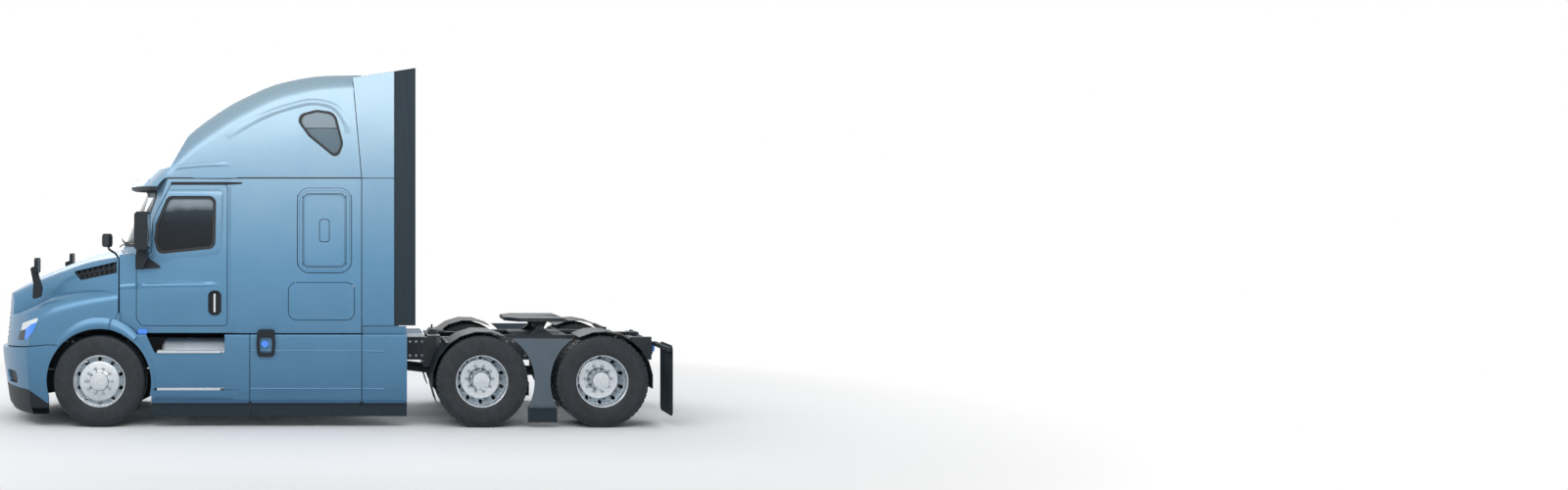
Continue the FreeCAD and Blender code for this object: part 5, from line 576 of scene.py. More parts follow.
def bumper_form(inset):
    rings = [nose_ring(FRONT_X + BUMPER_LEAN * share, BUMPER_BASE_Z + BUMPER_RISE * rise,
                       BUMPER_HALF - BUMPER_LEAN * share / 2, AXLE_X, inset) for rise, share in BUMPER_DRAFT]
    top = [(FRONT_X - BEYOND, -BEYOND), (AXLE_X + BEYOND, -BEYOND), (AXLE_X + BEYOND, SEAM_BACK[1]),
           SEAM_BACK,
           SEAM_FRONT, (FRONT_X - BEYOND, SEAM_FRONT[1] - 6)]
    return common(lofted(rings), side_prism(top))


def centred(x, z, length, height, grow=0.0):
    return oblong(x - length / 2 - grow, x + length / 2 + grow, z - height / 2 - grow, z + height / 2 + grow)


def bumper_openings(grow, corner):
    slots = [front_prism(centred(side * SLOT_Y, SLOT_Z, 300, 140, grow), FRONT_X - BEYOND, -3200, corner)
             for side in (-1, 1)]
    return slots + [front_prism(centred(0, INTAKE_Z, 860, 190, grow), FRONT_X - BEYOND, -3300, corner)]


valance_line = [(FRONT_X - BEYOND, 440), (-3277, 408.25), (-3083, 265), (AXLE_X + BEYOND, 265),
                (AXLE_X + BEYOND, -BEYOND), (FRONT_X - BEYOND, -BEYOND)]
bumper_shell = cut(bumper_form(0), moved(bumper_form(BUMPER_WALL), z=-BUMPER_WALL),
                   moved(bumper_form(95), z=60), arch_rod(ARCH_RADIUS))
bumper_shell = cut(bumper_shell, *bumper_openings(0, 47))
valance = common(copied(bumper_shell), side_prism(valance_line))
bumper_shell = cut(bumper_shell, side_prism([(x, z + 4 if z > 0 else z) for x, z in valance_line]))
finished(bumper_shell, "bumper_panel", paint, "chassis", ["bumper"])
finished(valance, "bumper_valance", black_plastic, "chassis", ())


# Hood
# One moulded shell with the front fenders flowing out of it, tilting about its lower front edge. The
# tall grille, the lamps and the slatted side vents are set into cut openings; the arch lips are thick.

SEAT = 2.0
SCREEN_HALF, SCREEN_DEPTH, SCREEN_FRONT_X = 1150.0, 402.0, -2412.0
LAMP_SHARES = [(0, .02), (.22, .72), (1, 1), (.77, .42), (.45, .06)]
VENT_SHARES = [(0, .44), (1, 1), (1, .41), (.18, 0)]


def fender_ring(x, inset):
    along = min((x - HOOD_NOSE_X) / (HOOD_REAR_X - HOOD_NOSE_X), 1)
    wide, tall, square = (smooth_share(FENDER_SHARES, column, along) for column in (1, 2, 3))
    low, high = FENDER_HALVES
    return arch_ring(x, HOOD_BASE_Z, low + (high - low) * wide - inset,
                     (FENDER_TOP_Z - HOOD_BASE_Z) * tall - inset,
                     square)


def crest_ring(x, inset):
    along = (x - HOOD_NOSE_X) / (HOOD_REAR_X - HOOD_NOSE_X)
    wide, tall, square = (smooth_share(CREST_SHARES, column, along) for column in (1, 2, 3))
    low, high = CREST_HALVES
    height = HOOD_NOSE_TOP_Z - HOOD_BASE_Z + (HOOD_TOP_Z - HOOD_NOSE_TOP_Z) * tall
    return arch_ring(x, HOOD_BASE_Z, low + (high - low) * wide - inset, height - inset, square)


def hood_form(inset):
    stations = [HOOD_NOSE_X + (HOOD_REAR_X - HOOD_NOSE_X) * (i / 44) for i in range(45)]
    fenders, crests = (lofted([ring(x, inset) for x in stations]) for ring in (fender_ring, crest_ring))
    nose = lofted([nose_ring(HOOD_NOSE_X + 50 * (z - SEAM_FRONT[1]) / 565, z, 1300, REAR_X, inset)
                   for z in (630, 2000)])
    reach = (SCREEN_HALF ** 2 + SCREEN_DEPTH ** 2) / (2 * SCREEN_DEPTH) + GAP
    centre_x = SCREEN_FRONT_X + reach - GAP
    angle = math.asin(1300 / reach)
    turns = [angle * (i / 24 - 1) for i in range(49)]
    curve = [(centre_x - reach * math.cos(turn), reach * math.sin(turn)) for turn in turns]
    ahead = plan_prism([(FRONT_X - 400, -1300)] + curve + [(FRONT_X - 400, 1300)], 400, 2400)
    return common(joined(fenders, crests), nose, ahead)


def hood_zone():
    return side_prism([(FRONT_X - BEYOND, SEAM_FRONT[1] + GAP), (SEAM_BACK[0], SEAM_BACK[1] + GAP),
                       (-2388, SEAM_BACK[1] + GAP), (-2388, 1050), (-2300, 1256), (-2300, 2200),
                       (FRONT_X - BEYOND, 2200)])


def tapered(base_half, top_half, z0, z1, grow):
    return [(-base_half - grow, z0 - grow), (base_half + grow, z0 - grow), (top_half + grow, z1 + grow),
            (-top_half - grow, z1 + grow)]


def grille_ring(grow=0.0):
    return tapered(560, 500, 895, 1330, grow)


def swollen(shares, x, z, length, height, share):
    points = [Vector((x + length * a, z + height * b)) for a, b in shares]
    middle = sum(points, Vector((0, 0))) / len(points)
    return [tuple(middle + (point - middle) * (1 + share)) for point in points]


def lamp_ring(grow=0.0):
    return swollen(LAMP_SHARES, -3445, 938, 280, 275, grow / 140)


def vent_ring(grow=0.0):
    return swollen(VENT_SHARES, -2833, 1607, 518, 212, grow / 130)


def sides_prism(ring, inner, radius):
    return [side_prism(ring, side * inner, side * WIDE, radius) for side in (-1, 1)]


skin = common(cut(hood_form(0), hood_form(HOOD_WALL)), hood_zone())
skin = cut(skin, arch_rod(ARCH_RADIUS), front_prism(grille_ring(), FRONT_X - BEYOND, -3200, 60, 10),
           *sides_prism(lamp_ring(), 600, 17.5), *sides_prism(vent_ring(), 500, 14))
finished(skin, "hood_panel", paint, "hood", ["hood_shell"], 30)

# Grille: a black frame and deep horizontal bars in front of a fine expanded mesh
frame_bars = cut(common(hood_form(SEAT), front_prism(grille_ring(-1), FRONT_X - BEYOND, -3300, 58, 10)),
                 hood_form(42))
opening = front_prism(grille_ring(-26), FRONT_X - BEYOND, -3200, 40, 10)
slats = [front_prism([(-620, z - 9), (620, z - 15), (620, z + 9), (-620, z + 15)], FRONT_X - BEYOND, -3200)
         for z in range(930, 1309, 54)]
frame_bars = cut(frame_bars, cut(opening, joined(*slats)))
finished(frame_bars, "grille_bars", black_plastic, "hood", ["grille"])


# Cab shell
# Welded aluminium panels over a hollow frame: one upright shell with a bowed front, wide sleeper sides
# and a curved screen. Doors and luggage doors fill openings cut along their real seams.

BELT_Z, CAB_BASE_Z, CAB_TOP_Z = 1895.0, 1035.0, 2738.0
CAB_WALL = 45.0
CAB_HALF, SLEEPER_HALF, STEP_FROM_X, STEP_TO_X = 1150.0, 1195.0, -1098.0, -948.0
CREASE_Z, CREASE_DEPTH = 1556.0, 12.0
SCREEN_BOW = 14.0
LOWER_LEVELS = [CAB_BASE_Z + 43 * i for i in range(21)]
UPPER_LEVELS = [BELT_Z + 60.2 * i for i in range(15)]


def crease_relief(x, z):
    if not -2300 < x < -1150 or z > CREASE_Z + 12 or z < 1180:
        return 0.0
    fade = min(1.0, max(0.0, (-1150 - x) / 220), max(0.0, (x + 2080) / 160))
    drop = min(1.0, max(0.0, (CREASE_Z + 12 - z) / 24))
    rise = min(1.0, max(0.0, (z - 1180) / 340))
    return CREASE_DEPTH * fade * drop * rise * rise * (3 - 2 * rise)


def cab_ring(z, front_x, front_side_x, cab_half, sleeper_half, inset):
    cab_half -= inset
    sleeper_half -= inset
    right = [Vector((REAR_X - inset, sleeper_half, z))]
    rear_x, side_x = REAR_X - inset, front_side_x + inset
    right += [Vector((rear_x + (STEP_TO_X - rear_x) * i / 8, sleeper_half, z)) for i in range(1, 9)]
    right.append(Vector((STEP_FROM_X, cab_half, z)))
    for i in range(1, 16):
        x = STEP_FROM_X + (side_x - STEP_FROM_X) * i / 16
        right.append(Vector((x, cab_half + crease_relief(x, z), z)))
    bow = arc((side_x, cab_half + crease_relief(side_x, z), z), (front_x + inset, 0, z),
              (side_x, -cab_half - crease_relief(side_x, z), z), 48)
    left = [Vector((point.x, -point.y, z)) for point in reversed(right)]
    return right + bow + left


def cab_form(inset, open_top=False):
    base = CAB_BASE_Z + inset
    lower = [cab_ring(max(z, base), -2293, -2285, CAB_HALF, SLEEPER_HALF, inset)
             for z in LOWER_LEVELS if z >= base - 20]
    upper = []
    for z in UPPER_LEVELS:
        up = (z - BELT_Z) / (CAB_TOP_Z - BELT_Z)
        bow = SCREEN_BOW * math.sin(math.pi * min(up, 1))
        upper.append(cab_ring(z, SCREEN_FRONT_X + 367 * up - bow,
                              SCREEN_FRONT_X + SCREEN_DEPTH + 258 * up - bow,
                              CAB_HALF - 28 * up, SLEEPER_HALF - 15 * up, inset))
    if open_top:
        upper.append([point + Vector((0, 0, BEYOND)) for point in upper[-1]])
    return joined(lofted(lower), moved(lofted(upper), z=-0.5))


DOOR_BOX, EMBOSS = (-2098, 1117, 992, 1547), (-33, 2160)
DOOR_SHARES = [(0, .05), (.055, 0), (1, 0), (1, 1), (.38, 1), (.195, .772), (.177, .74), (.167, .503),
               (0, .503)]
WINDOW_SHARES = [(.232, .505), (.193, .61), (.21, .72), (.345, .92), (.883, .92), (.873, .546)]


def share_ring(shares, x, z, length, height, grow=0.0):
    points = [Vector((x + length * a, z + height * b)) for a, b in shares]
    ring = []
    for before, corner, after in zip(points[-1:] + points[:-1], points, points[1:] + points[:1]):
        one, two = (corner - before).normalized(), (after - corner).normalized()
        normals = [Vector((-d.y, d.x)) for d in (one, two)]
        middle = (normals[0] + normals[1]).normalized()
        ring.append(tuple(corner + middle * (grow / max(middle.dot(normals[0]), 0.3))))
    return ring


def outward(shares, *box, grow=0.0):
    area = sum(a[0] * b[1] - b[0] * a[1] for a, b in zip(shares, shares[1:] + shares[:1]))
    return share_ring(shares, *box, grow=-grow if area > 0 else grow)


def door_ring(grow=0.0):
    return outward(DOOR_SHARES, *DOOR_BOX, grow=grow)


def window_ring(grow=0.0):
    return outward(WINDOW_SHARES, *DOOR_BOX, grow=grow)


def luggage_ring(grow=0.0):
    return oblong(-424 - grow, 293 + grow, 1181 - grow, 1588 + grow)


def screen_ring(grow=0.0):
    return tapered(1030, 985, 1985, 2600, grow)


def emboss(length, height, corner, depth):
    rings = []
    for grow, out in ((14, -3), (0, 0), (-12, depth)):
        ring = rounded(centred(*EMBOSS, length, height, grow), corner, 10)
        rings.append([(x, -(SLEEPER_HALF - 7.8 + out), z) for x, z in ring])
    return lofted(rings)


def groove_frame(length, height, corner):
    outer, inner = (side_prism(centred(*EMBOSS, length, height, grow), -SLEEPER_HALF - 30 - reach,
                               -SLEEPER_HALF + 15 + reach, corner + grow, 10) for grow, reach in ((4.5, 0),
                                                                                                  (-4.5, 5)))
    return cut(outer, inner)


cab = cut(cab_form(0), cab_form(CAB_WALL, True))
door_panels = common(copied(cab), side_prism(door_ring(), -WIDE, -700, 38))
luggage_panels = common(copied(cab), side_prism(luggage_ring(), -WIDE, -700, 90, 10))
cowl = cut(lofted([arch_ring(x, 1850, 1150, 90, 0.11) for x in (-2285, -2240, -2190, -2140, -2090, -2010)]),
           cab_form(CAB_WALL))
cab = joined(cab, cowl)
cuts = [front_prism(screen_ring(), -2600, -1700, 110, 12)]
for side in (-1, 1):
    cuts += [side_prism(door_ring(GAP), side * 700, side * WIDE, 45),
             side_prism(luggage_ring(GAP), side * 700, side * WIDE, 97, 10)]
cab = cut(cab, *cuts)
frame_ring = cut(emboss(567, 900, 120, 13), emboss(475, 808, 97, 24))
grooves = [groove_frame(*sizes) for sizes in ((595, 928, 134), (447, 780, 60), (107, 246, 30))]
cab = joined(cab, copied(frame_ring, True), frame_ring)
cab = cut(cab, *[copied(groove, True) for groove in grooves], *grooves)
finished(cab, "cab_panels", paint, "chassis", ["cab_shell"], 26)

# Doors: double-skinned panels with a raised surround under the window and a recessed handle cup
CUP_RING = oblong(-1312, -1168, 1228, 1502)
door_panels = cut(door_panels, side_prism(window_ring(), -WIDE, -700, 80, 12),
                  side_prism(CUP_RING, -WIDE, -CAB_HALF + 26, 62, 10))
surround = lofted([[(x, y, z) for x, z in rounded(window_ring(grow), 60, 10)]
                   for grow, y in ((74, -1140), (62, -1150), (40, -1158))])
surround = cut(common(surround, cut(side_prism(door_ring(-14), -WIDE, -700, 30), cab_form(CAB_WALL))),
               side_prism(window_ring(), -WIDE, -700, 80, 12))
door_panels = joined(door_panels, surround)
finished_pair(door_panels, "door_panel", paint, "door", ["cab_door"], 26)
finished_pair(luggage_panels, "luggage_panel", paint, "luggage", ["luggage_door"], 26)


# Glazing
# Laminated screen and tempered side windows, bonded behind black rubber. The glass is tinted so dark
# that the cab's inside only shows as shapes.

# Tinted glass: dark neutral sheet with a hard gloss; towards the top it turns paler, a painted reflection of
# the bright sky
glass, tree, shader, where = surface("tinted_glass", Roughness=0.03, Specular_IOR_Level=0.25,
                                     Transmission_Weight=0.2)
parts = add(tree, "ShaderNodeSeparateXYZ", {0: where})
depth = add(tree, "ShaderNodeTexNoise", {"Vector": where, "Scale": 2.2})
drift = add(tree, "ShaderNodeMath", {0: depth.outputs["Fac"], 1: 0.16, 2: parts.outputs["Z"]},
            operation="MULTIPLY_ADD")
height = add(tree, "ShaderNodeMapRange", {"Value": drift.outputs[0], "From Min": 2.0, "From Max": 2.7})
# Painted reflection: the upper stops lighten the glass towards its top, as the sky's reflection would
add(tree, "ShaderNodeValToRGB", {"Fac": height.outputs[0]},
    stops=[(0, "#0c141a"), (0.5, "#17222b"), (0.68, "#2a3740"), (0.76, "#7f8d96"), (1, "#a9b6bd")],
    feeds=[shader.inputs["Base Color"]])

# Roof window glass: paler grey-blue privacy tint with a fine dark line across it
roof_glass, tree, shader, where = surface("privacy_tinted_glass", Roughness=0.05, Specular_IOR_Level=0.3,
                                          Transmission_Weight=0.1)
parts = add(tree, "ShaderNodeSeparateXYZ", {0: where})
height = add(tree, "ShaderNodeMapRange", {"Value": parts.outputs["Z"], "From Min": 3.08, "From Max": 3.48})
add(tree, "ShaderNodeValToRGB", {"Fac": height.outputs[0]},
    stops=[(0, "#5b6d79"), (0.485, "#5f727e"), (0.495, "#1c272e"), (0.515, "#1c272e"), (0.525, "#6b7e89"),
           (1, "#71848f")],
    feeds=[shader.inputs["Base Color"]])

# Window rubber: soft matt black with a fine extruded line
seal_rubber, tree, shader, where = surface("window_seal_rubber", Roughness=0.6)
bloom = add(tree, "ShaderNodeTexNoise", {"Vector": where, "Scale": 30.0, "Detail": 5.0})
add(tree, "ShaderNodeValToRGB", {"Fac": bloom.outputs["Fac"]},
    stops=[(0, "#0e1215"), (1, "#1a2026")],
    feeds=[shader.inputs["Base Color"]])

DOOR_GLASS_DEPTH = 16.0
pane = common(cut(cab_form(11.25, True), cab_form(19.25, True)),
              front_prism(screen_ring(-SEAT), -2600, -1700, 108, 12))
finished(pane, "windscreen", glass, "chassis", ["cab_glass"], 20)
door_pane = common(cut(cab_form(DOOR_GLASS_DEPTH, True), cab_form(DOOR_GLASS_DEPTH + 8, True)),
                   side_prism(window_ring(-SEAT), -WIDE, -700, 79, 12))
finished_pair(door_pane, "door_window", glass, "door", ["door_glass"], 20)
seal = common(cut(cab_form(-4, True), cab_form(DOOR_GLASS_DEPTH + 12, True)),
              cut(side_prism(window_ring(-0.5), -WIDE, -700, 80, 12),
                  side_prism(window_ring(-34), -WIDE - 5, -600, 60, 12)))
finished_pair(seal, "door_window_seal", seal_rubber, "door", [], 30)
screen_seal = common(cut(cab_form(-3, True), cab_form(24, True)),
                     cut(front_prism(screen_ring(10), -2600, -1700, 114, 12),
                         front_prism(screen_ring(-20), -2605, -1695, 100, 12)))
finished(screen_seal, "screen_seal", seal_rubber, "chassis", [], 30)


# Roof fairing
# A moulded cap swept back over the sleeper, hollow inside and open to the cab, with a teardrop window
# on each side under a soft brow line.

ROOF_FRONT_X, ROOF_HALF = -2010.0, 1240.0
ROOF_WINDOW_BOX = (-352, 2955, 517, 520)
ROOF_WINDOW = [(0, .88), (.45, 1), (.83, .95), (1, .3), (.88, 0), (.3, .47)]
ROOF_SHARES = [
    (0, 0, .07, .3), (.06, .35, .17, .3), (.14, .56, .37, .28), (.27, .74, .585, .27), (.45, .92, .795, .24),
    (.64, .98, .938, .2), (.83, 1, .994, .17), (1, 1, 1, .15)]


def roof_form(inset):
    stations = []
    for i in range(41):
        along = (i / 40) ** 1.4
        wide, tall, square = (smooth_share(ROOF_SHARES, column, along) for column in (1, 2, 3))
        x = ROOF_FRONT_X + (REAR_X - ROOF_FRONT_X) * along
        stations.append(arch_ring(x, CAB_TOP_Z, 1000 + 180 * wide - inset, max(1212 * tall - inset, 30),
                                  square))
    levels = []
    for z in (CAB_TOP_Z, 3960):
        shift = 0.65 * (z - CAB_TOP_Z) + inset
        bow = arc((shift - 1752, -ROOF_HALF, z), (shift + ROOF_FRONT_X, 0, z), (shift - 1752, ROOF_HALF, z),
                  56)
        levels.append(bow + [Vector((2000, ROOF_HALF, z)), Vector((2000, -ROOF_HALF, z))])
    return common(lofted(stations), lofted(levels))


def roof_window_ring(grow=0.0):
    return outward(ROOF_WINDOW, *ROOF_WINDOW_BOX, grow=grow)


inner = common(roof_form(30), plan_prism(oblong(-2100, REAR_X - 30, -WIDE, WIDE), 2000, 4200))
roof = cut(roof_form(0), inner, *sides_prism(roof_window_ring(), 600, 120))
finished(roof, "roof_cap", paint, "chassis", ["roof_fairing"], 30)
roof_panes = common(cut(roof_form(7.5), roof_form(15.5)), joined(*sides_prism(roof_window_ring(-SEAT), 600,
                                                                              119)))
finished(roof_panes, "roof_windows", roof_glass, "chassis", [], 20)
frames = cut(joined(*sides_prism(roof_window_ring(12), 600, 126)), *sides_prism(roof_window_ring(-16), 500,
                                                                                110))
finished(common(cut(roof_form(-3), roof_form(17)), frames), "roof_window_seals", seal_rubber, "chassis", [],
         30)


# Cab corner panels
# Painted corner panels close the wedge between the tilting hood and the cab. They are moulded to the
# fender's own curve and screwed to the cab's foot.

HINGE_X, CORNER_TOP_Z = -2388 + GAP, 1256
corner_zone = side_prism([(HINGE_X, 1050), (HOOD_REAR_X + GAP, CORNER_TOP_Z), (HOOD_REAR_X + GAP + 12,
                                                                               CORNER_TOP_Z),
                          (-2285, 1035), (HINGE_X, 1035)])
corner_forms = [lofted([fender_ring(x, inset) for x in (-2460, -2400, -2340, -2290, -2250)])
                for inset in (0, HOOD_WALL)]
corners = cut(common(cut(*corner_forms), corner_zone), arch_rod(ARCH_RADIUS))
finished(corners, "cab_corner_panels", paint, "chassis", [], 30)


# Side fairings
# Long moulded panels cover the tanks between the axles, creased near top and bottom and parted by two
# seams. The front panel holds two steps: an open one over the tank and a slot under a bulged ledge.

FAIRING_SECTION = [(1, 0), (.25, .06), (0, .22), (0, .55), (.15, .76), (.15, 1)]
FAIRING_HALF, FAIRING_BASE_Z, FAIRING_TOP_Z, FAIRING_WALL = 1235.0, 264.0, 1022.0, 24.0
FAIRING_REAR_X = 871.0
FAIRING_SEAMS = [AXLE_X, -849.0, 376.0, FAIRING_REAR_X + BEYOND]
LEDGE_X0, LEDGE_X1 = -1922, -989
STEP_X0, STEP_X1, STEP_SLANT = -1892.0, -1124.0, 120.0
STEP_UPPER_Z, STEP_LOWER_Z, STEP_THICK = 843.0, 436.0, 22.0


def fairing_form(outset, x0=AXLE_X, x1=FAIRING_REAR_X):
    points = [(-FAIRING_HALF + 42 * tuck + outset, FAIRING_BASE_Z + (FAIRING_TOP_Z - FAIRING_BASE_Z) * up)
              for tuck, up in FAIRING_SECTION]
    ring = rounded(points + [(-900, points[-1][1]), (-900, points[0][1])], 16, 4)
    return lofted([[(x, y, z) for y, z in ring] for x in (x0, x1)])


def step_gap(base_z, top_z, corner, slant=0.0):
    return side_prism([(STEP_X0, base_z), (STEP_X1, base_z), (STEP_X1, top_z), (STEP_X0 - slant, top_z)],
                      -WIDE, -600, corner)


def lip_band(inner, side_grow, top_grow):
    ring = []
    for i in range(96):
        angle = 2 * math.pi * i / 96
        rise = max(math.sin(angle), 0)
        reach = inner + side_grow + top_grow * rise * rise
        ring.append((AXLE_X + reach * math.cos(angle), AXLE_Z + reach * math.sin(angle)))
    return side_prism(ring)


inner_line = [(-FAIRING_HALF + 42 * tuck + FAIRING_WALL,
               FAIRING_BASE_Z + (FAIRING_TOP_Z - FAIRING_BASE_Z) * up + lift)
              for (tuck, up), lift in zip(FAIRING_SECTION, (-BEYOND, 0, 0, 0, 0, BEYOND))]
inner_line += [(-800, FAIRING_TOP_Z + BEYOND), (-800, FAIRING_BASE_Z - BEYOND)]
open_inner = front_prism(inner_line, AXLE_X - BEYOND, FAIRING_REAR_X + BEYOND)
wall = cut(fairing_form(0), open_inner, arch_rod(ARCH_RADIUS))
wall = cut(wall, step_gap(STEP_UPPER_Z - STEP_THICK, FAIRING_TOP_Z + BEYOND, 30, STEP_SLANT))
ledge = []
for z, out in ((318, -2), (324, 10), (338, 20), (360, 26), (414, 26)):
    slant = 2 * out if out > 0 else 4
    y = -FAIRING_HALF
    ledge.append([(LEDGE_X0, y + 12, z), (LEDGE_X0, y + 3, z), (LEDGE_X0 + slant, y - out, z),
                  (LEDGE_X1 - 2 * slant, y - out, z), (LEDGE_X1, y + 3, z), (LEDGE_X1, y + 12, z)])
wall = joined(wall, cut(lofted(ledge), arch_rod(ARCH_RADIUS)))
wall = cut(wall, step_gap(STEP_LOWER_Z - STEP_THICK, STEP_LOWER_Z + 1, 0))
lip = common(fairing_form(-7), lip_band(ARCH_RADIUS, 34, 20))
lip = cut(lip, fairing_form(2, AXLE_X - BEYOND, 900), arch_rod(ARCH_RADIUS))
lip = common(lip, side_prism(oblong(-2400, -1500, 300, FAIRING_TOP_Z)))
fairings = [lip]
for i in range(3):
    x0 = FAIRING_SEAMS[i] + (4 if i else 0)
    x1 = FAIRING_SEAMS[i + 1] - 4
    fairings.append(common(copied(wall), plan_prism(oblong(x0, x1, -WIDE, 0), 0, 2000)))
dropped(wall)


def merged(pieces, name):
    bm = bmesh.new()
    for piece in pieces:
        bm.from_mesh(piece.data)
    dropped(*pieces)
    return place(name, as_mesh(bm, name))


def both_sides(pieces, name):
    return merged(pieces + [copied(piece, True) for piece in pieces], name)


finished(both_sides(fairings, "fairings"), "side_fairing_panels", paint, "chassis", ["side_fairings"],
         24)
dressed("lower_skirts", rubber_sheet, 2)


# Fuel tanks, steps and deck
# Two long aluminium drums lie strapped behind the fairings and shine through the step openings. Steps
# and deck are bright extruded grip plates with rows of raised teeth.

TANK_RADIUS, TANK_Y, TANK_Z, TANK_X0, TANK_X1 = 315.0, 850.0, 640.0, -1850.0, 710.0
TOOTH_ROWS = (1243, 1228, 1206, 1184, 1162)

# Polished aluminium sheet: bright, with long faint polishing lines along the drum
polished, tree, shader, where = surface("polished_aluminium", Metallic=0.55, Roughness=0.4)
stretch = add(tree, "ShaderNodeMapping", {"Vector": where, "Scale": (3.0, 120.0, 120.0)})
lines = add(tree, "ShaderNodeTexNoise", {"Vector": stretch.outputs[0], "Scale": 1.0, "Detail": 4.0})
add(tree, "ShaderNodeValToRGB", {"Fac": lines.outputs["Fac"]},
    stops=[(0, "#dde3e8"), (1, "#f4f7fa")],
    feeds=[shader.inputs["Base Color"]])
add(tree, "ShaderNodeMapRange", {"Value": lines.outputs["Fac"], "To Min": 0.3, "To Max": 0.48},
    feeds=[shader.inputs["Roughness"]])

# Extruded aluminium grip plate: pale mill finish, scuffed by boots
grip_plate, tree, shader, where = surface("mill_finish_aluminium", Metallic=0.9, Roughness=0.36)
scuff = add(tree, "ShaderNodeTexNoise", {"Vector": where, "Scale": 55.0, "Detail": 6.0})
add(tree, "ShaderNodeValToRGB", {"Fac": scuff.outputs["Fac"]},
    stops=[(0, "#b3bbc1"), (1, "#dde2e6")],
    feeds=[shader.inputs["Base Color"]])


def round_bar(rings):
    return lofted([[(x, y, z) for y, z in circle(-TANK_Y, TANK_Z, radius, 72)] for x, radius in rings])


ends = [(0, 0.5), (2, 210), (12, 262), (26, 292), (44, 308), (66, TANK_RADIUS)]
tanks = [round_bar([(TANK_X0 + x, radius) for x, radius in ends] + [(TANK_X1 - x, radius) for x,
                                                                    radius in reversed(ends)])]
for share in (0.12, 0.5, 0.88):
    x = TANK_X0 + (TANK_X1 - TANK_X0) * share
    tanks.append(cut(round_bar([(x - 28, TANK_RADIUS + 5), (x + 28, TANK_RADIUS + 5)]),
                     round_bar([(x - 29, TANK_RADIUS - 1), (x + 29, TANK_RADIUS - 1)])))
    tanks.append(side_prism(oblong(x - 30, x + 30, 670, 865), -560, -430))
finished(both_sides(tanks, "tanks"), "fuel_drums", polished, "chassis", ["fuel_tanks"], 30)
dressed("step_treads", grip_plate, 1.5)


def tooth(tree, radius, depth):
    cone = add(tree, "GeometryNodeMeshCone", {
        "Vertices": 4, "Radius Top": 0.0015, "Radius Bottom": radius, "Depth": depth})
    return cone.outputs["Mesh"]


tooth_tree = scatter_tree("grip_teeth", tooth, grip_plate)
places = [((-1855 + 13 * i + (6.5 if j % 2 else 0), side * y, z), (0, 0, 1))
          for z in (STEP_UPPER_Z, STEP_LOWER_Z) for side in (-1, 1) for j, y in enumerate(TOOTH_ROWS)
          for i in range(56)]
places += [((655 + 15 * i, -390 + 31 * j, 964), (0, 0, 1)) for j in range(26) for i in range(30)]
scattered("grip_teeth", tooth_tree, places, 7.0, 9.0, grip_plate, "chassis")


# Drive wheel covers and flaps
# Half-round black plastic fenders hang over the drive wheels on tubes, a grey painted panel with a
# riveted lower edge fills the space between the wheels, and rubber flaps hang behind the last wheels.

# Grey body primer: satin, flatter than the blue, with a faint cloudy spray pattern
grey_paint, tree, shader, where = surface("satin_grey_panel_paint", Roughness=0.45, Metallic=0.2)
cloud = add(tree, "ShaderNodeTexNoise", {"Vector": where, "Scale": 4.0, "Detail": 4.0})
add(tree, "ShaderNodeValToRGB", {"Fac": cloud.outputs["Fac"]},
    stops=[(0, "#46545f"), (1, "#566571")],
    feeds=[shader.inputs["Base Color"]])

ARCH_REACH, PANEL_TOP_Z, PANEL_BASE_Z, PANEL_OUTER_Y = 575.0, 972.0, 208.0, 1225.0
DRIVE_X = (1694.5, 3015.5)


panel = side_prism(oblong(*DRIVE_X, PANEL_BASE_Z, PANEL_TOP_Z), -PANEL_OUTER_Y, -PANEL_OUTER_Y + 20)
for x, way in zip(DRIVE_X, (1, -1)):
    foot = side_prism(oblong(x - way, x + way * ARCH_REACH * 0.87, -5, AXLE_Z - 282), -PANEL_OUTER_Y - 6,
                      -PANEL_OUTER_Y + 26)
    panel = cut(panel, side_prism(circle(x, AXLE_Z, ARCH_REACH, 96), -PANEL_OUTER_Y - 5,
                                  -PANEL_OUTER_Y + 25), foot)
middle_x = sum(DRIVE_X) / 2
arm = side_prism(oblong(middle_x - 32, middle_x + 32, 800, 864), -1206, -430)
panels = both_sides([panel, arm], "panels")
foot_zone = side_prism(oblong(middle_x - 400, middle_x + 400, 40, 236))
finished(common(copied(panels), copied(foot_zone)), "axle_panel_flaps", rubber_sheet, "chassis", [],
         30)
finished(cut(panels, foot_zone), "axle_panels", grey_paint, "chassis", ["axle_fairings"], 30)
rivets = [((x, side * 1225, 226), (0, side, 0)) for side in (-1, 1) for x in range(2225, 2500, 30)]
scattered("panel_rivets", bolt_tree, rivets, 6.0, 6.0, zinc, "chassis")
dressed("drive_fenders", black_plastic, 3, 50)
dressed("mud_flaps", rubber_sheet, 3)
dressed("fifth_wheel_plate", cast_iron, 5)


# Side extenders, hood vents and radiator
# Painted extender panels, bolted on behind the sleeper, carry wide rubber edges to the rear. The vents
# are black moulded slats, and the radiator's finned core stands behind the grille.

dressed("side_extenders", paint, 5)
dressed("extender_edges", rubber_sheet, 3)
dressed("hood_vents", black_plastic, 1.5)

# Blue lens: clear coloured plastic with a faint painted glow, so it looks lit though no lamp burns behind it
blue_lens, tree, shader, where = surface("blue_marker_lens", Roughness=0.08, IOR=1.49)
flutes = add(tree, "ShaderNodeTexWave", {"Vector": where, "Scale": 40.0})
add(tree, "ShaderNodeValToRGB", {"Fac": flutes.outputs["Fac"]},
    stops=[(0, "#2a6fe0"), (1, "#5aa0ff")],
    feeds=[shader.inputs["Base Color"], shader.inputs["Emission Color"]])
# Painted glow: faint emission on every part in this lens, the marker lenses, the headlamp reflectors and the
# filler cap
shader.inputs["Emission Strength"].default_value = 0.12

# Headlamp cover: clear plastic, pale with a faint ribbing behind
clear_lens, tree, shader, where = surface("clear_headlamp_lens", Roughness=0.05, IOR=1.49)
flutes = add(tree, "ShaderNodeTexWave", {"Vector": where, "Scale": 18.0, "Distortion": 0.5})
add(tree, "ShaderNodeValToRGB", {"Fac": flutes.outputs["Fac"]},
    stops=[(0, "#b9c4cc"), (1, "#eef2f5")],
    feeds=[shader.inputs["Base Color"]])

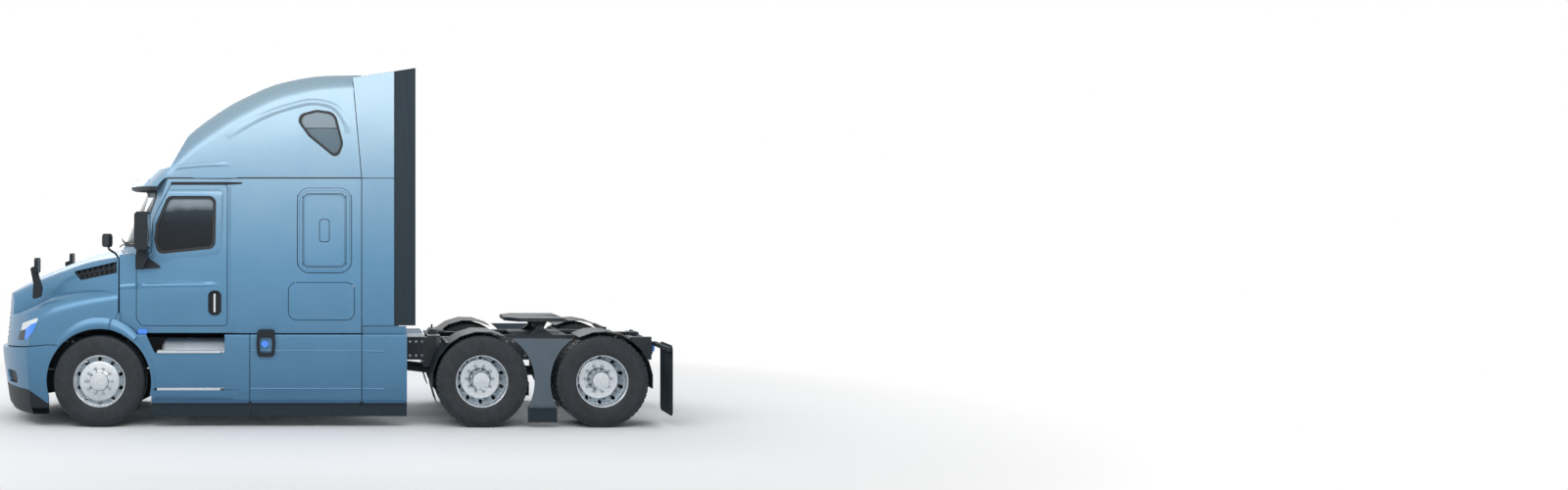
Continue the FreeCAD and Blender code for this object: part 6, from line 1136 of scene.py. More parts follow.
# Radiator core: fine aluminium fins, drawn as 6 mm upright lines where real ones are 2 mm
fins, tree, shader, where = surface("radiator_fins", Metallic=0.7, Roughness=0.5)
rows = add(tree, "ShaderNodeTexWave", {"Vector": where, "Scale": 26.0}, bands_direction="Y")
add(tree, "ShaderNodeValToRGB", {"Fac": rows.outputs["Fac"]},
    stops=[(0, "#23282c"), (1, "#59636b")],
    feeds=[shader.inputs["Base Color"]])
dressed("radiator", fins, 3)


# Tyres
# Radial truck tyres on steel bands: ribbed steer treads with straight grooves, block treads on the
# drive wheels, fine ribs round the shoulder and two raised rings on the sidewall.

TYRE_RADIUS, GROOVE_RADIUS, CARCASS_RADIUS = 505.0, 491.0, 486.0
STEER_Y, DUAL_Y, DUAL_STEP = 1062.0, 1090.0, 343.0
SIDEWALL = [
    (-118, 286.3), (-123, 296), (-126.5, 306), (-129, 322), (-131, 330), (-132.6, 331), (-133.4, 336),
    (-133.6, 350),
    (-136, 372), (-137.2, 392), (-136.6, 415), (-134.8, 428), (-135.4, 431), (-134.6, 437), (-132.6, 440),
    (-129.5, 458), (-125, 474), (-119, 487), (-112, 496), (-104, 501.6)]
RIB_GROOVES = [(-68, 6), (-24, 7), (24, 7), (68, 6)]
HOLE_REACH, NUT_REACH = 243, 143

# Tyre rubber: matt blue-black, dusty on the sidewall where a 3 mm mottle breaks up the sheen
tyre_rubber, tree, shader, where = surface("vulcanised_tyre_rubber", Roughness=0.62)
road_dust = add(tree, "ShaderNodeTexNoise", {"Vector": where, "Scale": 12.0, "Detail": 9.0})
add(tree, "ShaderNodeValToRGB", {"Fac": road_dust.outputs["Fac"]},
    stops=[(0.3, "#12171b"), (0.75, "#222a31")],
    feeds=[shader.inputs["Base Color"]])
grain = add(tree, "ShaderNodeTexNoise", {"Vector": where, "Scale": 330.0, "Detail": 3.0})
add(tree, "ShaderNodeBump", {"Height": grain.outputs["Fac"], "Strength": 0.3, "Distance": 0.0008},
    feeds=[shader.inputs["Normal"]])

# Forged aluminium wheels: machined bright faces with fine turning rings, 1 mm rings drawn 4 mm apart
wheel_metal, tree, shader, where = surface("forged_aluminium_wheel", Metallic=1.0, Roughness=0.24)
haze = add(tree, "ShaderNodeTexNoise", {"Vector": where, "Scale": 20.0, "Detail": 5.0})
add(tree, "ShaderNodeValToRGB", {"Fac": haze.outputs["Fac"]},
    stops=[(0, "#bdc4ca"), (1, "#dfe4e8")],
    feeds=[shader.inputs["Base Color"]])
add(tree, "ShaderNodeMapRange", {"Value": haze.outputs["Fac"], "To Min": 0.18, "To Max": 0.36},
    feeds=[shader.inputs["Roughness"]])


def tyre_profile(y, tread):
    left = [(y + a, b) for a, b in SIDEWALL]
    right = [(y - a, b) for a, b in reversed(SIDEWALL)]
    return left + [(y + a, b) for a, b in tread] + right


def rib_tread():
    points = [(-98, TYRE_RADIUS - 1.4)]
    for middle, half in RIB_GROOVES:
        left = [(middle - half - 1.5, TYRE_RADIUS), (middle - half, TYRE_RADIUS - 1.5), (middle - half + 2,
                                                                                         GROOVE_RADIUS)]
        points += left + [(2 * middle - y, radius) for y, radius in reversed(left)]
    return points + [(98, TYRE_RADIUS - 1.4)]


def turned(profile, x, chords):
    rows = []
    for i in range(chords):
        angle = 2 * math.pi * i / chords
        rows.append([(x + radius * math.cos(angle), y, AXLE_Z + radius * math.sin(angle)) for y,
                     radius in profile])
    return lofted(rows, closed=True)


def wheel_repeat(name):
    tree, entry = node_group(name, Sector="Geometry", Count="Int", Centre="Vector")
    points = add(tree, "GeometryNodeMeshLine", {"Count": entry["Count"], "Offset": (0, 0, 0)})
    index = add(tree, "GeometryNodeInputIndex")
    share = add(tree, "ShaderNodeMath", {0: index.outputs[0], 1: entry["Count"]}, operation="DIVIDE")
    turn = add(tree, "ShaderNodeMath", {0: share.outputs[0], 1: 2 * math.pi}, operation="MULTIPLY")
    axis = add(tree, "ShaderNodeCombineXYZ", {"Y": turn.outputs[0]})
    spread = add(tree, "GeometryNodeInstanceOnPoints", {
        "Points": points.outputs[0], "Instance": entry["Sector"], "Rotation": axis.outputs[0]})
    real = add(tree, "GeometryNodeRealizeInstances", {"Geometry": spread.outputs[0]})
    carried = add(tree, "GeometryNodeTransform", {"Geometry": real.outputs[0],
                                                  "Translation": entry["Centre"]})
    coated = add(tree, "GeometryNodeSetMaterial", {"Geometry": carried.outputs[0], "Material": tyre_rubber})
    add(tree, "NodeGroupOutput", {"Geometry": coated.outputs[0]})
    return tree


wheel_tree = wheel_repeat("repeat_round_axle")


def blocks_mesh(blocks):
    bm = bmesh.new()
    for y0, y1, r0, r1, a0, a1, skew in blocks:
        corners = []
        for r, trim in ((r0, 0.0), (r1, 0.12)):
            for y, lean in ((y0, 0.0), (y1, skew)):
                for a in (a0, a1):
                    angle = math.radians(a + lean + (trim if a == a0 else -trim))
                    corners.append(bm.verts.new(Vector((r * math.cos(angle), y, r * math.sin(angle))) * MM))
        for face in ((0, 1, 3, 2), (4, 6, 7, 5), (0, 4, 5, 1), (2, 3, 7, 6), (0, 2, 6, 4), (1, 5, 7, 3)):
            bm.faces.new([corners[i] for i in face])
    bmesh.ops.recalc_face_normals(bm, faces=bm.faces)
    return as_mesh(bm, "sector")


def repeated(name, blocks, count, centre_x, body):
    centre = (centre_x * MM, 0, AXLE_Z * MM)
    piece = grown(place(name, blocks_mesh(blocks)), wheel_tree, Count=count, Centre=centre)
    return mount(piece, tyre_rubber, body, ())


def shoulder_ribs(y):
    return [(y + side * 120, y + side * 133.2, 443, 462, -0.7, 0.7, 0.0) for side in (-1, 1)]


def tread_blocks(y):
    rows = []
    for a, b, start, skew in ((-119, -72, 0, 0.6), (-64, -8, 3.6, -1.2), (8, 64, 0.4, 1.2),
                              (72, 119, 4.0, -0.6)):
        outer = max(-a, b) > 100
        foot, top = (470, TYRE_RADIUS - 1.8) if outer else (CARCASS_RADIUS - 2, TYRE_RADIUS)
        rows.append((y + a, y + b, foot, top, start, start + 5.0, skew))
    return rows


def steer_rim_profile(y):
    return [(y + a, b) for a, b in (
        (-105, 286), (-105, 280), (-102, 276), (-90, 274.5), (-50, 274), (-44, 272), (-42, 266), (-96, 220),
        (-101, 216.5), (-104, 211), (-104, 120), (-107, 112), (-112, 105), (-130, 103), (-137, 98),
        (-140.5, 88), (-141, 0), (-0.3, 0),
        (-0.3, 45.05), (80, 45.05), (80, 195), (-90, 195), (-90, 214), (-34, 268), (-26, 274), (100, 274),
        (105, 278),
        (105, 286))]


def drive_rim_profile(y):
    return [(y + a, b) for a, b in (
        (-105, 286), (-105, 280), (-102, 276), (-90, 274.5), (16, 274), (26, 271), (32, 264), (150, 220),
        (156, 214),
        (157.5, 208), (157.5, 128), (150, 118), (136, 113), (60, 107), (40, 105), (-6, 104), (-12, 99),
        (-28, 96),
        (-35, 90), (-37, 80), (-37, 0), (-0.3, 0), (-0.3, 45.05), (448, 45.05), (448, 195), (185.5, 195),
        (185.5, 212),
        (300, 268), (312, 274), (444, 274), (448, 278), (448, 286), (238, 286), (238, 278), (242, 274),
        (300, 274),
        (296, 270), (173, 216), (170, 216), (48, 268), (44, 274), (102, 274), (105, 278), (105, 286))]


def hand_holes(rim, x, y0, y1):
    holes = [side_prism(circle(hole_x, hole_z, 21, 20), y0, y1)
             for hole_x, hole_z in circle(x, AXLE_Z, HOLE_REACH, 10, 0.5)]
    return cut(rim, merged(holes, "holes"))


def wheel_nuts(name, x, y, body):
    spots = [((nut_x, y, nut_z), (0, math.copysign(1, y), 0)) for nut_x, nut_z in circle(x, AXLE_Z,
                                                                                         NUT_REACH, 10)]
    scattered(name, bolt_tree, spots, 19.0, 24.0, zinc, body)


steer_rim = hand_holes(turned(steer_rim_profile(-STEER_Y), AXLE_X, 96), AXLE_X, -1180, -1070)
finished_pair(turned(tyre_profile(-STEER_Y, rib_tread()), AXLE_X, 180), "steer_tyre_form", tyre_rubber,
              "steer_wheel",
              ["steer_tyre"], 24)
finished_pair(steer_rim, "steer_wheel_disc", wheel_metal, "steer_wheel", ["steer_rim"], 30)
for side, hand in ((-1, "_left"), (1, "_right")):
    repeated("steer_shoulder_ribs" + hand, shoulder_ribs(side * STEER_Y), 120, AXLE_X, "steer_wheel" + hand)
    wheel_nuts("steer_nuts" + hand, AXLE_X, side * (STEER_Y + 114), "steer_wheel" + hand)
for x, axle in zip(DRIVE_X, ("_front", "_rear")):
    plain_tread = [(-98, CARCASS_RADIUS), (98, CARCASS_RADIUS)]
    carcasses = [turned(tyre_profile(shift - DUAL_Y, plain_tread), x, 120) for shift in (0, DUAL_STEP)]
    rims = hand_holes(turned(drive_rim_profile(-DUAL_Y), x, 80), x, -1092, -770)
    body = "drive_wheel" + axle
    finished_pair(merged(carcasses, "tyres"), "drive_tyre_forms" + axle, tyre_rubber, body,
                  ["drive_tyres" + axle],
                  24)
    finished_pair(rims, "drive_wheel_discs" + axle, wheel_metal, body, ["drive_rims" + axle], 30)
    for side, hand in ((-1, "_left"), (1, "_right")):
        tread, ribs = [], []
        for y in (side * DUAL_Y, side * (DUAL_Y - DUAL_STEP)):
            tread += tread_blocks(y)
            ribs += shoulder_ribs(y)
        repeated("drive_tread" + axle + hand, tread, 50, x, body + hand)
        repeated("drive_shoulder_ribs" + axle + hand, ribs, 120, x, body + hand)
        wheel_nuts("drive_nuts" + axle + hand, x, side * (DUAL_Y - 147), body + hand)


# Inside the cab
# Two air-sprung seats with stuffed woven covers on pedestals, and a moulded dashboard with the
# steering wheel in front of the driver.

SEAT_X, SEAT_Y, SEAT_FLOOR_Z = -1640.0, 520.0, 1080.0


def cushion(x0, x1, y0, y1, z0, z1, crown, across="z", steps=14):
    middle = Vector(((x0 + x1) / 2, (y0 + y1) / 2, (z0 + z1) / 2))
    half = Vector(((x1 - x0) / 2, (y1 - y0) / 2, (z1 - z0) / 2))
    bm = bmesh.new()
    bmesh.ops.create_cube(bm, size=2.0)
    bmesh.ops.subdivide_edges(bm, edges=bm.edges[:], cuts=steps, use_grid_fill=True)
    flat = "xyz".index(across)
    along = [i for i in range(3) if i != flat]
    for vertex in bm.verts:
        point = vertex.co.copy()
        edge = max(abs(point[i]) for i in along)
        swell = (1 - point[along[0]] ** 2) * (1 - point[along[1]] ** 2)
        soft = point.lerp(Vector([math.copysign(abs(c) ** 0.8, c) for c in point.normalized()]), 0.16)
        soft[flat] = point[flat] * (0.82 + 0.18 * (1 - edge ** 6)) * (1 + crown * swell)
        vertex.co = (middle + Vector([soft[i] * half[i] for i in range(3)])) * MM
    return place("cushion", as_mesh(bm, "cushion"))


# Seat cloth: dark blue-grey woven fabric, a 6 mm weave where the real one is 2 mm
seat_cloth, tree, shader, where = surface("woven_seat_cloth", Roughness=0.85)
weft = add(tree, "ShaderNodeTexWave", {"Vector": where, "Scale": 50.0}, bands_direction="X")
warp = add(tree, "ShaderNodeTexWave", {"Vector": where, "Scale": 50.0}, bands_direction="Y")
weave = add(tree, "ShaderNodeMath", {0: weft.outputs["Fac"], 1: warp.outputs["Fac"]}, operation="MULTIPLY")
add(tree, "ShaderNodeValToRGB", {"Fac": weave.outputs[0]},
    stops=[(0, "#2a3036"), (1, "#424b53")],
    feeds=[shader.inputs["Base Color"]])
shader.inputs["Sheen Weight"].default_value = 0.3
add(tree, "ShaderNodeBump", {"Height": weave.outputs[0], "Strength": 0.4, "Distance": 0.001},
    feeds=[shader.inputs["Normal"]])

# Dashboard skin: soft dark grey moulding with a leather-like grain of about 4 mm
dash_skin, tree, shader, where = surface("grained_dashboard_skin", Roughness=0.6)
hide = add(tree, "ShaderNodeTexVoronoi", {"Vector": where, "Scale": 240.0})
add(tree, "ShaderNodeValToRGB", {"Fac": hide.outputs["Distance"]},
    stops=[(0, "#22272b"), (1, "#2f353a")],
    feeds=[shader.inputs["Base Color"]])
add(tree, "ShaderNodeBump", {"Height": hide.outputs["Distance"], "Strength": 0.3, "Distance": 0.0008},
    feeds=[shader.inputs["Normal"]])

for side, hand in ((-1, "left"), (1, "right")):
    x, y = SEAT_X, side * SEAT_Y
    pads = [("seat_%s_cushion" % hand, cushion(x + 4, x + 496, y - 256, y + 256, 1440, 1566, 0.10), 0.7),
            ("seat_%s_backrest" % hand, cushion(x + 357, x + 483, y - 234, y + 234, 1552, 2080, 0.14, "x"),
             0.7),
            ("seat_%s_headrest" % hand, cushion(x + 372, x + 472, y - 150, y + 150, 2100, 2326, 0.16, "x"),
             0.8)]
    for number, edge in enumerate((y - 196, y + 196)):
        pads.append(("seat_bolster_%s_%d" % (hand, number),
                     cushion(x + 330, x + 400, edge - 34, edge + 34, 1600, 2040, 0.1, "x", 8), 0.8))
    for name, piece, fill in pads:
        piece.name = name
        smoothed(piece.data, 60)
        mount(piece, seat_cloth, "chassis", ())
foot = [(SEAT_X + 100, SEAT_FLOOR_Z), (SEAT_X + 400, SEAT_FLOOR_Z), (SEAT_X + 370, SEAT_FLOOR_Z + 352),
        (SEAT_X + 130, SEAT_FLOOR_Z + 352)]
pedestal = side_prism(foot, -SEAT_Y - 130, -SEAT_Y + 130, 18)
finished(both_sides([pedestal], "pedestals"), "seat_pedestals", black_plastic, "chassis", ["seats"],
         30)
dressed("dashboard", dash_skin, 8, 50)


# Sun visor and marker lamps
# The visor is a painted wing over the screen with a black lower lip, which is painted shade standing for its
# shaded underside; five blue lenses sit flush in its front, and small blue lenses mark the sills and the
# tail.

VISOR_HALF, VISOR_RADIUS, VISOR_FRONT_X, VISOR_BASE_Z, VISOR_LIP_TOP_Z = 1085, 1900, -2300, 2600, 2648
VISOR_SHARES = [
    (0, .07), (0, .19), (.2, .45), (.55, .85), (.78, 1), (1, 1), (1, .82), (.72, .8), (.3, .3), (.14, 0)]


def visor_form(grow=0.0):
    rings = []
    for i in range(37):
        y = VISOR_HALF * (2 * i / 36 - 1) * (1 + grow / 3000)
        front = VISOR_FRONT_X + VISOR_RADIUS - math.sqrt(VISOR_RADIUS ** 2 - y ** 2)
        points = [Vector((front + 360 * a, VISOR_BASE_Z + 290 * b)) for a, b in VISOR_SHARES]
        middle = Vector((front + 170, VISOR_BASE_Z + 170))
        points = [tuple(point + (point - middle).normalized() * grow) for point in points]
        rings.append([(x, y, z) for x, z in rounded(points, 16, 4)])
    return lofted(rings)


visor = cut(visor_form(), joined(cab_form(-0.3), roof_form(-0.3)))
# The black lower lip is painted shade: it stands for the shade on the visor's underside
lip_zone = side_prism(oblong(-2500, -1500, VISOR_BASE_Z - 10, VISOR_LIP_TOP_Z))
finished(common(copied(visor), copied(lip_zone)), "visor_lip", black_plastic, "chassis", [])
finished(cut(visor, lip_zone), "visor_wing", paint, "chassis", ["sun_visor"])
lamps = [common(cut(visor_form(9), visor_form(-6)), front_prism(oblong(y - 52, y + 52, 2668, 2752), -2400,
                                                                -1990, 18))
         for y in (-900, -300, 0, 300, 900)]
small_lamps = [front_prism(circle(y, 800, 50, 40), 3727.5, 3768) for y in (-293, -158)]
small_lamps.append(side_prism([(-2085, 1024), (-1985, 1024), (-1975, 1052), (-1990, 1078), (-2080, 1078)],
                              -1173, -1151, 10))
finished(merged(lamps + [both_sides(small_lamps, "small_lamps")], "lamps"), "marker_lenses", blue_lens,
         "chassis",
         ["marker_lamps"], 40, 3)


# Headlamps
# Each lamp is one swept unit: a clear upper lens, a dark lower inner housing and a blue reflector
# along the lower rear edge, behind a common outline in the fender.

# Dark lamp housing: glossy black-grey plastic behind the lens
lamp_housing, tree, shader, where = surface("dark_lamp_housing", Roughness=0.18)
steps = add(tree, "ShaderNodeTexWave", {"Vector": where, "Scale": 22.0}, bands_direction="Z")
add(tree, "ShaderNodeValToRGB", {"Fac": steps.outputs["Fac"]},
    stops=[(0, "#10171d"), (1, "#2c3943")],
    feeds=[shader.inputs["Base Color"]])


CLEAR_ZONE = [(-3480, 1020), (-3330, 1075), (-3255, 1130), (-3120, 1180), (-3120, 1260), (-3480, 1260)]
BLUE_ZONE = [(-3352, 900), (-3333, 1074), (-3255, 1130), (-3120, 1180), (-3120, 900)]
DARK_ZONE = [(-3480, 900), (-3352, 900), (-3333, 1074), (-3480, 1020)]
lamp_body = common(cut(hood_form(SEAT), hood_form(SEAT + 60)), joined(*sides_prism(lamp_ring(-2), 600, 16)))
for zone, name, material, nodes, slot in (
        (CLEAR_ZONE, "headlamp_lenses", clear_lens, ["headlights"], "lamp_lens"),
        (BLUE_ZONE, "headlamp_reflectors", blue_lens, [], "marker_blue"),
        (DARK_ZONE, "headlamp_housings", lamp_housing, [], "black_plastic")):
    finished(common(copied(lamp_body), joined(*sides_prism(zone, 500, 0))), name, material, "hood", nodes,
             30, 2)
dropped(lamp_body)


# Arch lips
# A thick painted flare runs round each front arch: over the fender on the hood, and on past its seam
# on the cab corner. It stands out most at the wheel and dies away into the panel.

LIP_SECTION = [(0.0, -46), (0.0, 16.12), (0.12, 24.18), (0.3, 26), (0.5, 22.36), (0.7, 13), (0.86, 4.16),
               (1.0, -3.64)]
LIP_RADIUS, HOOD_LIP_END, REAR_LIP_START = ARCH_RADIUS + 0.8, 80.2, 78.4


def skin_of(*names):
    points, faces = [], []
    for name in names:
        mesh = bpy.data.objects[name].data
        faces += [[i + len(points) for i in polygon.vertices] for polygon in mesh.polygons]
        points += [vertex.co.copy() for vertex in mesh.vertices]
    return BVHTree.FromPolygons(points, faces)


def skin_y(tree, x, z):
    hit = tree.ray_cast(Vector((x, -3000, z)) * MM, Vector((0, 1, 0)))[0]
    return hit.y / MM if hit else None


def hood_y(x, z, angle):
    for shift in range(0, 200, 6):
        found = skin_y(hood_skin, min(x, -2312 - shift / 4), z + shift)
        if found is not None and found < -900:
            return found
    return -1180


def corner_y(x, z, angle):
    return -1180 - 60 * min(max((math.radians(REAR_LIP_START) - angle) / 0.5, 0), 1)


def arch_lip(first, last, steps, surface_y):
    rings = []
    for i in range(steps + 1):
        angle = math.radians(first + (last - first) * i / steps)
        width = 52 + 78 * max(math.sin(angle), 0) ** 3
        section = [(LIP_RADIUS + width * share, out) for share, out in LIP_SECTION] + [(ARCH_RADIUS + width,
                                                                                        -30)]
        spots = [(AXLE_X + radius * math.cos(angle), AXLE_Z + radius * math.sin(angle), out) for radius,
                 out in section]
        rings.append([(x, surface_y(x, z, angle) - out, z) for x, z, out in spots])
    return lofted(rings)


hood_skin = skin_of("hood_panel")
hood_lip = arch_lip(139, HOOD_LIP_END, 60, hood_y)
rear_lip = cut(arch_lip(REAR_LIP_START, 50, 30, corner_y), side_prism(oblong(-2400, -2000, 1024, 1033),
                                                                      -1400, -1251))
finished(both_sides([hood_lip], "lips"), "fender_lips", paint, "hood", [], 35)
finished(both_sides([rear_lip], "lips"), "cab_corner_lips", paint, "chassis", [], 35)


# Hood mirrors
# A broad flat blade carries a tall mirror by each front fender, and a bent tube carries a rounded
# square one by each rear corner of the hood. Housings are black, the glass faces the driver.

# Mirror glass: bright silvered glass with the faintest haze
mirror_glass, tree, shader, where = surface("silvered_mirror_glass", Metallic=1.0, Roughness=0.04)
haze = add(tree, "ShaderNodeTexNoise", {"Vector": where, "Scale": 18.0, "Detail": 3.0})
add(tree, "ShaderNodeValToRGB", {"Fac": haze.outputs["Fac"]},
    stops=[(0, "#aab4bc"), (1, "#c9d1d7")],
    feeds=[shader.inputs["Base Color"]])


def tube(points, radius, sides=14):
    rings = []
    spine = [Vector(point) for point in points]
    for i, point in enumerate(spine):
        ahead = (spine[min(i + 1, len(spine) - 1)] - spine[max(i - 1, 0)]).normalized()
        across = ahead.cross(Vector((0, 1, 0.2))).normalized()
        upward = ahead.cross(across)
        turns = [2 * math.pi * k / sides for k in range(sides)]
        rings.append([point + (across * math.cos(turn) + upward * math.sin(turn)) * radius for turn in turns])
    return lofted(rings)


blade = [(-3272, 1395), (-3175, 1425), (-3160, 1520), (-3205, 1672), (-3213, 1776), (-3296, 1746),
         (-3262, 1570)]
square = front_prism(oblong(-1205, -1052, 1977, 2126), -2452, -2398, 44)
toe_in = Matrix.Rotation(math.radians(38), 4, "Z")
pivot = Vector((-2425, -1128, 0)) * MM
for vertex in square.data.vertices:
    vertex.co = pivot + toe_in @ (vertex.co - pivot)
housings = [side_prism(blade, -1030, -985, 20), front_prism(oblong(-1125, -955, 1690, 1858), -3232, -3192,
                                                            34), square,
            tube([(-2415, -1120, 1982), (-2405, -1110, 1950), (-2340, -1080, 1905), (-2322, -1050, 1870),
                  (-2312, -1045, 1770)], 12)]
finished(both_sides(housings, "housings"), "hood_mirror_housings", black_plastic, "hood", ["hood_mirrors"],
         40, 6)


# Door handles, door mirrors, filler housing and drip rails
# Each door has a black oval cup with an upright chrome grip, and a tall black mirror on a moulded foot.
# The filler housing is a black surround with a blue cap, and a black gutter strip runs over each door;
# the strip is a real rail, and its black is also painted shade for the shadow under the roof's overhang.

# Chrome: mirror-bright plating with faint waviness
chrome, tree, shader, where = surface("chrome_plate", Metallic=1.0, Roughness=0.08)
haze = add(tree, "ShaderNodeTexNoise", {"Vector": where, "Scale": 40.0, "Detail": 2.0})
add(tree, "ShaderNodeValToRGB", {"Fac": haze.outputs["Fac"]},
    stops=[(0, "#cfd6dc"), (1, "#eef2f5")],
    feeds=[shader.inputs["Base Color"]])

liner = cut(side_prism(CUP_RING, -1160, -1123, 62, 10), side_prism(oblong(-1298, -1182, 1242, 1488), -1400,
                                                                   -1138, 50, 10))
finished_pair(liner, "handle_cup", black_plastic, "door", [], 35, 3)
grip = joined(side_prism(oblong(-1250, -1230, 1262, 1468), -1168, -1152, 9, 6),
              side_prism(oblong(-1249, -1231, 1268, 1296), -1160, -1130, 4),
              side_prism(oblong(-1249, -1231, 1434, 1462), -1160, -1130, 4))
finished_pair(grip, "handle_grip", chrome, "door", [], 40, 4)
mirror_head = [(-2080, 1985), (-2060, 1957), (-1950, 1957), (-1934, 1985), (-1933, 2345), (-1950, 2369),
               (-2052, 2369),
               (-2078, 2340)]
mirror_arm = [(-2070, 2040), (-1975, 2040), (-1962, 1850), (-2010, 1750), (-2075, 1750)]
mirror_foot = [(-2106, 1733), (-1818, 1752), (-1985, 1876), (-2040, 1980), (-2090, 1970), (-2106, 1880)]
mirror = joined(side_prism(mirror_head, -1489, -1240, 14), side_prism(mirror_arm, -1300, -1168, 14),
                side_prism(mirror_foot, -1190, -1142, 12))
finished_pair(mirror, "door_mirror", black_plastic, "door", ["door_fittings"], 40, 12)
face = front_prism(oblong(-1470, -1260, 1990, 2340), -1936.5, -1930, 26)
finished_pair(face, "door_mirror_glass", mirror_glass, "door", [], 30)
filler_outer = [(-764, 800), (-744, 782), (-600, 782), (-578, 804), (-568, 930), (-580, 1062), (-602, 1078),
                (-742, 1078), (-764, 1060), (-776, 930)]
filler_inner = [(-734, 826), (-610, 826), (-602, 930), (-610, 992), (-734, 992), (-742, 930)]
house = cut(side_prism(filler_outer, -1268, -1180, 26, 6), side_prism(filler_inner, -1500, -1226, 26, 6))
house = joined(house, side_prism([(-742, 1000), (-604, 1000), (-612, 1050), (-732, 1050)], -1276, -1250, 16))
finished(cut(house, cab_form(-3)), "filler_surround", black_plastic, "chassis", ["filler_housing"],
         35, 5)
cap_grip = side_prism(oblong(-694, -674, 880, 960), -1266, -1250, 8)
cap = joined(side_prism([(-684 + 38 * a, 922 + 33 * b) for a, b in circle(0, 0, 1, 36)], -1258, -1220),
             cap_grip)
finished(cap, "filler_cap", blue_lens, "chassis", [], 40, 4)
# Gutter strip over each door: a real rail whose black is also painted shade under the roof's overhang
rail = lofted([[(-1722, -1118, 2664), (-1722, -1142, 2666), (-1722, -1148, 2690), (-1722, -1120, 2696)],
               [(-1120, -1118, 2664), (-1120, -1142, 2666), (-1120, -1148, 2690), (-1120, -1120, 2696)],
               [(-940, -1150, 2668), (-940, -1190, 2672), (-940, -1194, 2690), (-940, -1150, 2694)]])
roof_line = cut(common(cab_form(-1.6, True), side_prism(oblong(-2400, 372, 2729, 2744))), cab_form(8, True))
finished(merged([both_sides([rail], "rails"), roof_line], "rails"), "drip_rails_and_roof_seam", seal_rubber,
         "chassis", [], 35)


# Pressed creases and panel seams
# The sheet steel carries soft pressed creases: a brow over the roof window, one low on the roof and two
# along the fairing. Thin dark seams divide the rear extenders from the cab and from each other, and dark
# lines along the sleeper's embossed grooves are painted shade in those grooves.


def smooth_path(corners, chords=10):
    spine = [Vector((x, 0, z)) for x, z in corners]
    spine = [2 * spine[0] - spine[1]] + spine + [2 * spine[-1] - spine[-2]]
    path = []
    for a, b, c, d in zip(spine, spine[1:], spine[2:], spine[3:]):
        for i in range(chords):
            t = i / chords
            bend, twist = 2 * a - 5 * b + 4 * c - d, 3 * b - a - 3 * c + d
            path.append(0.5 * (2 * b + (c - a) * t + bend * t * t + twist * t ** 3))
    return path + [spine[-2]]


def crease(tree, corners, half, rise, ends=(1.0, 1.0), chords=10):
    path = smooth_path(corners, chords)
    rings, known = [], -1180.0
    for i, point in enumerate(path):
        ahead = (path[min(i + 1, len(path) - 1)] - path[max(i - 1, 0)]).normalized()
        across = Vector((-ahead.z, 0, ahead.x))
        share = i / (len(path) - 1)
        height = rise * min(1, share * 5 + ends[0], (1 - share) * 5 + ends[1])
        row = []
        for s, out in ((-1, -0.12), (-0.66, 0.3), (-0.3, 0.85), (0, 1), (0.3, 0.85), (0.66, 0.3), (1, -0.12)):
            spot = point + across * half * s
            y = skin_y(tree, spot.x, spot.z)
            if y is None or y > -850:
                y = row[-1][1] if row else known
            known = y
            row.append((spot.x, y - out * height, spot.z))
        rings.append(row + [(row[-1][0], row[-1][1] + 3, row[-1][2]), (row[0][0], row[0][1] + 3, row[0][2])])
    return lofted(rings)


side_skin = skin_of("cab_panels", "roof_cap", "side_extenders_piece", "side_fairing_panels")
brow = [(-1113, 3186), (-724, 3408), (-376, 3531), (-131, 3571), (90, 3506), (204, 3334), (222, 3220)]
creases = [crease(side_skin, brow, 44, 9, (0, 0)),
           crease(side_skin, [(-1690, 2846), (-1560, 2866), (-1330, 2883), (-1066, 2887)], 30, 8, (0, 0)),
           crease(side_skin, [(-1052, 1120), (-1052, 1900), (-1052, 2640)], 44, 8)]
for z, end_z in ((843, 838), (428, 424)):
    creases += [crease(side_skin, [(-838, z), (-300, z), (366, z)], 12, 6),
                crease(side_skin, [(386, z), (620, end_z)], 12, 6)]
finished(both_sides(creases, "creases"), "pressed_creases", paint, "chassis", [], 50)
door_line = [(-2040, 1552), (-1800, 1560), (-1500, 1564), (-1180, 1566)]
door_crease = crease(skin_of("door_panel_left"), door_line, 34, 11, (1, 0))
finished_pair(door_crease, "door_crease", paint, "door", [], 50)
cowl = crease(side_skin, [(-2290, 1535), (-2200, 1545), (-2090, 1550)], 34, 11)
finished(both_sides([cowl], "cowl"), "cowl_creases", paint, "chassis", [], 50)
seams = [crease(side_skin, line, 5, 1.5) for line in (
    [(376, 1040), (376, 1900), (376, 2735)], [(376, 2735), (330, 3240), (280, 3790)],
    [(380, 2735), (600, 2735), (760, 2735)])]
# Dark lines round the embossed panel: painted shade in its pressed grooves
for length, height, corner in ((595, 928, 134), (475, 808, 74), (107, 246, 30)):
    ring = rounded(centred(*EMBOSS, length, height), corner, 6)
    seams.append(crease(side_skin, [tuple(point) for point in ring + ring[:2]], 4, 1.2, chords=3))
finished(both_sides(seams, "seams"), "extender_seams", seal_rubber, "chassis", [], 50)


# Hidden backings
# Black liners stand in the wheel arches, dark mesh closes the bumper's openings and the vents, and
# rubber strips lie behind the fairing seams, so no daylight shows through a gap.

LINER_ARCS = ((576, range(58, 123, 4)), (570, range(122, 57, -4)))

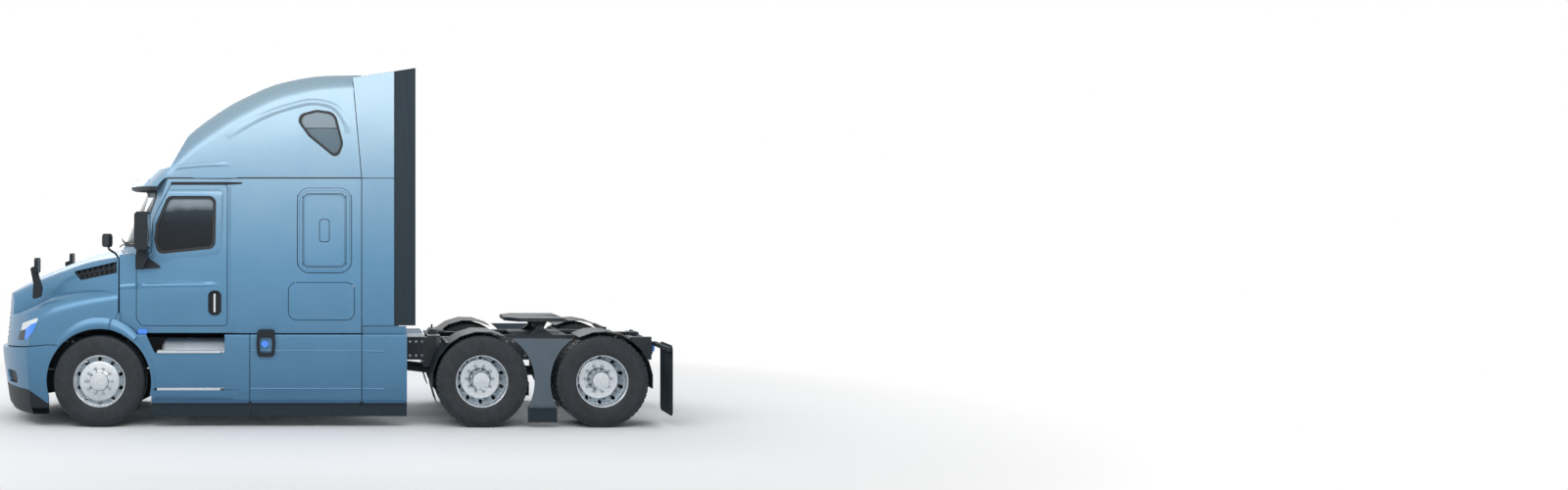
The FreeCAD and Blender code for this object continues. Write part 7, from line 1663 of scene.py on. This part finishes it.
liner_ring = [(AXLE_X + radius * math.cos(math.radians(angle)),
               AXLE_Z + radius * math.sin(math.radians(angle)))
              for radius, angles in LINER_ARCS for angle in angles]
liner_zone = side_prism(oblong(FRONT_X, -2392, SEAM_BACK[1] + 12, 1300))
finished(common(both_sides([side_prism(liner_ring, -1138, -660)], "liners"), liner_zone), "arch_liners",
         black_plastic, "hood", [], 40)
backing = common(cut(bumper_form(BUMPER_WALL + 1), bumper_form(BUMPER_WALL + 7)),
                 joined(*bumper_openings(15, 0)))
sockets = [front_prism(circle(y, 560, 41, 24), FRONT_X - BEYOND, -3200) for y in (-387.5, 387.5)]
finished(cut(backing, *sockets), "bumper_mesh", black_plastic, "chassis", [], 40)
vent_backing = common(cut(hood_form(26), hood_form(30)), joined(*sides_prism(vent_ring(-4), 500, 12)))
finished(vent_backing, "vent_mesh", black_plastic, "hood", (), 40)
grille_backing = common(cut(hood_form(46), hood_form(50)), front_prism(grille_ring(-8), FRONT_X - BEYOND,
                                                                       -3300, 50, 10))
finished(grille_backing, "grille_mesh", black_plastic, "hood", (), 40)
strips = [side_prism(oblong(x - 22, x + 22, 268, 1018), -1209, -1203) for x in (-849, 376)]
finished(both_sides(strips, "strips"), "fairing_seam_strips", rubber_sheet, "chassis", [], 40)
sill = side_prism(oblong(384, 866, 1004, 1110), -1162, -1150, 6)
finished(both_sides([sill], "sills"), "rear_sill_plates", paint, "chassis", [], 40)


# Wipers
# Two long rubber blades in pressed steel frames lie low on the screen. Each hangs on a bent steel
# arm that turns on the cowl.

SCREEN_BEND = 1845

wipers = []
for y0, y1 in ((-240, -900), (480, -180)):
    rows = []
    for share in (0, 0.35, 0.7, 1.0):
        y = y0 + (y1 - y0) * share
        bow = SCREEN_FRONT_X + SCREEN_BEND - math.sqrt(SCREEN_BEND ** 2 - y ** 2)
        rows.append((bow - 22 + 30 * share, y, 1962 + 70 * share))
    wipers.append(tube(rows, 7, 10))
    inner, middle, outer = rows[1:]
    arm = [(inner[0] - 8, inner[1] + 150, inner[2] + 4), (middle[0] - 4, middle[1], middle[2] + 10),
           (outer[0], outer[1] - 60, outer[2] + 22)]
    wipers.append(tube(arm, 5, 8))
finished(merged(wipers, "wipers"), "screen_wipers", black_plastic, "chassis", (), 40)
